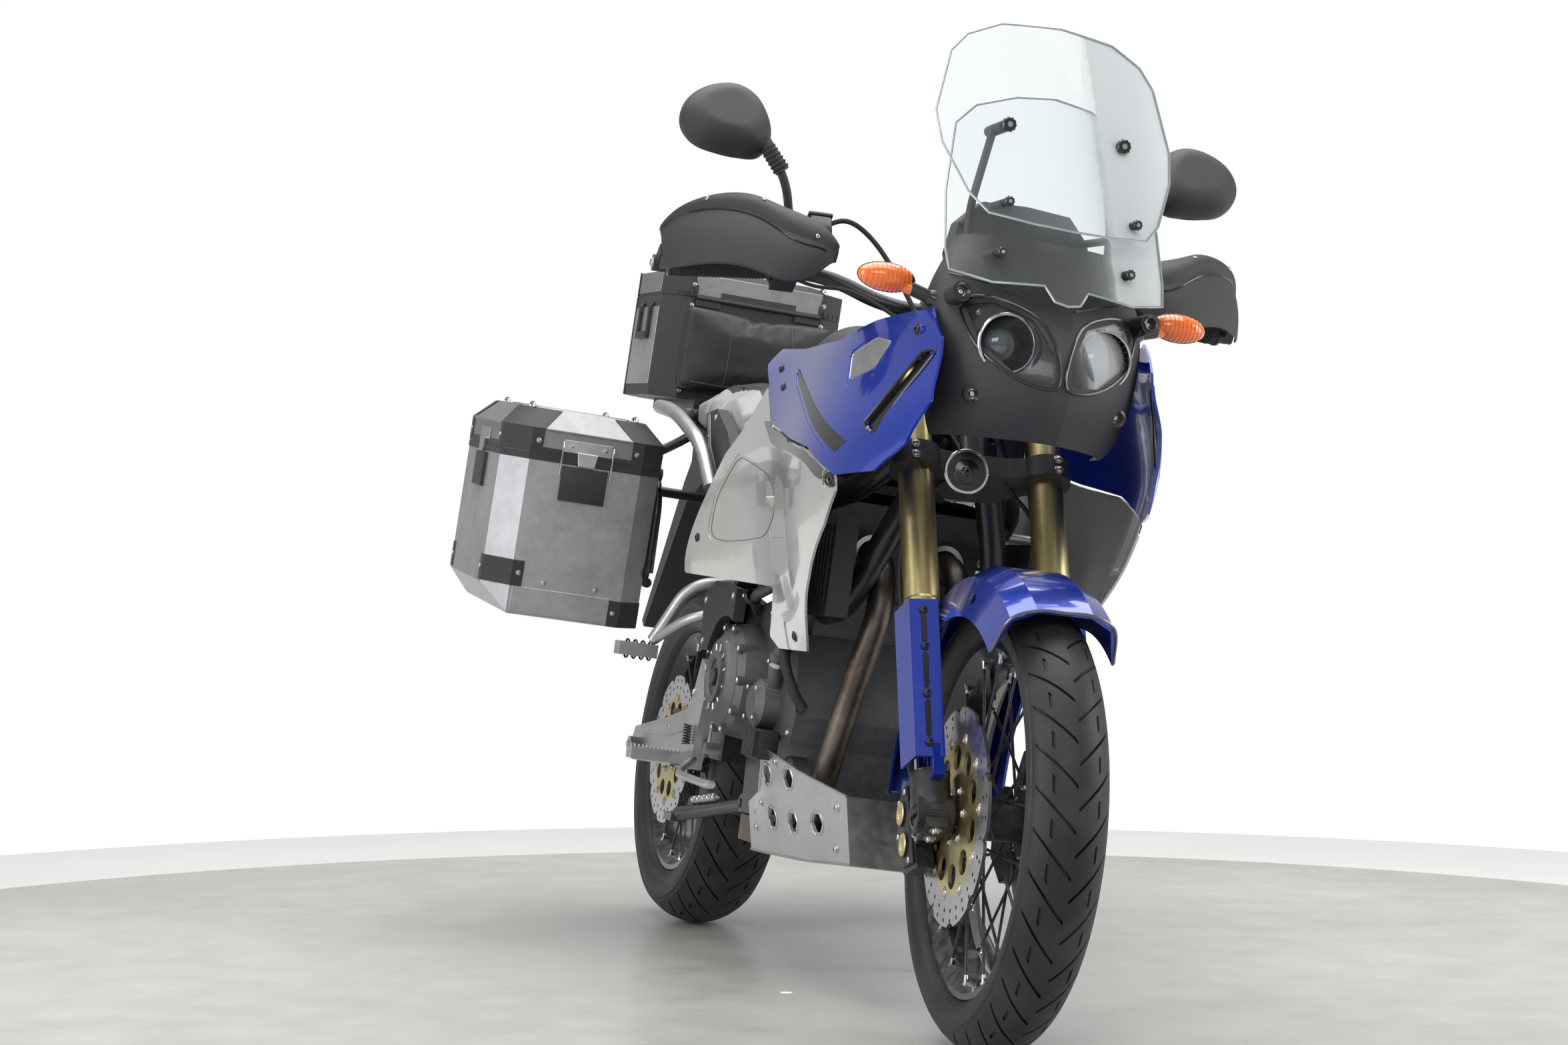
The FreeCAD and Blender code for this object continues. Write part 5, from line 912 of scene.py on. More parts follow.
class MOTO_OT_fork(bpy.types.Operator):
    """Fork seals, caps, clamp bolts, calipers' caps, axle ends, guards' bolts and the brake hoses"""
    bl_idname = "moto.fork"
    bl_label = "Fork"

    def execute(self, context):
        rubber, dark, bright, gold, hoses, cast = meshes(6)
        for side in (-1, 1):
            x = side * FORK_X
            turned(rubber, [(0, 22.2), (0, 25), (2, 29), (7, 29.6), (8, 27)], (x, LEG_Y, 291.6), (0, 0, 1),
                   28, False)
            turned(bright, [(0, 31.2), (1, 31.8), (4, 31.8), (5, 31.2)], (x, LEG_Y, 303), (0, 0, 1), 32,
                   False)
            turned(dark, [(0, 27.0), (0, 25.6), (6, 25.2), (8, 22), (8, 15), (5, 14)], (x, LEG_Y, 774.5),
                   (0, 0, 1), 32)
            nut(gold, (x, LEG_Y, 779), (0, 0, 1), 12.0, 9.0, 4.0)
            for z in (60.5, 8.5):
                turned(dark, [(0, 29.4), (2.4, 29.4), (3.4, 28.4)], (x, LEG_Y, z - 2), (0, 0, 1), 24, False)
            # lower pinch lug and its two bolts
            block(cast, (x - 17, LEG_Y - 26, -30), (x + 17, LEG_Y + 26, -14), 4.0, 2)
            for y in (-14, 14):
                bolt(bright, (x, LEG_Y + y, -30), (0, 0, -1), 6.0, 6.0)
            # axle end
            nut(bright, (side * 120.0, LEG_Y, 0), (side, 0, 0), 17.5, 5.6)
            turned(dark, [(0, 24.0), (1.6, 24.0), (2.2, 23.0), (2.2, 18.5)], (side * 125.4, LEG_Y, 0),
                   (side, 0, 0), 36, False)
            self.caliper(side, cast, bright, gold, dark)
            # hose from the caliper up the leg to the lower clamp
            pipe(hoses, [(side * 92, LEG_Y + 112, 96), (side * 104, LEG_Y + 92, 128),
                         (side * 118, LEG_Y + 48, 190),
                         (side * 122, LEG_Y + 34, 300), (side * 120, LEG_Y + 38, 420),
                         (side * 96, LEG_Y + 44, 520),
                         (side * 58, LEG_Y + 26, 556), (side * 40, LEG_Y + 4, 562)], 3.6, 12, 8)
            nut(bright, (side * 90, LEG_Y + 114, 90), (0, -0.3, 1), 7.0, 8.0)
            # clamp bolts
            for z in (577, 752):
                for offset in (-9, 9):
                    bolt(bright, (x + side * 10, LEG_Y - 38.6, z + offset), (0, -1, 0), 4.6, 4.0)
        self.guards(dark)
        turned(dark, [(0, 20), (4, 20), (5, 18), (5, 10), (2, 9)], (0, 0, 769), (0, 0, 1), 28)
        nut(bright, (0, 0, 772), (0, 0, 1), 12.0, 5.0)
        pieces("steering", "fork",
               ("fork_seals", rubber, "black_rubber", "black_rubber"),
               ("fork_dark_parts", dark, "dark_bolt", "black_cast"),
               ("fork_bright_bolts", bright, "bright_bolt", "hard_chrome"),
               ("fork_gold_caps", gold, "gold_carrier", "gold_anodised"),
               ("fork_lugs", cast, "black_cast", "black_cast"),
               ("front_brake_hoses", hoses, "black_rubber", "black_rubber"))
        return {"FINISHED"}

    def caliper(self, side, cast, bright, gold, dark):
        """Raised body, gold piston caps, bridge bolts and a bleed screw on the outer face."""
        face = side * 100.0
        ring = ((92, -34), (144, -22), (170, 24), (144, 86), (108, 94), (102, 40))
        prism(cast, [(face, LEG_Y + y, z) for y, z in ring], (side * 4.0, 0, 0), 2.4, 2)
        for y, z in ((LEG_Y + 132, 58), (LEG_Y + 128, 8)):
            turned(gold, [(0, 17.0), (5.5, 17.0), (6.5, 16.0), (6.5, 9.0), (5.0, 8.0), (5.0, 3.0)],
                   (face + side * 2, y, z), (side, 0, 0), 30)
            turned(dark, [(0, 19.0), (5.2, 19.0), (5.6, 18.4), (5.6, 17.2)], (face + side * 2, y, z),
                   (side, 0, 0), 30, False)
        for y, z in ((LEG_Y + 108, -24), (LEG_Y + 152, 30), (LEG_Y + 112, 84), (LEG_Y + 140, 78)):
            bolt(bright, (face + side * 4, y, z), (side, 0, 0), 4.6, 4.0, True, False)
        turned(bright, [(0, 4.0), (6, 4.0), (6.4, 2.4), (12, 2.2), (12.6, 3.0), (14, 2.6)],
               (face - side * 12, LEG_Y + 126, 99), (0, 0.2, 1), 12)
        for z in (1, 49):
            bolt(bright, (side * 104, LEG_Y + 70, z), (side, 0, 0), 7.5, 6.0)

    def guards(self, dark):
        """A slotted strip and its bolts on each fork guard."""
        for side in (-1, 1):
            x = side * (FORK_X + 12)
            for z in (92, 168, 244, 302):
                bolt(dark, (x, LEG_Y - 44.2, z), (0, -1, 0), 4.4, 3.0)
            for z0, z1 in ((106, 154), (182, 230), (256, 292)):
                ring = []
                for k in range(16):
                    angle = 2 * math.pi * k / 16
                    ring.append((x + 4.0 * math.cos(angle), LEG_Y - 43.4,
                                 (z0 if math.sin(angle) < 0 else z1) + 4.0 * math.sin(angle)))
                prism(dark, ring, (0, -0.9, 0))


class MOTO_OT_bar(bpy.types.Operator):
    """Bar clamps, grips, switches, reservoirs, cables, mirror glasses and boots, and handguard trim"""
    bl_idname = "moto.bar"
    bl_label = "Handlebar"

    def execute(self, context):
        bar_z = 870.0
        rubber, dark, bright, cables, glass, trim, glow = meshes(7)
        for side in (-1, 1):
            a = Vector((side * 300, 30, bar_z + 78))
            b = Vector((side * 460, 62, bar_z + 82))
            run = (b - a).normalized()
            for k in range(26):
                at = a + run * (12 + k * 5.2)
                turned(rubber, [(0, 17.2), (0.6, 18.4), (2.6, 18.4), (3.2, 17.2)], at, run, 24, False)
            turned(rubber, [(0, 17.5), (0, 22.0), (3, 22.4), (5, 20.5), (8, 17.6)], a + run * 1.0, run, 28,
                   False)
            turned(dark, [(0, 17.4), (0, 18.6), (4, 18.6), (6, 16.0), (6, 8.0)], b - run * 5.0, run, 24)
            # riser clamps
            block(dark, (side * 48 - 19, -14, bar_z + 12), (side * 48 + 19, 25, bar_z + 33), 5.0, 3)
            for x, y in ((-11, -8), (11, -8), (-11, 19), (11, 19)):
                bolt(bright, (side * 48 + x, y, bar_z + 32.6), (0, 0, 1), 4.6, 4.4)
            # switches on the rider's side of the box
            for x, z, w, h in ((276, 88, 9, 6), (288, 88, 8, 6), (282, 74, 13, 5), (276, 60, 8, 6),
                               (290, 60, 7, 6)):
                block(dark, (side * x - w / 2, 48, bar_z + z - h / 2),
                      (side * x + w / 2, 54, bar_z + z + h / 2), 1.6, 2)
            block(glow, (side * 268 - 3, 49.2, bar_z + 84), (side * 268 + 3, 51.6, bar_z + 90), 0.8, 1)
            # lever pivot and its ball end
            bolt(bright, (side * 276, -18, bar_z + 88), (0, 0, 1), 6.0, 5.0)
            turned(dark, [(-8, 3), (-5, 8), (0, 9.4), (5, 8), (8, 3)], (side * 438, -14, bar_z + 76),
                   (side, 0.1, 0), 18)
            self.mirror(side, rubber, glass, dark)
            self.guard(side, trim, bright)
        self.reservoir(-1, dark, bright, glow)
        self.reservoir(1, dark, bright, glow)
        self.cables(cables, bar_z)
        pieces("steering", "fork",
               ("grip_ribs", rubber, "black_rubber", "black_rubber"),
               ("bar_dark_parts", dark, "smooth_black", "black_cast"),
               ("bar_bolts", bright, "bright_bolt", "hard_chrome"),
               ("bar_cables", cables, "black_rubber", "black_rubber"),
               ("mirror_glasses", glass, "mirror_glass", "black_plastic"),
               ("handguard_trim", trim, "smooth_black", "black_plastic"),
               ("switch_marks", glow, "amber_lens", "black_plastic"))
        return {"FINISHED"}

    def mirror(self, side, rubber, glass, dark):
        outline = [(465, 1159), (453, 1190), (413, 1218), (370, 1222), (341, 1203), (325, 1172), (320, 1136),
                   (336, 1105), (371, 1100), (403, 1103), (437, 1112), (457, 1130)]
        mid_x = sum(x for x, z in outline) / len(outline)
        mid_z = sum(z for x, z in outline) / len(outline)
        rings = []
        for y, scale in ((-36.4, 0.90), (-35.4, 0.90), (-35.0, 0.885)):
            rings.append([(side * p.x, p.y, p.z) for p in curve_points(
                [(mid_x + (x - mid_x) * scale, y, mid_z + (z - mid_z) * scale) for x, z in outline], 5,
                True)])
        loft(glass, rings)
        bead = [(side * p.x, p.y, p.z) for p in curve_points(
            [(mid_x + (x - mid_x) * 0.945, -36.4, mid_z + (z - mid_z) * 0.945) for x, z in outline], 5, True)]
        cord_line(dark, bead, 1.6, 8, True)
        a = Vector((side * 299, -45, 1081))
        b = Vector((side * 332, -61, 1121))
        run = (b - a).normalized()
        for k in range(6):
            turned(rubber, [(0, 11.6), (1.6, 14.2 - k * 0.2), (3.2, 14.2 - k * 0.2), (5.2, 11.6)],
                   a + run * (3 + k * 7.4), run, 22, False)
        turned(rubber, [(0, 12.4), (2, 15.0), (14, 14.2), (22, 10.0), (30, 7.2)], (side * 270, 28, 970),
               (-side * 0.02, 0, 1), 22)

    def guard(self, side, trim, bright):
        """A raised bead along the guard's step, three small bolts on its face and its end bolt."""
        stations = [(251, -118, 886), (303, -130, 888), (358, -122, 928), (400, -98, 954), (448, -46, 980)]
        line = laid([(side * x, y - 60, z + 3) for x, y, z in stations], "handguards", (0, 1, 0),
                    (0, -260, 0), 0.2, "fork", 6)
        if len(line) > 3:
            cord_line(trim, line, 1.5, 6)
        for x, z in ((268, 905), (350, 962), (428, 986)):
            place, normal = surface("handguards", (side * x, -260, z), (0, 1, 0), "fork")
            if place is not None:
                bolt(bright, place, normal, 3.6, 2.4, True, False)
        bolt(bright, (side * 484, 62, 952), (side, 0, 0), 7.0, 4.0)

    def reservoir(self, side, dark, bright, glow):
        """A fluid box with its lid, screws and sight glass, in front of the bar."""
        x0, x1 = sorted((side * 226, side * 262))
        block(dark, (x0, -66, 956), (x1, -22, 992), 5.0, 3)
        block(dark, (x0 - 1.5, -67.5, 990), (x1 + 1.5, -20.5, 997), 2.4, 2)
        for dx, dy in ((6, -60), (-6, -28)):
            bolt(bright, ((x0 + x1) / 2 + dx * 1.6, dy, 996.6), (0, 0, 1), 3.0, 1.6, True, False)
        turned(glow, [(0, 7), (1.4, 7), (2.0, 5.5)], ((x0 + x1) / 2, -22.4, 973), (0, 1, 0), 20)
        block(dark, (side * 262 - 18, -34, 934), (side * 262 + 18, -14, 960), 5.0, 2)

    def cables(self, cables, bar_z):
        """Held hoses and leads: each leaves a control and ends at a clamp on the steering."""
        routes = [
            (4.0, [(-258, -30, bar_z + 78), (-236, -44, bar_z + 112), (-196, -52, bar_z + 126),
                   (-150, -44, bar_z + 96), (-104, -36, bar_z + 20), (-70, -36, 800), (-58, -40, 766)]),
            (3.0, [(-268, 20, bar_z + 56), (-236, 2, bar_z + 34), (-180, -14, bar_z + 20), (-110, -26, 840),
                   (-78, -34, 790), (-72, -40, 764)]),
            (4.0, [(258, -30, bar_z + 78), (232, -46, bar_z + 108), (190, -54, bar_z + 112),
                   (146, -46, bar_z + 76), (100, -38, bar_z + 6), (66, -36, 796), (56, -40, 766)]),
            (3.0, [(268, 20, bar_z + 56), (236, 4, bar_z + 30), (176, -12, bar_z + 14), (112, -24, 836),
                   (80, -34, 788), (74, -40, 764)]),
        ]
        for radius, points in routes:
            pipe(cables, points, radius, 10, 8)


class MOTO_OT_nose(bpy.types.Operator):
    """Headlamp reflectors and rings, boss bolts, brow beads, horn, instrument faces and signal facets"""
    bl_idname = "moto.nose"
    bl_label = "Nose and lamps"

    def execute(self, context):
        chrome, dark, lens, bright, amber, face, glow = meshes(7)
        for side in (-1, 1):
            at = Vector((side * 75, 0, 1003))
            # bowl, its bright rim and the projector's stepped bezel and dome
            turned(chrome, [(36.6, 43.4), (44, 42.4), (54, 40.6), (62, 39.2), (70, 36.0), (78, 32.4),
                            (83.4, 29.6)], at,
                   (0, 1, 0), 56, False)
            turned(chrome, [(35.0, 44.6), (33.6, 43.6), (33.2, 41.8), (34.2, 40.4), (37.0, 40.2)], at,
                   (0, 1, 0), 56, False)
            for k in range(28):
                angle = 2 * math.pi * k / 28
                out = Vector((math.cos(angle), 0, math.sin(angle)))
                rod(chrome, at + out * 41.6 + Vector((0, 39, 0)), at + out * 31.4 + Vector((0, 76, 0)), 0.9,
                    6, 0.2)
            turned(dark, [(80, 29.4), (66, 29.2), (62, 28.4), (60, 27.0), (62, 25.6), (70, 25.2)], at,
                   (0, 1, 0), 48, False)
            turned(lens, [(66, 25.0), (60, 22.5), (55.4, 17.0), (53.0, 9.0), (52.4, 2.0)], at, (0, 1, 0), 40,
                   True)
            # small position lamp in the upper outer corner
            small = Vector((side * 112, 0, 1044))
            turned(chrome, [(64, 11.5), (74, 9.0), (80, 4.0), (82, 1.0)], small, (0, 1, 0), 28, False)
            turned(dark, [(62.6, 12.8), (62.6, 11.4), (66, 11.2)], small, (0, 1, 0), 28, False)
            turned(lens, [(66, 6.0), (63, 5.0), (61.8, 2.0)], small, (0, 1, 0), 18)
            # recessed bolts in the bosses
            for start, end in (((147.2, 50, 1069.2), (146, 62, 1068)),
                               ((112.2, 44, 925), (111.4, 54, 925.5))):
                a = Vector((side * start[0], start[1], start[2]))
                b = Vector((side * end[0], end[1], end[2]))
                bolt(bright, b - (b - a).normalized() * 1.0, a - b, 5.4, 4.0)
                turned(dark, [(0, 8.0), (-3.0, 8.0), (-3.6, 9.6), (-2.6, 11.4), (0.5, 12.4)],
                       a + (b - a).normalized() * 1.2, b - a, 26, False)
            self.signal(side, amber, dark)
        self.brow(dark)
        self.dash(face, glow, dark)
        # horn in front of the fork, on a bracket from the nose, with a bright ring
        at = Vector((-72, 142, 821))
        back = (0.12, 1, -0.1)
        turned(dark, [(20, 10), (9, 12), (4, 30), (0, 33), (-3, 33)], at, back, 44, True)
        turned(bright, [(-2.6, 33.6), (-4.4, 32.6), (-4.4, 29.6), (-3.0, 29.0)], at, back, 44, False)
        turned(dark, [(-3, 28.6), (-2.0, 20), (-4.4, 18), (-5.6, 8), (-7.6, 6), (-7.8, 2)], at, back, 40,
               False)
        pipe(dark, [(-72, 156, 838), (-86, 154, 862), (-108, 146, 880), (-124, 138, 886)], 3.6, 10, 5)
        for k in range(6):
            angle = math.pi * k / 3
            bolt(bright, at + Vector((31 * math.cos(angle), -4.2 - 3.7 * math.cos(angle),
                                      31 * math.sin(angle))),
                 (-0.12, -1, 0.1), 1.8, 1.2, False, False)
        pieces("frame", "bike",
               ("headlamp_reflectors", chrome, "reflector", "lamp_black"),
               ("nose_dark_parts", dark, "smooth_black", "black_plastic"),
               ("headlamp_projectors", lens, "lamp_lens", "lamp_glass"),
               ("nose_bolts", bright, "bright_bolt", "black_plastic"),
               ("signal_facets", amber, "amber_lens", "black_plastic"),
               ("instrument_faces", face, "lamp_black", "black_plastic"),
               ("instrument_marks", glow, "lid_aluminium", "black_plastic"))
        return {"FINISHED"}

    def signal(self, side, amber, dark):
        """Moulded ribs across the lens and the boot at the stalk's root."""
        centre = Vector((side * 232, 146, 1083))
        for k in range(-5, 6):
            x = k * 6.6
            half = math.sqrt(max(0.0, 1 - (x / 44.0) ** 2))
            ring = []
            for j in range(25):
                angle = math.pi + math.pi * j / 24
                ring.append(centre + Vector((x, 24.3 * half * math.sin(angle),
                                             21.3 * half * math.cos(angle))))
            if half > 0.3:
                cord_line(amber, ring, 0.7, 6)
        seam = [centre + Vector((44.2 * math.cos(a), 0, 21.2 * math.sin(a)))
                for a in (2 * math.pi * k / 48 for k in range(48))]
        cord_line(dark, seam, 0.9, 6, True)
        turned(dark, [(0, 15), (3, 16.5), (8, 14.5), (14, 13.4), (20, 11.2)], (side * 150, 130, 1058),
               (side * 0.95, 0.18, 0.28), 24, False)

    def brow(self, dark):
        """Beads that frame each lamp and run up the nose."""
        outline = [(8, 946), (62, 952), (116, 994), (137, 1056), (96, 1068), (36, 1045), (9, 994)]
        for side in (-1, 1):
            line = laid([(side * x, -60, z) for x, z in outline], "nose_cowl", (0, 1, 0), (0, -80, 0), 0.4,
                        "bike", 6, True)
            if len(line) > 8:
                cord_line(dark, line, 2.4, 8, True)
            line = laid([(side * x, -60, z) for x, z in ((20, 1064), (60, 1078), (110, 1092), (146, 1100))],
                        "nose_cowl", (0, 1, 0), (0, -80, 0), 0.2, "bike", 6)
            if len(line) > 3:
                cord_line(dark, line, 1.8, 8)

    def dash(self, face, glow, dark):
        """Two round dials behind the screen, without words."""
        for x, z, r in ((-46, 1172, 34), (42, 1172, 36)):
            turned(dark, [(0, r + 4), (6, r + 5), (9, r + 3), (9, r), (4, r - 1)], (x, 262, z), (0, 1, 0), 40,
                   False)
            turned(face, [(0.4, r), (2.4, r - 0.5), (2.6, 1.0)], (x, 262, z), (0, 1, 0), 40)
            for k in range(11):
                angle = math.radians(225 - 27 * k)
                out = Vector((math.cos(angle), 0, math.sin(angle)))
                base = Vector((x, 264.8, z))
                rod(glow, base + out * (r - 9), base + out * (r - 4), 0.8, 6, 0.2)
            rod(glow, (x, 265.2, z), (x - 0.5 * (r - 8), 265.2, z - 0.6 * (r - 10)), 0.7, 6, 0.2)


class MOTO_OT_screens(bpy.types.Operator):
    """Painted shade along the screens' rims, as grey beads for the dark outline that refraction draws at a
    clear sheet's edge, and knobs and screws on the screens
    """
    bl_idname = "moto.screens"
    bl_label = "Screens"

    def execute(self, context):
        dark, edge, bright = meshes(3)
        low = [(0, 1392), (60, 1384), (120, 1362), (150, 1330), (168, 1220), (172, 1130), (168, 1098),
               (110, 1086), (34, 1092), (20, 1070), (0, 1066)]
        high = [(0, 1502), (90, 1494), (140, 1470), (164, 1440), (188, 1341), (182, 1290), (150, 1215),
                (124, 1186), (60, 1178), (0, 1176)]
        for outline, start, end, bow in ((low, (4, 1060), (172, 1400), 60),
                                         (high, (18, 1170), (190, 1510), 62)):
            ring = outline + [(-x, z) for x, z in reversed(outline) if x > 0]
            line = []
            for i, (x, z) in enumerate(ring):
                xn, zn = ring[(i + 1) % len(ring)]
                for k in range(6):
                    px = x + (xn - x) * k / 6
                    pz = z + (zn - z) * k / 6
                    y0 = start[0] + (end[0] - start[0]) * (pz - start[1]) / (end[1] - start[1])
                    big = (210.0 ** 2 + bow ** 2) / (2 * bow)
                    line.append(Vector((px * 0.996, y0 + big - math.sqrt(big * big - px * px) + 2.0,
                                        pz - (pz - 1280) * 0.002)))
            # painted shade: a grey bead along the screen's rim for the outline refraction draws at the clear
            # edge
            cord_line(edge, line, 1.7, 8, True)
        for side in (-1, 1):
            for x, y, z, r in ((91, 104, 1328, 10.5), (100, 36, 1205, 7.0), (100, 38, 1132, 7.0)):
                turned(dark, [(0, r), (-5, r), (-6.6, r - 1.4), (-6.8, r - 4)], (side * x, y + 1.0, z),
                       (0, 1, 0), 26)
                turned(bright, [(-6.6, r * 0.42), (-7.6, r * 0.4), (-7.8, r * 0.2)], (side * x, y + 1.0, z),
                       (0, 1, 0), 14)
                for k in range(10):
                    angle = 2 * math.pi * k / 10
                    rod(dark, (side * x + r * math.cos(angle), y, z + r * math.sin(angle)),
                        (side * x + r * math.cos(angle), y - 4.4, z + r * math.sin(angle)), 1.1, 6, 0.3)
        pieces("frame", "bike",
               ("screen_knobs", dark, "smooth_black", "black_plastic"),
               ("screen_painted_outlines", edge, "painted_outline_grey", "clear_screen"),
               ("screen_screws", bright, "bright_bolt", "black_plastic"))
        return {"FINISHED"}


class MOTO_OT_body(bpy.types.Operator):
    """Inlays, bare badge patches, slot rims with a plate of painted shade behind, bolts and tank trim on the
    bodywork
    """
    bl_idname = "moto.body"
    bl_label = "Bodywork"

    def execute(self, context):
        dark, plain, grey, bright, fine = meshes(5)
        badge = [(292, 980), (262, 938), (200, 955), (180, 996), (226, 1004)]
        inlay = ([(234, 794), (262, 806), (330, 832), (400, 843), (470, 852), (600, 876), (660, 894)],
                 [(240, 786), (268, 788), (330, 812), (400, 826), (470, 836), (600, 852), (690, 894)])
        belly = [(786, 840), (620, 806), (548, 770), (555, 742), (642, 706), (798, 696), (842, 704),
                 (838, 776)]
        slot = [(62, 980), (94, 972), (154, 870), (130, 861)]
        for side in (-1, 1):
            far = (side * 330, 0, 0)
            inward = (-side, 0, 0)
            self.skin(plain, badge, "side_cowls", side, 0.5)
            self.strip(dark, [(590, 979), (400, 914), (194, 842)], [(560, 957), (400, 895), (224, 826)],
                       "side_cowls", side, 0.5)
            self.strip(grey, *inlay, "side_panels", side, 0.5)
            line = laid([(0, y, z) for y, z in self.rounded(badge, 8.0)], "side_cowls", inward, far, 0.4,
                        "bike", 1, True)
            if len(line) > 8:
                cord_line(bright, line, 0.8, 6, True)
            line = laid([(0, y, z) for y, z in self.rounded(belly, 26.0)], "side_panels", inward, far, 0.3,
                        "bike", 1, True)
            if len(line) > 8:
                cord_line(fine, line, 0.5, 6, True)
            self.slot_rim(dark, slot, side)
            # bolts, and the dark oval round the panel's front one
            for y, z, node, radius in ((228, 786, "side_panels", 6.0), (515, 553, "side_panels", 6.0),
                                       (120, 1012, "side_cowls", 5.4), (640, 950, "side_cowls", 5.0),
                                       (700, 985, "side_cowls", 5.0), (880, 700, "side_panels", 5.0)):
                place, normal = surface(node, (side * 330, y, z), inward)
                if place is not None:
                    bolt(fine, place + normal * 0.3, normal, radius, 3.6)
            oval = []
            for k in range(28):
                angle = 2 * math.pi * k / 28
                oval.append((0, 228 + 17 * math.cos(angle), 786 + 10 * math.sin(angle)))
            line = laid(oval, "side_panels", inward, far, 0.8, "bike", 1, True)
            if len(line) > 8:
                cord_line(dark, line, 1.8, 8, True)
        self.tank(dark, bright, fine)
        pieces("frame", "bike",
               ("cowl_bands_and_slot_shade", dark, "smooth_black", "black_plastic"),
               ("bare_badge_patches", plain, "satin_silver", "silver_paint"),
               ("panel_inlays", grey, "grey_gloss", "silver_paint"),
               ("body_bright_beads", bright, "bright_bolt", "silver_paint"),
               ("body_bolts", fine, "dark_bolt", "black_plastic"))
        return {"FINISHED"}

    def rounded(self, outline, radius):
        """Points round an outline with its corners rounded off."""
        out = []
        count = len(outline)
        for i, p in enumerate(outline):
            here = Vector(p)
            before = Vector(outline[i - 1])
            after = Vector(outline[(i + 1) % count])
            a = here + (before - here).normalized() * min(radius, (before - here).length * 0.45)
            b = here + (after - here).normalized() * min(radius, (after - here).length * 0.45)
            for k in range(5):
                t = k / 4
                out.append(tuple(a * (1 - t) ** 2 + here * 2 * t * (1 - t) + b * t * t))
            steps = max(1, int((after - here).length / 25))
            far = after + (here - after).normalized() * min(radius, (after - here).length * 0.45)
            for k in range(1, steps):
                out.append(tuple(b.lerp(far, k / steps)))
        return out

    def skin(self, bm, outline, node, side, proud):
        """A patch on one side: rings that shrink from an outline of (y, z) points to its middle."""
        ring = [Vector(p) for p in self.rounded(outline, 8.0)]
        centre = sum(ring, Vector((0, 0))) / len(ring)
        self.rows(bm, [[centre.lerp(p, t) for p in ring] for t in (1.0, 0.8, 0.6, 0.4, 0.2, 0.02)], node,
                  side, proud, True)

    def strip(self, bm, upper, lower, node, side, proud):
        """A band on one side between two lines of (y, z) points."""
        lines = [[p.yz for p in curve_points([(0, *q) for q in line], 6)] for line in (upper, lower)]
        self.rows(bm, [[a.lerp(b, t) for a, b in zip(*lines)] for t in (0.0, 0.25, 0.5, 0.75, 1.0)], node,
                  side, proud, False)

    def rows(self, bm, rows, node, side, proud, closed):
        """Rows of (y, z) points laid on a CAD piece from one side and skinned."""
        found = []
        for row in rows:
            line = []
            for y, z in row:
                place, normal = surface(node, (side * 330, y, z), (-side, 0, 0))
                if place is None or abs(normal.x) < 0.35:
                    place = None
                line.append(place)
            known = [p for p in line if p is not None]
            if not known:
                return
            for i, (y, z) in enumerate(row):
                if line[i] is None:
                    near = min(known, key=lambda p: (p.y - y) ** 2 + (p.z - z) ** 2)
                    line[i] = Vector((near.x, y, z))
            found.append([p + Vector((side * proud, 0, 0)) for p in line])
        loft(bm, found, closed, False)

    def slot_rim(self, dark, slot, side):
        """A raised lip round the cowl's slot, and a dark plate behind it that is painted shade filling the
        opening.
        """
        line = []
        for y, z in self.rounded(slot, 12.0):
            cy, cz = y - 110, z - 921
            for grow in (1.05, 1.10, 1.16, 1.24):
                place, normal = surface("side_cowls", (side * 330, 110 + cy * grow, 921 + cz * grow),
                                        (-side, 0, 0))
                if place is not None:
                    line.append(place + normal * 0.4)
                    break
        if len(line) > 8:
            cord_line(dark, line, 2.2, 8, True)
            # painted shade: a dark sheet 7 mm behind the rim fills the slot where its inside is shaded
            back = [p + Vector((-side * 7.0, 0, 0)) for p in line]
            centre = sum(back, Vector()) / len(back)
            rows = []
            for grow in (1.0, 0.66, 0.33, 0.02):
                rows.append([centre.lerp(p, grow) for p in back])
            loft(dark, rows, True, False)

    def tank(self, dark, bright, fine):
        """Cap ring, its screws and flap."""
        axis = Vector((0, 12, 28)).normalized()
        top = Vector((0, 652, 1078))
        turned(bright, [(-0.5, 34.6), (1.2, 34.6), (2.2, 33.6), (2.2, 26.0), (1.0, 25.2)], top, axis, 44,
               False)
        _, u, v = basis(axis)
        for k in range(7):
            angle = 2 * math.pi * k / 7
            bolt(fine, top + (u * math.cos(angle) + v * math.sin(angle)) * 30 + axis * 2.0, axis, 2.6, 1.4,
                 True, False)
        block(dark, (-8, 640, 1085), (8, 672, 1091), 2.0, 2)


class MOTO_OT_fender(bpy.types.Operator):
    """Grey beads along the fender's two ends, and its bolts"""
    bl_idname = "moto.fender"
    bl_label = "Front fender"

    def execute(self, context):
        lip, bolts = meshes(2)
        inner = FRONT_RADIUS + 14.0
        outer = inner + 14.0
        section = [(-88, inner - 58), (-75, inner - 5), (-40, outer), (0, outer + 0.6), (40, outer),
                   (75, inner - 5), (88, inner - 58)]
        for start in (math.radians(-62), math.radians(60)):
            line = []
            for x, r in section:
                line.append(Vector((x, LEG_Y + r * math.sin(start), r * math.cos(start))))
            cord_line(lip, curve_points(line, 6), 2.4, 8)
        for side in (-1, 1):
            for angle in (-34, 18):
                a = math.radians(angle)
                r = inner - 34
                bolt(bolts, (side * 84.5, LEG_Y + r * math.sin(a), r * math.cos(a)), (side, 0, 0.25), 5.0,
                     3.4)
        piece("fender_lips", lip, "steering", "grey_gloss", "fork")
        piece("fender_bolts", bolts, "steering", "dark_bolt", "fork")
        return {"FINISHED"}


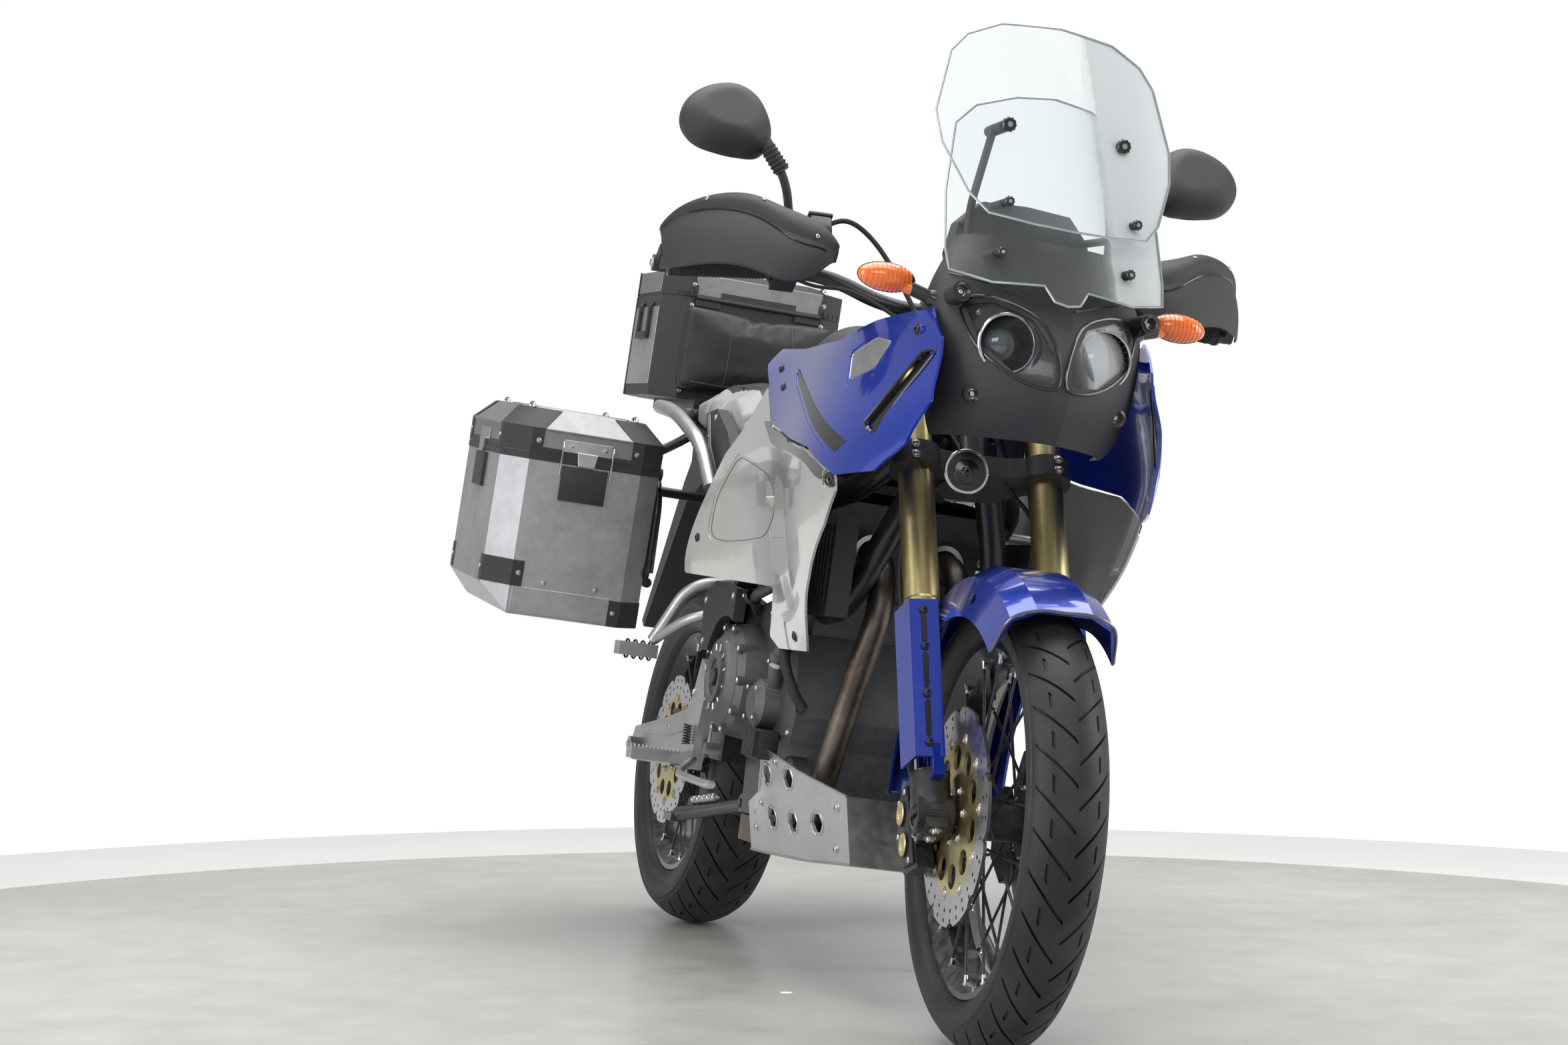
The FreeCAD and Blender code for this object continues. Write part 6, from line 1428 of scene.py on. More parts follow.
class MOTO_OT_engine(bpy.types.Operator):
    """Cover bolts and beads, hose, regulator, clamps, radiator lines, skid plate's beads and bolts"""
    bl_idname = "moto.engine"
    bl_label = "Engine"

    def execute(self, context):
        cast, dark, bright, rubber = meshes(4)
        # clutch cover: bolts on its bosses, filler cap, beads
        clutch, generator = (841, 472), (720, 452)
        for place in circle(-196.2, *clutch, 88, 10):
            bolt(bright, place, (-1, 0, 0), 4.6, 4.0, True, False)
        turned(dark, [(0, 15), (5, 15), (7, 13), (7, 5)], (-210.2, *clutch), (-1, 0, 0), 12)
        for radius, x in ((60, -209.6), (78, -196.6)):
            cord_line(cast, circle(x, *clutch, radius, 48), 1.6, 8, True)
        for a, b in zip(circle(-210.6, *clutch, 40, 12, 0.5), circle(-210.6, *clutch, 57, 12, 0.5)):
            rod(bright, a, b, 2.4, 10, 1.0)
        # generator cover
        for k in range(6):
            angle = math.radians(30 + 60 * k)
            y, z = generator[0] + 72 * math.cos(angle), generator[1] + 72 * math.sin(angle)
            bolt(bright, (186.2, y, z), (1, 0, 0), 4.4, 4.0, True, False)
        for radius in (30, 46):
            cord_line(cast, circle(196.3, *generator, radius, 40), 1.4, 8, True)
        # pump bolts, drain and filter caps
        for k in range(4):
            angle = math.radians(45 + 90 * k)
            bolt(bright, (-188.2, 690 + 34 * math.cos(angle), 440 + 34 * math.sin(angle)), (-1, 0, 0), 3.6,
                 3.4, True, False)
        nut(dark, (-138.2, 620, 334), (-1, 0, 0), 13, 7)
        for side in (-1, 1):
            for y in (600, 660, 715):
                turned(dark, [(0, 7.0), (3, 7.0), (4, 5.5), (4, 3.2), (1.5, 3.0)], (side * 140.2, y, 790),
                       (side, 0, 0), 6)
            for y, z in ((600, 580), (920, 560), (920, 410), (590, 400), (760, 590)):
                bolt(bright, (side * 150.2, y, z), (side, 0, 0), 4.4, 4.0)
            line = [Vector((side * 150.4, y, z)) for y, z in ((575, 398), (760, 392), (942, 396))]
            cord_line(cast, line, 2.0, 8)
        # coolant hose ends and clamps
        for at, ahead in (((-176, 800, 612), (0.2, -1, 0.4)), ((-160, 700, 640), (0, -1, 0)),
                          ((-154, 668, 470), (-0.1, -0.5, 0.8)), ((-164, 646, 510), (-0.1, -0.5, 0.8))):
            turned(bright, [(-4, 13.6), (-4, 14.6), (4, 14.6), (4, 13.6)], at, ahead, 28, False)
            block(bright, Vector(at) + Vector((-18, -3, -3)), Vector(at) + Vector((-12, 3, 3)), 0.6, 1)
        pipe(rubber, [(-150, 640, 600), (-162, 618, 560), (-172, 590, 520), (-160, 560, 470),
                      (-140, 552, 440)], 8.5, 14)
        # regulator with upright fins, below the cylinders at the right
        block(dark, (-186, 622, 352), (-152, 690, 400), 2.5, 2)
        for k in range(8):
            block(dark, (-194, 626 + k * 8, 355), (-185, 629.4 + k * 8, 397), 0.7, 1)
        # fins' bright edges
        for k in range(6):
            z = 620 + 20 * k
            for side in (-1, 1):
                cord_line(cast, [Vector((side * 136.6, y, z + 2)) for y in (572, 620, 680, 740)], 1.0, 6)
        # headers' flanges, studs and clamps
        for side in (-1, 1):
            for t in (0, 1):
                bolt(bright, (side * 62 + (-1, 1)[t] * 31, 560, 700 - 10 * t), (0, -1, 0), 4.6, 6.0, False)
            turned(bright, [(0, 24), (0, 32), (6, 32), (6, 24)], (side * 62, 556, 699), (0, -1, 0), 32, False)
        for at, ahead in (((88, 528, 400), (0.1, 0.4, -0.8)), ((95, 548, 350), (0.06, 0.3, -0.9))):
            turned(bright, [(-5, 22.2), (-5, 23.4), (5, 23.4), (5, 22.2)], at, ahead, 32, False)
        # radiator core lines and its grille
        for k in range(24):
            z = 648 + k * 4
            cord_line(dark, [Vector((146, 389.6, z)), Vector((186, 389.6, z))], 0.9, 6)
        for k in range(9):
            y = 402 + k * 16
            block(dark, (189.6, y, 652), (193, y + 7, 732), 1.0, 1)
            block(dark, (-181, y, 602), (-177.6, y + 7, 732), 1.0, 1)
        pieces("frame", "bike",
               ("engine_cast_beads", cast, "engine_grey", "engine_grey"),
               ("engine_dark_parts", dark, "black_cast", "black_cast"),
               ("engine_bolts", bright, "bright_bolt", "engine_grey"),
               ("engine_hoses", rubber, "black_rubber", "black_rubber"))
        self.skid()
        return {"FINISHED"}

    def skid(self):
        """Beads along the corners and the top edge, rims round the holes, and bolts with washers."""
        weld, steel = meshes(2)
        stations = ((392, 84, 104, 216, 320), (520, 112, 146, 206, 345), (640, 124, 172, 202, 372),
                    (700, 128, 150, 200, 300), (770, 129.2, 145, 198.5, 280))
        for side in (-1, 1):
            low = [(side * a, y, z + 1.5) for y, a, b, z, h in stations]
            cord_line(weld, curve_points(low, 8), 2.0, 8)
            high = [(side * (b + 0.2), y, h) for y, a, b, z, h in stations[:4]]
            cord_line(steel, [Vector(p) for p in high], 2.4, 8)
            for y, z in ((560, 330), (640, 330), (480, 270), (560, 262), (640, 262)):
                ring = []
                for k in range(24):
                    angle = 2 * math.pi * k / 24
                    place, normal = surface("skid_plate", (side * 320, y + 19 * math.cos(angle),
                                                           z + 19 * math.sin(angle)),
                                            (-side, 0, 0))
                    if place is not None and abs(place.x) > 90:
                        ring.append(place + normal * 0.2)
                if len(ring) > 16:
                    cord_line(steel, ring, 1.2, 8, True)
            for y, z in ((420, 300), (600, 352), (690, 282), (730, 240), (430, 236)):
                place, normal = surface("skid_plate", (side * 320, y, z), (-side, 0, 0))
                if place is not None and abs(place.x) > 80:
                    bolt(steel, place + normal * 0.3, normal, 5.2, 3.6)
        piece("skid_welds", weld, "frame", "satin_silver", "bike")
        piece("skid_edges_and_bolts", steel, "frame", "bright_bolt", "bike")


class MOTO_OT_rear(bpy.types.Operator):
    """Swingarm fairing, drive bolts, silencer bands, footrest teeth, springs, shock collars, tail parts"""
    bl_idname = "moto.rear"
    bl_label = "Rear and underside"

    def execute(self, context):
        silver, bright, dark = meshes(3)
        # pressed fairing on the right arm, axle nuts, bolts round the final drive
        for y, z in ((1010, 424), (1160, 400), (1330, 368)):
            bolt(bright, (-146.2, y, z), (-1, 0, 0), 4.6, 3.6)
        prism(silver, [(-146.2, y, z) for y, z in ((1000, 424), (1060, 428), (1340, 379), (1500, 360),
                                                   (1500, 344),
                                                   (1320, 352), (1080, 388), (1006, 392))], (-1.6, 0,
                                                           0), 0.7, 1)
        nut(bright, (-156.2, WHEELBASE, REAR_RADIUS), (-1, 0, 0), 17, 9, 7)
        nut(bright, (168.2, WHEELBASE, REAR_RADIUS), (1, 0, 0), 15, 7, 6)
        for k in range(8):
            angle = 2 * math.pi * k / 8 + 0.2
            bolt(bright, (124.4, WHEELBASE + 88 * math.cos(angle), REAR_RADIUS + 88 * math.sin(angle)),
                 (1, 0, 0), 4.4, 4.0, True, False)
        for a, b in zip(circle(150, WHEELBASE, REAR_RADIUS, 70, 10),
                        circle(124, WHEELBASE, REAR_RADIUS, 90, 10)):
            rod(silver, a, b, 2.2, 8, 0.6)
        rubber = bmesh.new()
        for k in range(9):
            turned(rubber, [(-3, 38.6), (0, 41.0), (3, 38.6)], (126, 1046 + 7 * k, 393.4 - 1.05 * k),
                   (0, 0.988, -0.151), 32, False)
        piece("drive_boot_ribs", rubber, "frame", "black_rubber", "bike")
        # silencer: bands, end cap bolts and clamp
        along = Vector((0, math.cos(math.radians(6)), math.sin(math.radians(6))))
        start = Vector((190, 1200, 440))
        for t, radius in ((70, 53.4), (314, 53.4)):
            turned(bright, [(-5, radius), (-4, radius + 1.0), (4, radius + 1.0), (5, radius)],
                   start + along * t, along, 48, False)
        side_up = along.cross(Vector((1, 0, 0)))
        for k in range(6):
            angle = math.pi * k / 3
            out = Vector((1, 0, 0)) * math.cos(angle) + side_up * math.sin(angle)
            bolt(bright, start + along * 352 + out * 50.2, out, 3.4, 2.6, True, False)
        turned(dark, [(388, 22.4), (392, 23.2), (392, 24.8), (388, 26)], start, along, 40, False)
        turned(bright, [(6, 31), (6, 33.4), (18, 33.4), (18, 31)], start, along, 36, False)
        rod(bright, start + Vector((-8, 12, 36)), start + Vector((10, 12, 36)), 3.6, 10)
        # footrests: teeth, heel plates' bolts, springs and rings, then the two pedals' pads
        for side in (-1, 1):
            for k in range(13):
                x = side * (200 + k * 7)
                block(silver, (x - 1.3, 1021, 333), (x + 1.3, 1027, 338.4), 0.5, 1)
                block(silver, (x - 1.3, 1049, 333), (x + 1.3, 1055, 338.4), 0.5, 1)
            for y, z in ((975, 485), (1030, 440), (1030, 360), (1028, 322)):
                bolt(bright, (side * 190.2, y, z), (side, 0, 0), 5.4, 4.2)
            helix(dark, (side * 199, 1010, 350), (side * 199, 1010, 384), 6.4, 1.5, 7, 6, 12)
            for k in range(4):
                turned(dark, [(-2, 17.0), (0, 18.4), (2, 17.0)], (side * (240 + 14 * k), 1185, 500),
                       (side, 0, 0), 20, False)
        for k in range(6):
            block(dark, (-236, 688 + k * 4, 306.4), (-222, 690 + k * 4, 309), 0.4, 1)
        turned(dark, [(0, 8.6), (2, 9.4), (26, 9.4), (28, 8.6)], (236, 836, 330), (0, 1, 0), 20)
        # side stand and centre stand: springs and pivots, riding on each stand
        stands = (bmesh.new(), bmesh.new())
        helix(stands[0], (176, 812, 288), (200, 826, 200), 6.0, 1.6, 16, 6, 12)
        bolt(stands[0], (183, 800, 300), (1, 0, 0), 7.0, 5.0)
        for side in (-1, 1):
            helix(stands[1], (side * 104, 1108, 262), (side * 112, 1224, 246), 6.0, 1.6, 18, 6, 12)
            bolt(stands[1], (side * 95, 1100, 245), (side, 0, 0), 7.0, 4.0)
        for bm, body in zip(stands, ("side_stand", "centre_stand")):
            piece(body + "_spring", bm, body, "bright_bolt", "bike")
        # rear caliper's bolts and cap
        for y in (1400, 1446):
            bolt(bright, (-108.0, y, 382), (-1, 0, 0), 4.6, 4.0)
        turned(silver, [(0, 13), (2, 13), (3, 11), (3, 5)], (-107.9, 1424, 356), (-1, 0, 0), 28)
        # bolts low on the sides and on the rails, a silver trim, and dark feet on the racks
        for side in (-1, 1):
            for y, z in ((815, 530), (970, 530), (980, 600), (815, 610)):
                bolt(bright, (side * 205.2, y, z), (side, 0, 0), 4.4, 3.2)
            for y, z in ((1090, 800), (1210, 895), (1180, 930)):
                bolt(bright, (side * 178.2, y, z), (side, 0, 0), 4.4, 3.2)
            prism(silver, [(side * 178.2, y, z) for y, z in ((1082, 786), (1200, 868), (1236, 936),
                                                             (1222, 940), (1188, 880),
                                                             (1076, 796))], (side * 1.6, 0, 0), 0.7, 1)
            for y, z in ((1290, 820), (1600, 850), (1290, 640), (1600, 640)):
                turned(dark, [(0, 11), (7, 11.6), (9, 10)], (side * 235.7, y, z), (side, 0, 0), 20)
        pieces("frame", "bike",
               ("rear_silver_parts", silver, "satin_silver", "exhaust_steel"),
               ("rear_bolts", bright, "bright_bolt", "exhaust_steel"),
               ("rear_dark_parts", dark, "black_plastic", "black_plastic"))
        self.shock()
        self.tail()
        return {"FINISHED"}

    def shock(self):
        """Three bright collars near the foot of the shock."""
        a = Vector((0, 1110, 416))
        up = (Vector((0, 985, 757)) - a).normalized()
        coil = bmesh.new()
        for t in range(3):
            turned(coil, [(18 + t * 3, 41), (19 + t * 3, 42), (20 + t * 3, 41)], a, up, 36, False)
        piece("shock_collars", coil, "frame", "bright_bolt", "bike")

    def tail(self):
        """Ribs and a frame on the tail lamp, a round reflector and two bolts on the rear fender."""
        red, dark = meshes(2)
        for k in range(11):
            x = -60 + k * 12
            rod(red, (x, 1712.2, 886), (x, 1712.2, 912), 1.3, 8, 0.3)
        ring = [Vector((x, 1711.5, z)) for x, z in ((-66, 884), (66, 884), (66, 914), (-66, 914))]
        cord_line(dark, ring, 1.8, 8, True)
        turned(red, [(0, 17), (3, 17), (4.4, 15.5), (4.4, 2)], (0, 1846, 700), (0, 0.86, 0.51), 32)
        for x in (-52, 52):
            bolt(dark, (x, 1800, 772), (0, 0.86, 0.51), 4.6, 3.6)
        piece("tail_lens_facets", red, "frame", "red_lens", "bike")
        piece("tail_dark_parts", dark, "frame", "black_plastic", "bike")


class MOTO_OT_seats(bpy.types.Operator):
    """Seats and backrest as padded covers, blown up by a cloth simulation, with their seams"""
    bl_idname = "moto.seats"
    bl_label = "Seats"

    def execute(self, context):
        pads = {}
        for node, voxel, pressure, trim in (("rider_seat", 0.006, 4.0, 0.9),
                                            ("passenger_seat", 0.006, 4.0, 0.9),
                                            ("backrest", 0.005, 4.0, 0.6)):
            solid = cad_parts[node]
            pad = bpy.data.objects.new(node + "_pad", solid.data.copy())
            context.scene.collection.objects.link(pad)
            pad.matrix_world = solid.matrix_world
            pad.data.materials.clear()
            pad.data.materials.append(FINISHES["seat_vinyl" if node == "backrest" else "seat_two_tone"])
            self.cover(context, pad, voxel, pressure, trim)
            pad.data.shade_smooth()
            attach(pad, "frame")
            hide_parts(node)
            pads[node] = pad
        context.view_layer.update()
        self.seams(pads)
        return {"FINISHED"}

    def cover(self, context, pad, voxel, pressure, trim):
        """Remeshed, drawn in a little and blown up under cloth, then smoothed once."""
        context.view_layer.objects.active = pad
        remesh = pad.modifiers.new("remesh", "REMESH")
        remesh.mode = "VOXEL"
        remesh.voxel_size = voxel
        self.keep(pad)
        mesh = pad.data
        normals = [v.normal.copy() for v in mesh.vertices]
        for vertex, normal in zip(mesh.vertices, normals):
            vertex.co -= normal * trim * MM
        cloth = pad.modifiers.new("cloth", "CLOTH")
        cloth.settings.quality = 5
        cloth.settings.mass = 0.4
        cloth.settings.tension_stiffness = 40
        cloth.settings.compression_stiffness = 40
        cloth.settings.bending_stiffness = 6
        cloth.settings.use_pressure = True
        cloth.settings.uniform_pressure_force = pressure
        cloth.settings.effector_weights.gravity = 0.0
        cloth.point_cache.frame_start = 1
        cloth.point_cache.frame_end = 20
        for moment in range(1, 21):
            context.scene.frame_set(moment)
        self.keep(pad)
        context.scene.frame_set(1)

    def keep(self, pad):
        """The modified mesh becomes the object's own."""
        made = bpy.data.meshes.new_from_object(pad.evaluated_get(bpy.context.evaluated_depsgraph_get()))
        pad.modifiers.clear()
        pad.data = made

    def seams(self, pads):
        """Welts along the tops of the seats and the backrest's panel lines, laid on the covers."""
        bm = bmesh.new()
        for sections, node in ((((885, 108), (960, 148), (1050, 154), (1110, 150)), "rider_seat"),
                               (((1114, 150), (1180, 148), (1400, 138), (1560, 118)), "passenger_seat")):
            for side in (-1, 1):
                line = laid([(side * w * 0.62, y, 1200) for y, w in sections], pads[node], (0, 0, -1),
                            (0, 0, 1200), 0.4)
                if len(line) > 2:
                    cord_line(bm, line, 1.7, 8)
            for y in ((930, 1010, 1085) if node == "rider_seat" else (1200, 1300, 1420, 1520)):
                line = laid([(x, y, 1200) for x in range(-90, 91, 15)], pads[node], (0, 0, -1), (0, 0, 1200),
                            0.2)
                if len(line) > 2:
                    cord_line(bm, line, 1.1, 8)
        piece("seat_seams", bm, "frame", "seat_vinyl_grey", "bike")
        bm = bmesh.new()
        lines = [[(x, -90, z) for z in range(30, 172, 20)] for x in (-62, 62)]
        lines.append([(x, -90, 34) for x in range(-128, 129, 16)])
        for points in lines:
            line = laid(points, pads["backrest"], (0, 1, 0), (0, -90, 0), 0.2, "top")
            if len(line) > 2:
                cord_line(bm, line, 1.2, 8)
        piece("backrest_seams", bm, "frame", "seat_vinyl_grey", "top")


PANNIER = (BIKE @ Matrix.Translation(Vector((245.0, 1250.0, 533.0)) * MM)
           @ Matrix.Rotation(math.radians(4.6), 4, "X"))
TOP_CASE = (BIKE @ Matrix.Translation(Vector((0.0, 1655.0, 996.0)) * MM)
            @ Matrix.Rotation(math.radians(3.0), 4, "X"))
PANNIER_WIDE, PANNIER_DEEP, PANNIER_HIGH = 295.0, 400.0, 290.0
FRAMES.update({"pannier": PANNIER, "top": TOP_CASE})


class CaseSizes(bpy.types.PropertyGroup):
    """Luggage cases"""
    rivet: FloatProperty(name="Rivet", description="Rivet head radius in millimetres", default=3.2, min=1.0,
                         max=8.0)
    bead: FloatProperty(name="Pressed bead", description="Height of the pressed beads in millimetres",
                        default=1.6, min=0.2, max=4.0)


class MOTO_OT_panniers(bpy.types.Operator):
    """Corner caps, screws, hasps, latches, pressed panels and lid loops on the side cases"""
    bl_idname = "moto.panniers"
    bl_label = "Side cases"

    def execute(self, context):
        sizes = context.scene.moto_cases
        for side, label in ((1, "left"), (-1, "right")):
            self.side = side
            black, steel, skin = meshes(3)
            self.body(sizes, black, steel, skin)
            for bm, kind, finish in ((black, "corners", "black_plastic"), (steel, "fittings", "bright_bolt"),
                                     (skin, "panels", "case_aluminium")):
                self.mirror(bm)
                piece("pannier_%s_%s" % (label, kind), bm, "frame", finish, "pannier")
            black, steel, skin = meshes(3)
            self.lid(sizes, black, steel, skin)
            for bm, kind, finish in ((black, "corners", "black_plastic"), (steel, "fittings", "bright_bolt"),
                                     (skin, "panels", "lid_aluminium")):
                self.mirror(bm)
                piece("pannier_lid_%s_%s" % (label, kind), bm, "pannier_lid_" + label, finish, "pannier")
        return {"FINISHED"}

    def mirror(self, bm):
        """The right case is the left one mirrored, so its points change sides."""
        if self.side < 0:
            bmesh.ops.transform(bm, matrix=Matrix.Scale(-1, 4, (1, 0, 0)), verts=bm.verts)
            bmesh.ops.translate(bm, vec=(-490.0, 0, 0), verts=bm.verts)

    def corner(self, bm, x, y, sx, sy, levels, reach=52.0, proud=1.3):
        """A moulded cap folded round an upright chamfered corner, at levels of (z, how far in)."""
        rows = []
        for z, shift in levels:
            cx, cy = x - sx * shift, y + sy * shift
            bare = [(cx, cy + sy * reach), (cx, cy + sy * 45.0), (cx - sx * 45.0, cy), (cx - sx * reach, cy)]
            lifts = [(sx, 0), (sx, -sy * 0.4), (sx * 0.4, -sy), (0, -sy)]
            rows.append([(px + dx * proud, py + dy * proud, z) for (px, py), (dx, dy) in zip(bare, lifts)]
                        + [(px, py, z) for px, py in reversed(bare)])
        loft(bm, rows, True, True)

    def screw(self, bm, at, direction, radius=4.0):
        turned(bm, [(0, radius * 1.5), (0.8, radius * 1.5), (1.0, radius), (2.6, radius * 0.9),
                    (3.2, radius * 0.5), (2.2, radius * 0.35)], at, direction, 14)

    def band(self, bm, wide, deep, low, high, proud=1.2, x0=0.0):
        """A moulded band round all the walls."""
        rows = []
        for z, out in ((low, 0.1), (low + 1.0, proud), (high - 1.0, proud), (high, 0.1)):
            c = 45.0 - out * 0.4
            a, b, d = x0 - out, x0 + wide + out, deep + out
            rows.append([(x0 + 45, -out, z), (b - c, -out, z), (b, c - out, z), (b, d - c, z), (b - c, d, z),
                         (x0 + 45, d, z), (a, d - c, z), (a, c - out, z)])
        loft(bm, rows, True, False)

    def body(self, sizes, black, steel, skin):
        wide, deep, high = PANNIER_WIDE, PANNIER_DEEP, PANNIER_HIGH
        for x, sx in ((0.0, -1), (wide, 1)):
            for y, sy in ((0.0, 1), (deep, -1)):
                low = 50.0 if sx > 0 else 1.0
                self.corner(black, x, y, sx, sy, ((low, 0.0), (low + 46.0, 0.0)), 66.0)
                self.screw(steel, (x - sx * 57, y - sy * 1.4, low + 24), (0, -sy, 0), sizes.rivet)
                self.screw(steel, (x + sx * 1.4, y + sy * 57, low + 24), (sx, 0, 0), sizes.rivet)
        self.band(black, wide, deep, high - 13.0, high - 0.2)
        for x in (95, 190):
            self.screw(steel, (x, -0.2, 62), (0, -1, 0), sizes.rivet)
        prism(skin, [(66, 0.2, 4), (wide - 50, 0.2, 4), (wide - 50, 0.2, 50), (66, 0.2, 50)],
              (0, -sizes.bead, 0), 0.6, 1)
        # dark latch plates on the front and the outer wall
        prism(black, [(105, 0.5, 212), (189, 0.5, 212), (189, 0.5, 274), (105, 0.5, 274)], (0, -6.5, 0), 1.5,
              2)
        prism(black, [(wide - 0.5, 158, 212), (wide - 0.5, 242, 212), (wide - 0.5, 242, 274),
                      (wide - 0.5, 158, 274)],
              (7.0, 0, 0), 1.5, 2)
        # frame pucks on the inner wall
        for y, z in ((90, 90), (310, 90), (90, 245), (310, 245)):
            turned(black, [(0, 15), (5, 15), (6, 13), (6, 5)], (-0.5, y, z), (-1, 0, 0), 24)

    def lid(self, sizes, black, steel, skin):
        wide, deep, base = PANNIER_WIDE, PANNIER_DEEP, PANNIER_HIGH + 0.5
        levels = ((base + 0.3, 0.0), (base + 44.0, 0.0), (base + 79.0, 32.6))
        for x, sx in ((0.0, -1), (wide, 1)):
            for y, sy in ((0.0, 1), (deep, -1)):
                self.corner(black, x, y, sx, sy, levels, 66.0, 1.6)
                self.screw(steel, (x - sx * 57, y - sy * 1.7, base + 22), (0, -sy, 0), sizes.rivet)
                self.screw(steel, (x + sx * 1.7, y + sy * 57, base + 22), (sx, 0, 0), sizes.rivet)
        self.band(black, wide, deep, base + 0.2, base + 11.0)
        # beads between the caps, and the raised top sheet with its step
        top = base + 80.0
        for y, out in ((0.0, -1), (deep, 1)):
            cord_line(skin, [Vector((68, y + out * 0.2, base + 43)),
                             Vector((wide - 68, y + out * 0.2, base + 43))], 2.6, 10)
        cord_line(skin, [Vector((wide + 0.2, 68, base + 43)), Vector((wide + 0.2, deep - 68, base + 43))],
                  2.6, 10)
        rows = []
        for scale, z in ((1.0, top - 0.4), (0.99, top + sizes.bead), (0.9, top + sizes.bead + 0.5),
                         (0.88, top + 0.6), (0.6, top + 0.4)):
            rows.append([(147.5 + x * scale, 200 + y * scale, z)
                         for x, y in ((-86, -120), (-52, -148), (52, -148), (86, -120), (86, 120), (52, 148),
                                      (-52, 148), (-86, 120))])
        loft(skin, rows)
        for x, y in ((52, 78), (243, 78), (52, 322), (243, 322)):
            pipe(steel, [(x, y - 16, top - 2.0), (x, y - 15, top + 4.5), (x, y, top + 7.0),
                         (x, y + 15, top + 4.5), (x, y + 16, top - 2.0)], 2.6, 10, 6)
            for dy in (-20, 20):
                bolt(steel, (x, y + dy, top - 0.2), (0, 0, 1), 3.4, 2.0, True, False)
        # steel hasps with their tongues and bows
        prism(steel, [(x, 0.2, z) for x, z in ((103, base + 8), (191, base + 8), (191, base + 30),
                                               (103, base + 30))],
              (0, -2.6, 0), 0.6, 1)
        prism(steel, [(x, -1.0, z) for x, z in ((132, base - 14), (162, base - 14), (166, base + 10),
                                                (128, base + 10))],
              (0, -6.6, 0), 0.6, 1)
        for x in (101, 193):
            pipe(steel, [(x, -1.5, base + 26), (x, -5.5, base + 14), (x, -6.5, base - 10),
                         (x, -5.5, base - 34)], 1.8, 8, 5)
        for x in (116, 178):
            self.screw(steel, (x, -2.4, base + 20), (0, -1, 0), sizes.rivet)
        prism(steel, [(wide - 0.2, y, z) for y, z in ((156, base + 8), (244, base + 8), (244, base + 30),
                                                      (156, base + 30))],
              (2.8, 0, 0), 0.6, 1)
        prism(steel, [(wide + 1.0, y, z) for y, z in ((185, base - 14), (215, base - 14), (219, base + 10),
                                                      (181, base + 10))],
              (6.6, 0, 0), 0.6, 1)


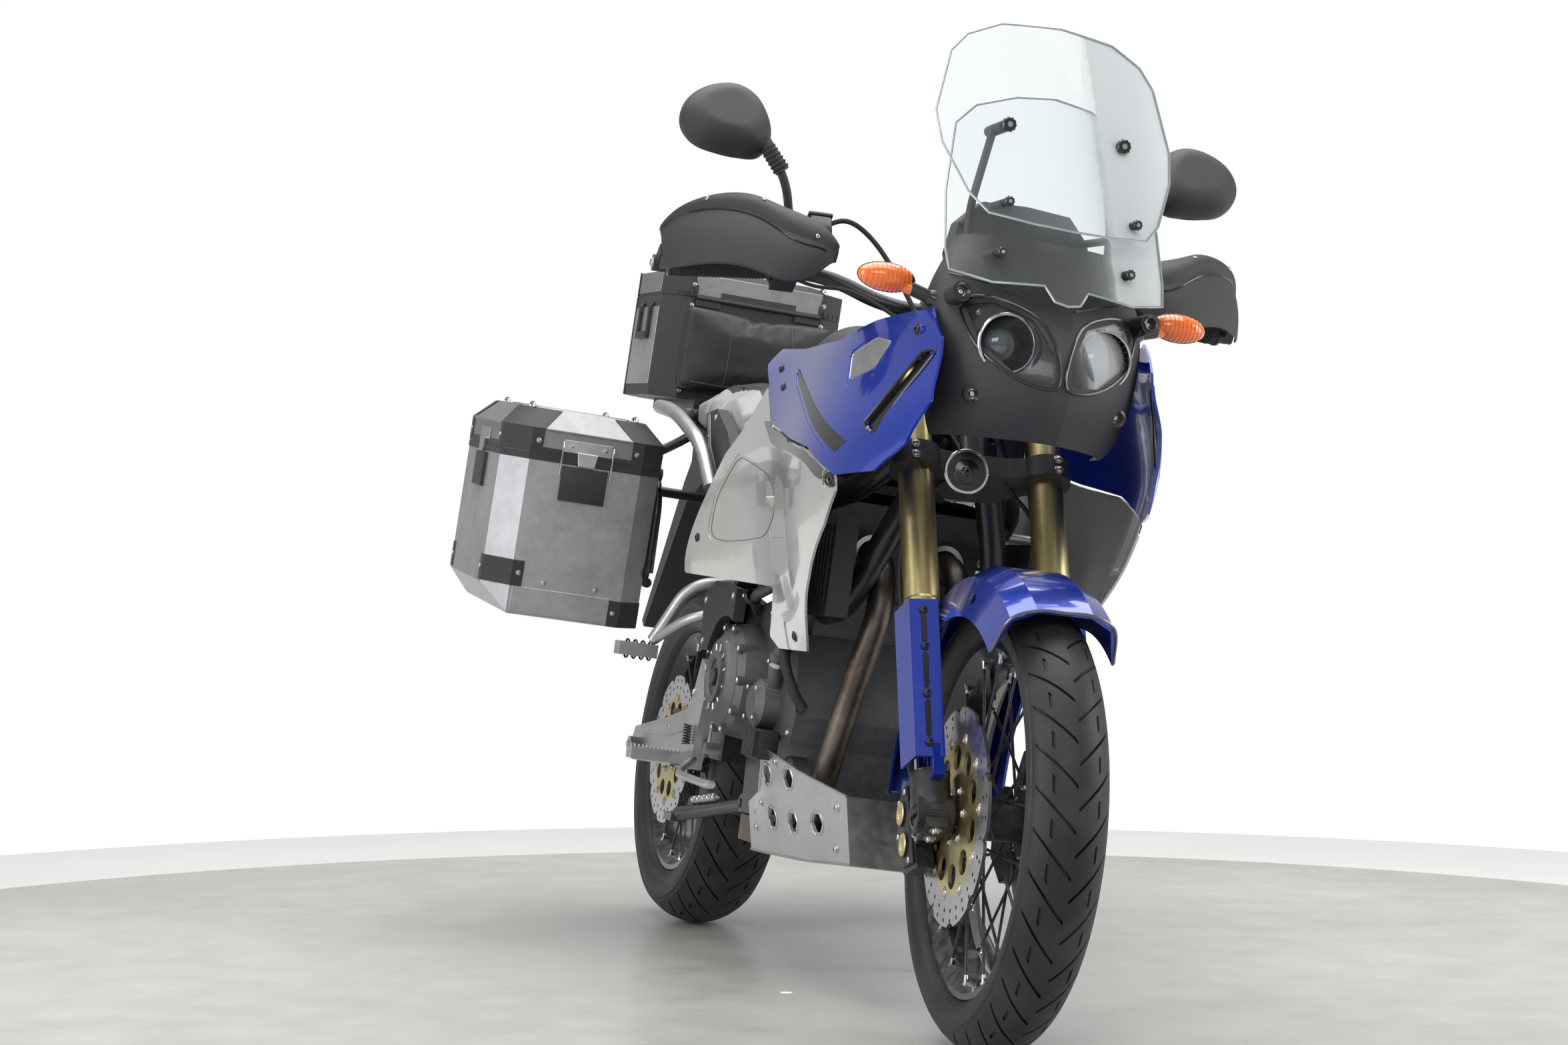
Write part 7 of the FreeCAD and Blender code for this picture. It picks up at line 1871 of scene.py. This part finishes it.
class MOTO_OT_top_case(bpy.types.Operator):
    """Panels, corner caps, handles, lock and feet on the top case and its lid"""
    bl_idname = "moto.top_case"
    bl_label = "Top case"

    def execute(self, context):
        sizes = context.scene.moto_cases
        half, deep, high, lid = 182.0, 300.0, 200.0, 60.0
        skin, black, steel = meshes(3)
        maker = MOTO_OT_panniers
        for x, sx in ((-half, -1), (half, 1)):
            # silver side sheet under an angular carrying handle, posts and clips at the corners
            prism(skin, [(x, 58, 22), (x, 242, 22), (x, 242, 176), (x, 58, 176)], (sx * 1.6, 0, 0), 0.7, 1)
            for y in (112, 188):
                prism(black, [(x + sx * 1, y - 7, 186), (x + sx * 1, y + 7, 186), (x + sx * 9, y + 6, 176),
                              (x + sx * 9, y - 6, 176)], (0, 0, -14), 1.0, 1)
                prism(black, [(x + sx * 2, y - 5, 168), (x + sx * 2, y + 5, 168), (x + sx * 9, y + 5, 164),
                              (x + sx * 9, y - 5, 164)], (0, 0, -52), 1.0, 1)
            block(black, (min(x + sx * 3, x + sx * 9), 106, 112), (max(x + sx * 3, x + sx * 9), 194, 126),
                  2.0, 2)
            for y, sy in ((0.0, 1), (deep, -1)):
                maker.corner(self, black, x, y, sx, sy, ((1.0, 0.0), (high - 0.5, 0.0)), 52.0)
                for z in (16, 100, 184):
                    maker.screw(self, steel, (x - sx * 49, y - sy * 1.4, z), (0, -sy, 0), sizes.rivet)
                    block(black, (x - sx * 54 - 4, min(y, y - sy * 3.4), z + 24),
                          (x - sx * 54 + 4, max(y, y - sy * 3.4), z + 40), 0.8, 1)
        # dark pressed sheet low on the front wall, lock on the rear wall
        prism(black, [(-126, 0, 8), (126, 0, 8), (126, 0, 18), (-126, 0, 18)], (0, -2.0, 0), 0.8, 1)
        block(black, (-34, deep - 1, 140), (34, deep + 6, 192), 3.0, 2)
        block(steel, (-24, deep + 5, 150), (24, deep + 8.5, 182), 2.0, 2)
        turned(steel, [(0, 9), (3, 9), (4, 8), (4, 3), (2, 2.4)], (0, deep + 8.2, 166), (0, 1, 0), 22)
        for x in (-100, 100):
            for y in (40, 210):
                turned(black, [(0, 16), (4, 17), (14, 15)], (x, y, -17), (0, 0, 1), 20)
        pieces("frame", "top",
               ("top_case_panels", skin, "case_aluminium", "case_aluminium"),
               ("top_case_corners", black, "black_plastic", "case_aluminium"),
               ("top_case_fittings", steel, "bright_bolt", "case_aluminium"))
        skin, black, steel = meshes(3)
        base = high + 0.5
        top = base + lid
        ring = [(-146, 78), (-112, 46), (112, 46), (146, 78), (146, 222), (112, 254), (-112, 254),
                (-146, 222)]
        rows = []
        for scale, z in ((1.0, top - 1.2), (0.992, top + 1.2), (0.93, top + 1.8), (0.915, top + 0.4),
                         (0.5, top + 0.2)):
            rows.append([(x * scale, 150 + (y - 150) * scale, z) for x, y in ring])
        loft(skin, rows)
        prism(skin, [(-128, 0.2, base + 5), (128, 0.2, base + 5), (128, 0.2, base + 46),
                     (-128, 0.2, base + 46)],
              (0, -1.8, 0), 0.8, 1)
        for x in (-146, 146):
            for k in range(5):
                block(black, (x - 20 + k * 9, -3.4, base + 1), (x - 15 + k * 9, 0.4, base + 12), 0.9, 1)
        for x, sx in ((-half, -1), (half, 1)):
            prism(skin, [(x, 62, base + 5), (x, 238, base + 5), (x, 238, base + 46), (x, 62, base + 46)],
                  (sx * 1.6, 0, 0), 0.7, 1)
            for y in (72, 228):
                pipe(steel, [(x * 0.82, y - 14, top - 3), (x * 0.82, y - 12, top + 2), (x * 0.82, y, top + 5),
                             (x * 0.82, y + 12, top + 2), (x * 0.82, y + 14, top - 3)], 2.4, 10, 6)
            for y, sy in ((0.0, 1), (deep, -1)):
                maker.corner(self, black, x, y, sx, sy, ((base + 0.3, 0.0), (base + 48.0, 0.0)), 52.0)
                maker.screw(self, steel, (x - sx * 49, y - sy * 1.4, base + 24), (0, -sy, 0), sizes.rivet)
        pieces("top_case_lid", "top",
               ("top_lid_panels", skin, "lid_aluminium", "case_aluminium"),
               ("top_lid_corners", black, "black_plastic", "case_aluminium"),
               ("top_lid_fittings", steel, "bright_bolt", "case_aluminium"))
        return {"FINISHED"}


class MOTO_PT_panel(bpy.types.Panel):
    """Lists the sizes and the steps in the sidebar"""
    bl_idname = "MOTO_PT_panel"
    bl_label = "Touring motorcycle"
    bl_space_type = "VIEW_3D"
    bl_region_type = "UI"
    bl_category = "Motorcycle"

    def draw(self, context):
        for name in GROUPS:
            group = getattr(context.scene, name)
            box = self.layout.box()
            box.label(text=GROUPS[name].__doc__)
            for key in GROUPS[name].__annotations__:
                box.prop(group, key)
        for step in STEPS:
            self.layout.operator(step.bl_idname)


GROUPS = {"moto_colours": MotorcycleColours, "moto_stage": StageSizes, "moto_tyres": TyreSizes,
          "moto_wheels": WheelSizes, "moto_cases": CaseSizes}
STEPS = (
    MOTO_OT_finishes,
    MOTO_OT_stage,
    MOTO_OT_tyres,
    MOTO_OT_wheels,
    MOTO_OT_fork,
    MOTO_OT_bar,
    MOTO_OT_nose,
    MOTO_OT_screens,
    MOTO_OT_body,
    MOTO_OT_fender,
    MOTO_OT_engine,
    MOTO_OT_rear,
    MOTO_OT_seats,
    MOTO_OT_panniers,
    MOTO_OT_top_case,
)


def register():
    for cls in (*GROUPS.values(), *STEPS, MOTO_PT_panel):
        bpy.utils.register_class(cls)
    for name, group in GROUPS.items():
        setattr(bpy.types.Scene, name, PointerProperty(type=group))


def unregister():
    for name in GROUPS:
        delattr(bpy.types.Scene, name)
    for cls in reversed((*GROUPS.values(), *STEPS, MOTO_PT_panel)):
        bpy.utils.unregister_class(cls)


def main():
    """Makes every piece in order."""
    register()
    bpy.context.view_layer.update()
    for step in STEPS:
        group, name = step.bl_idname.split(".")
        getattr(getattr(bpy.ops, group), name)()


if __name__ == "__main__":
    main()
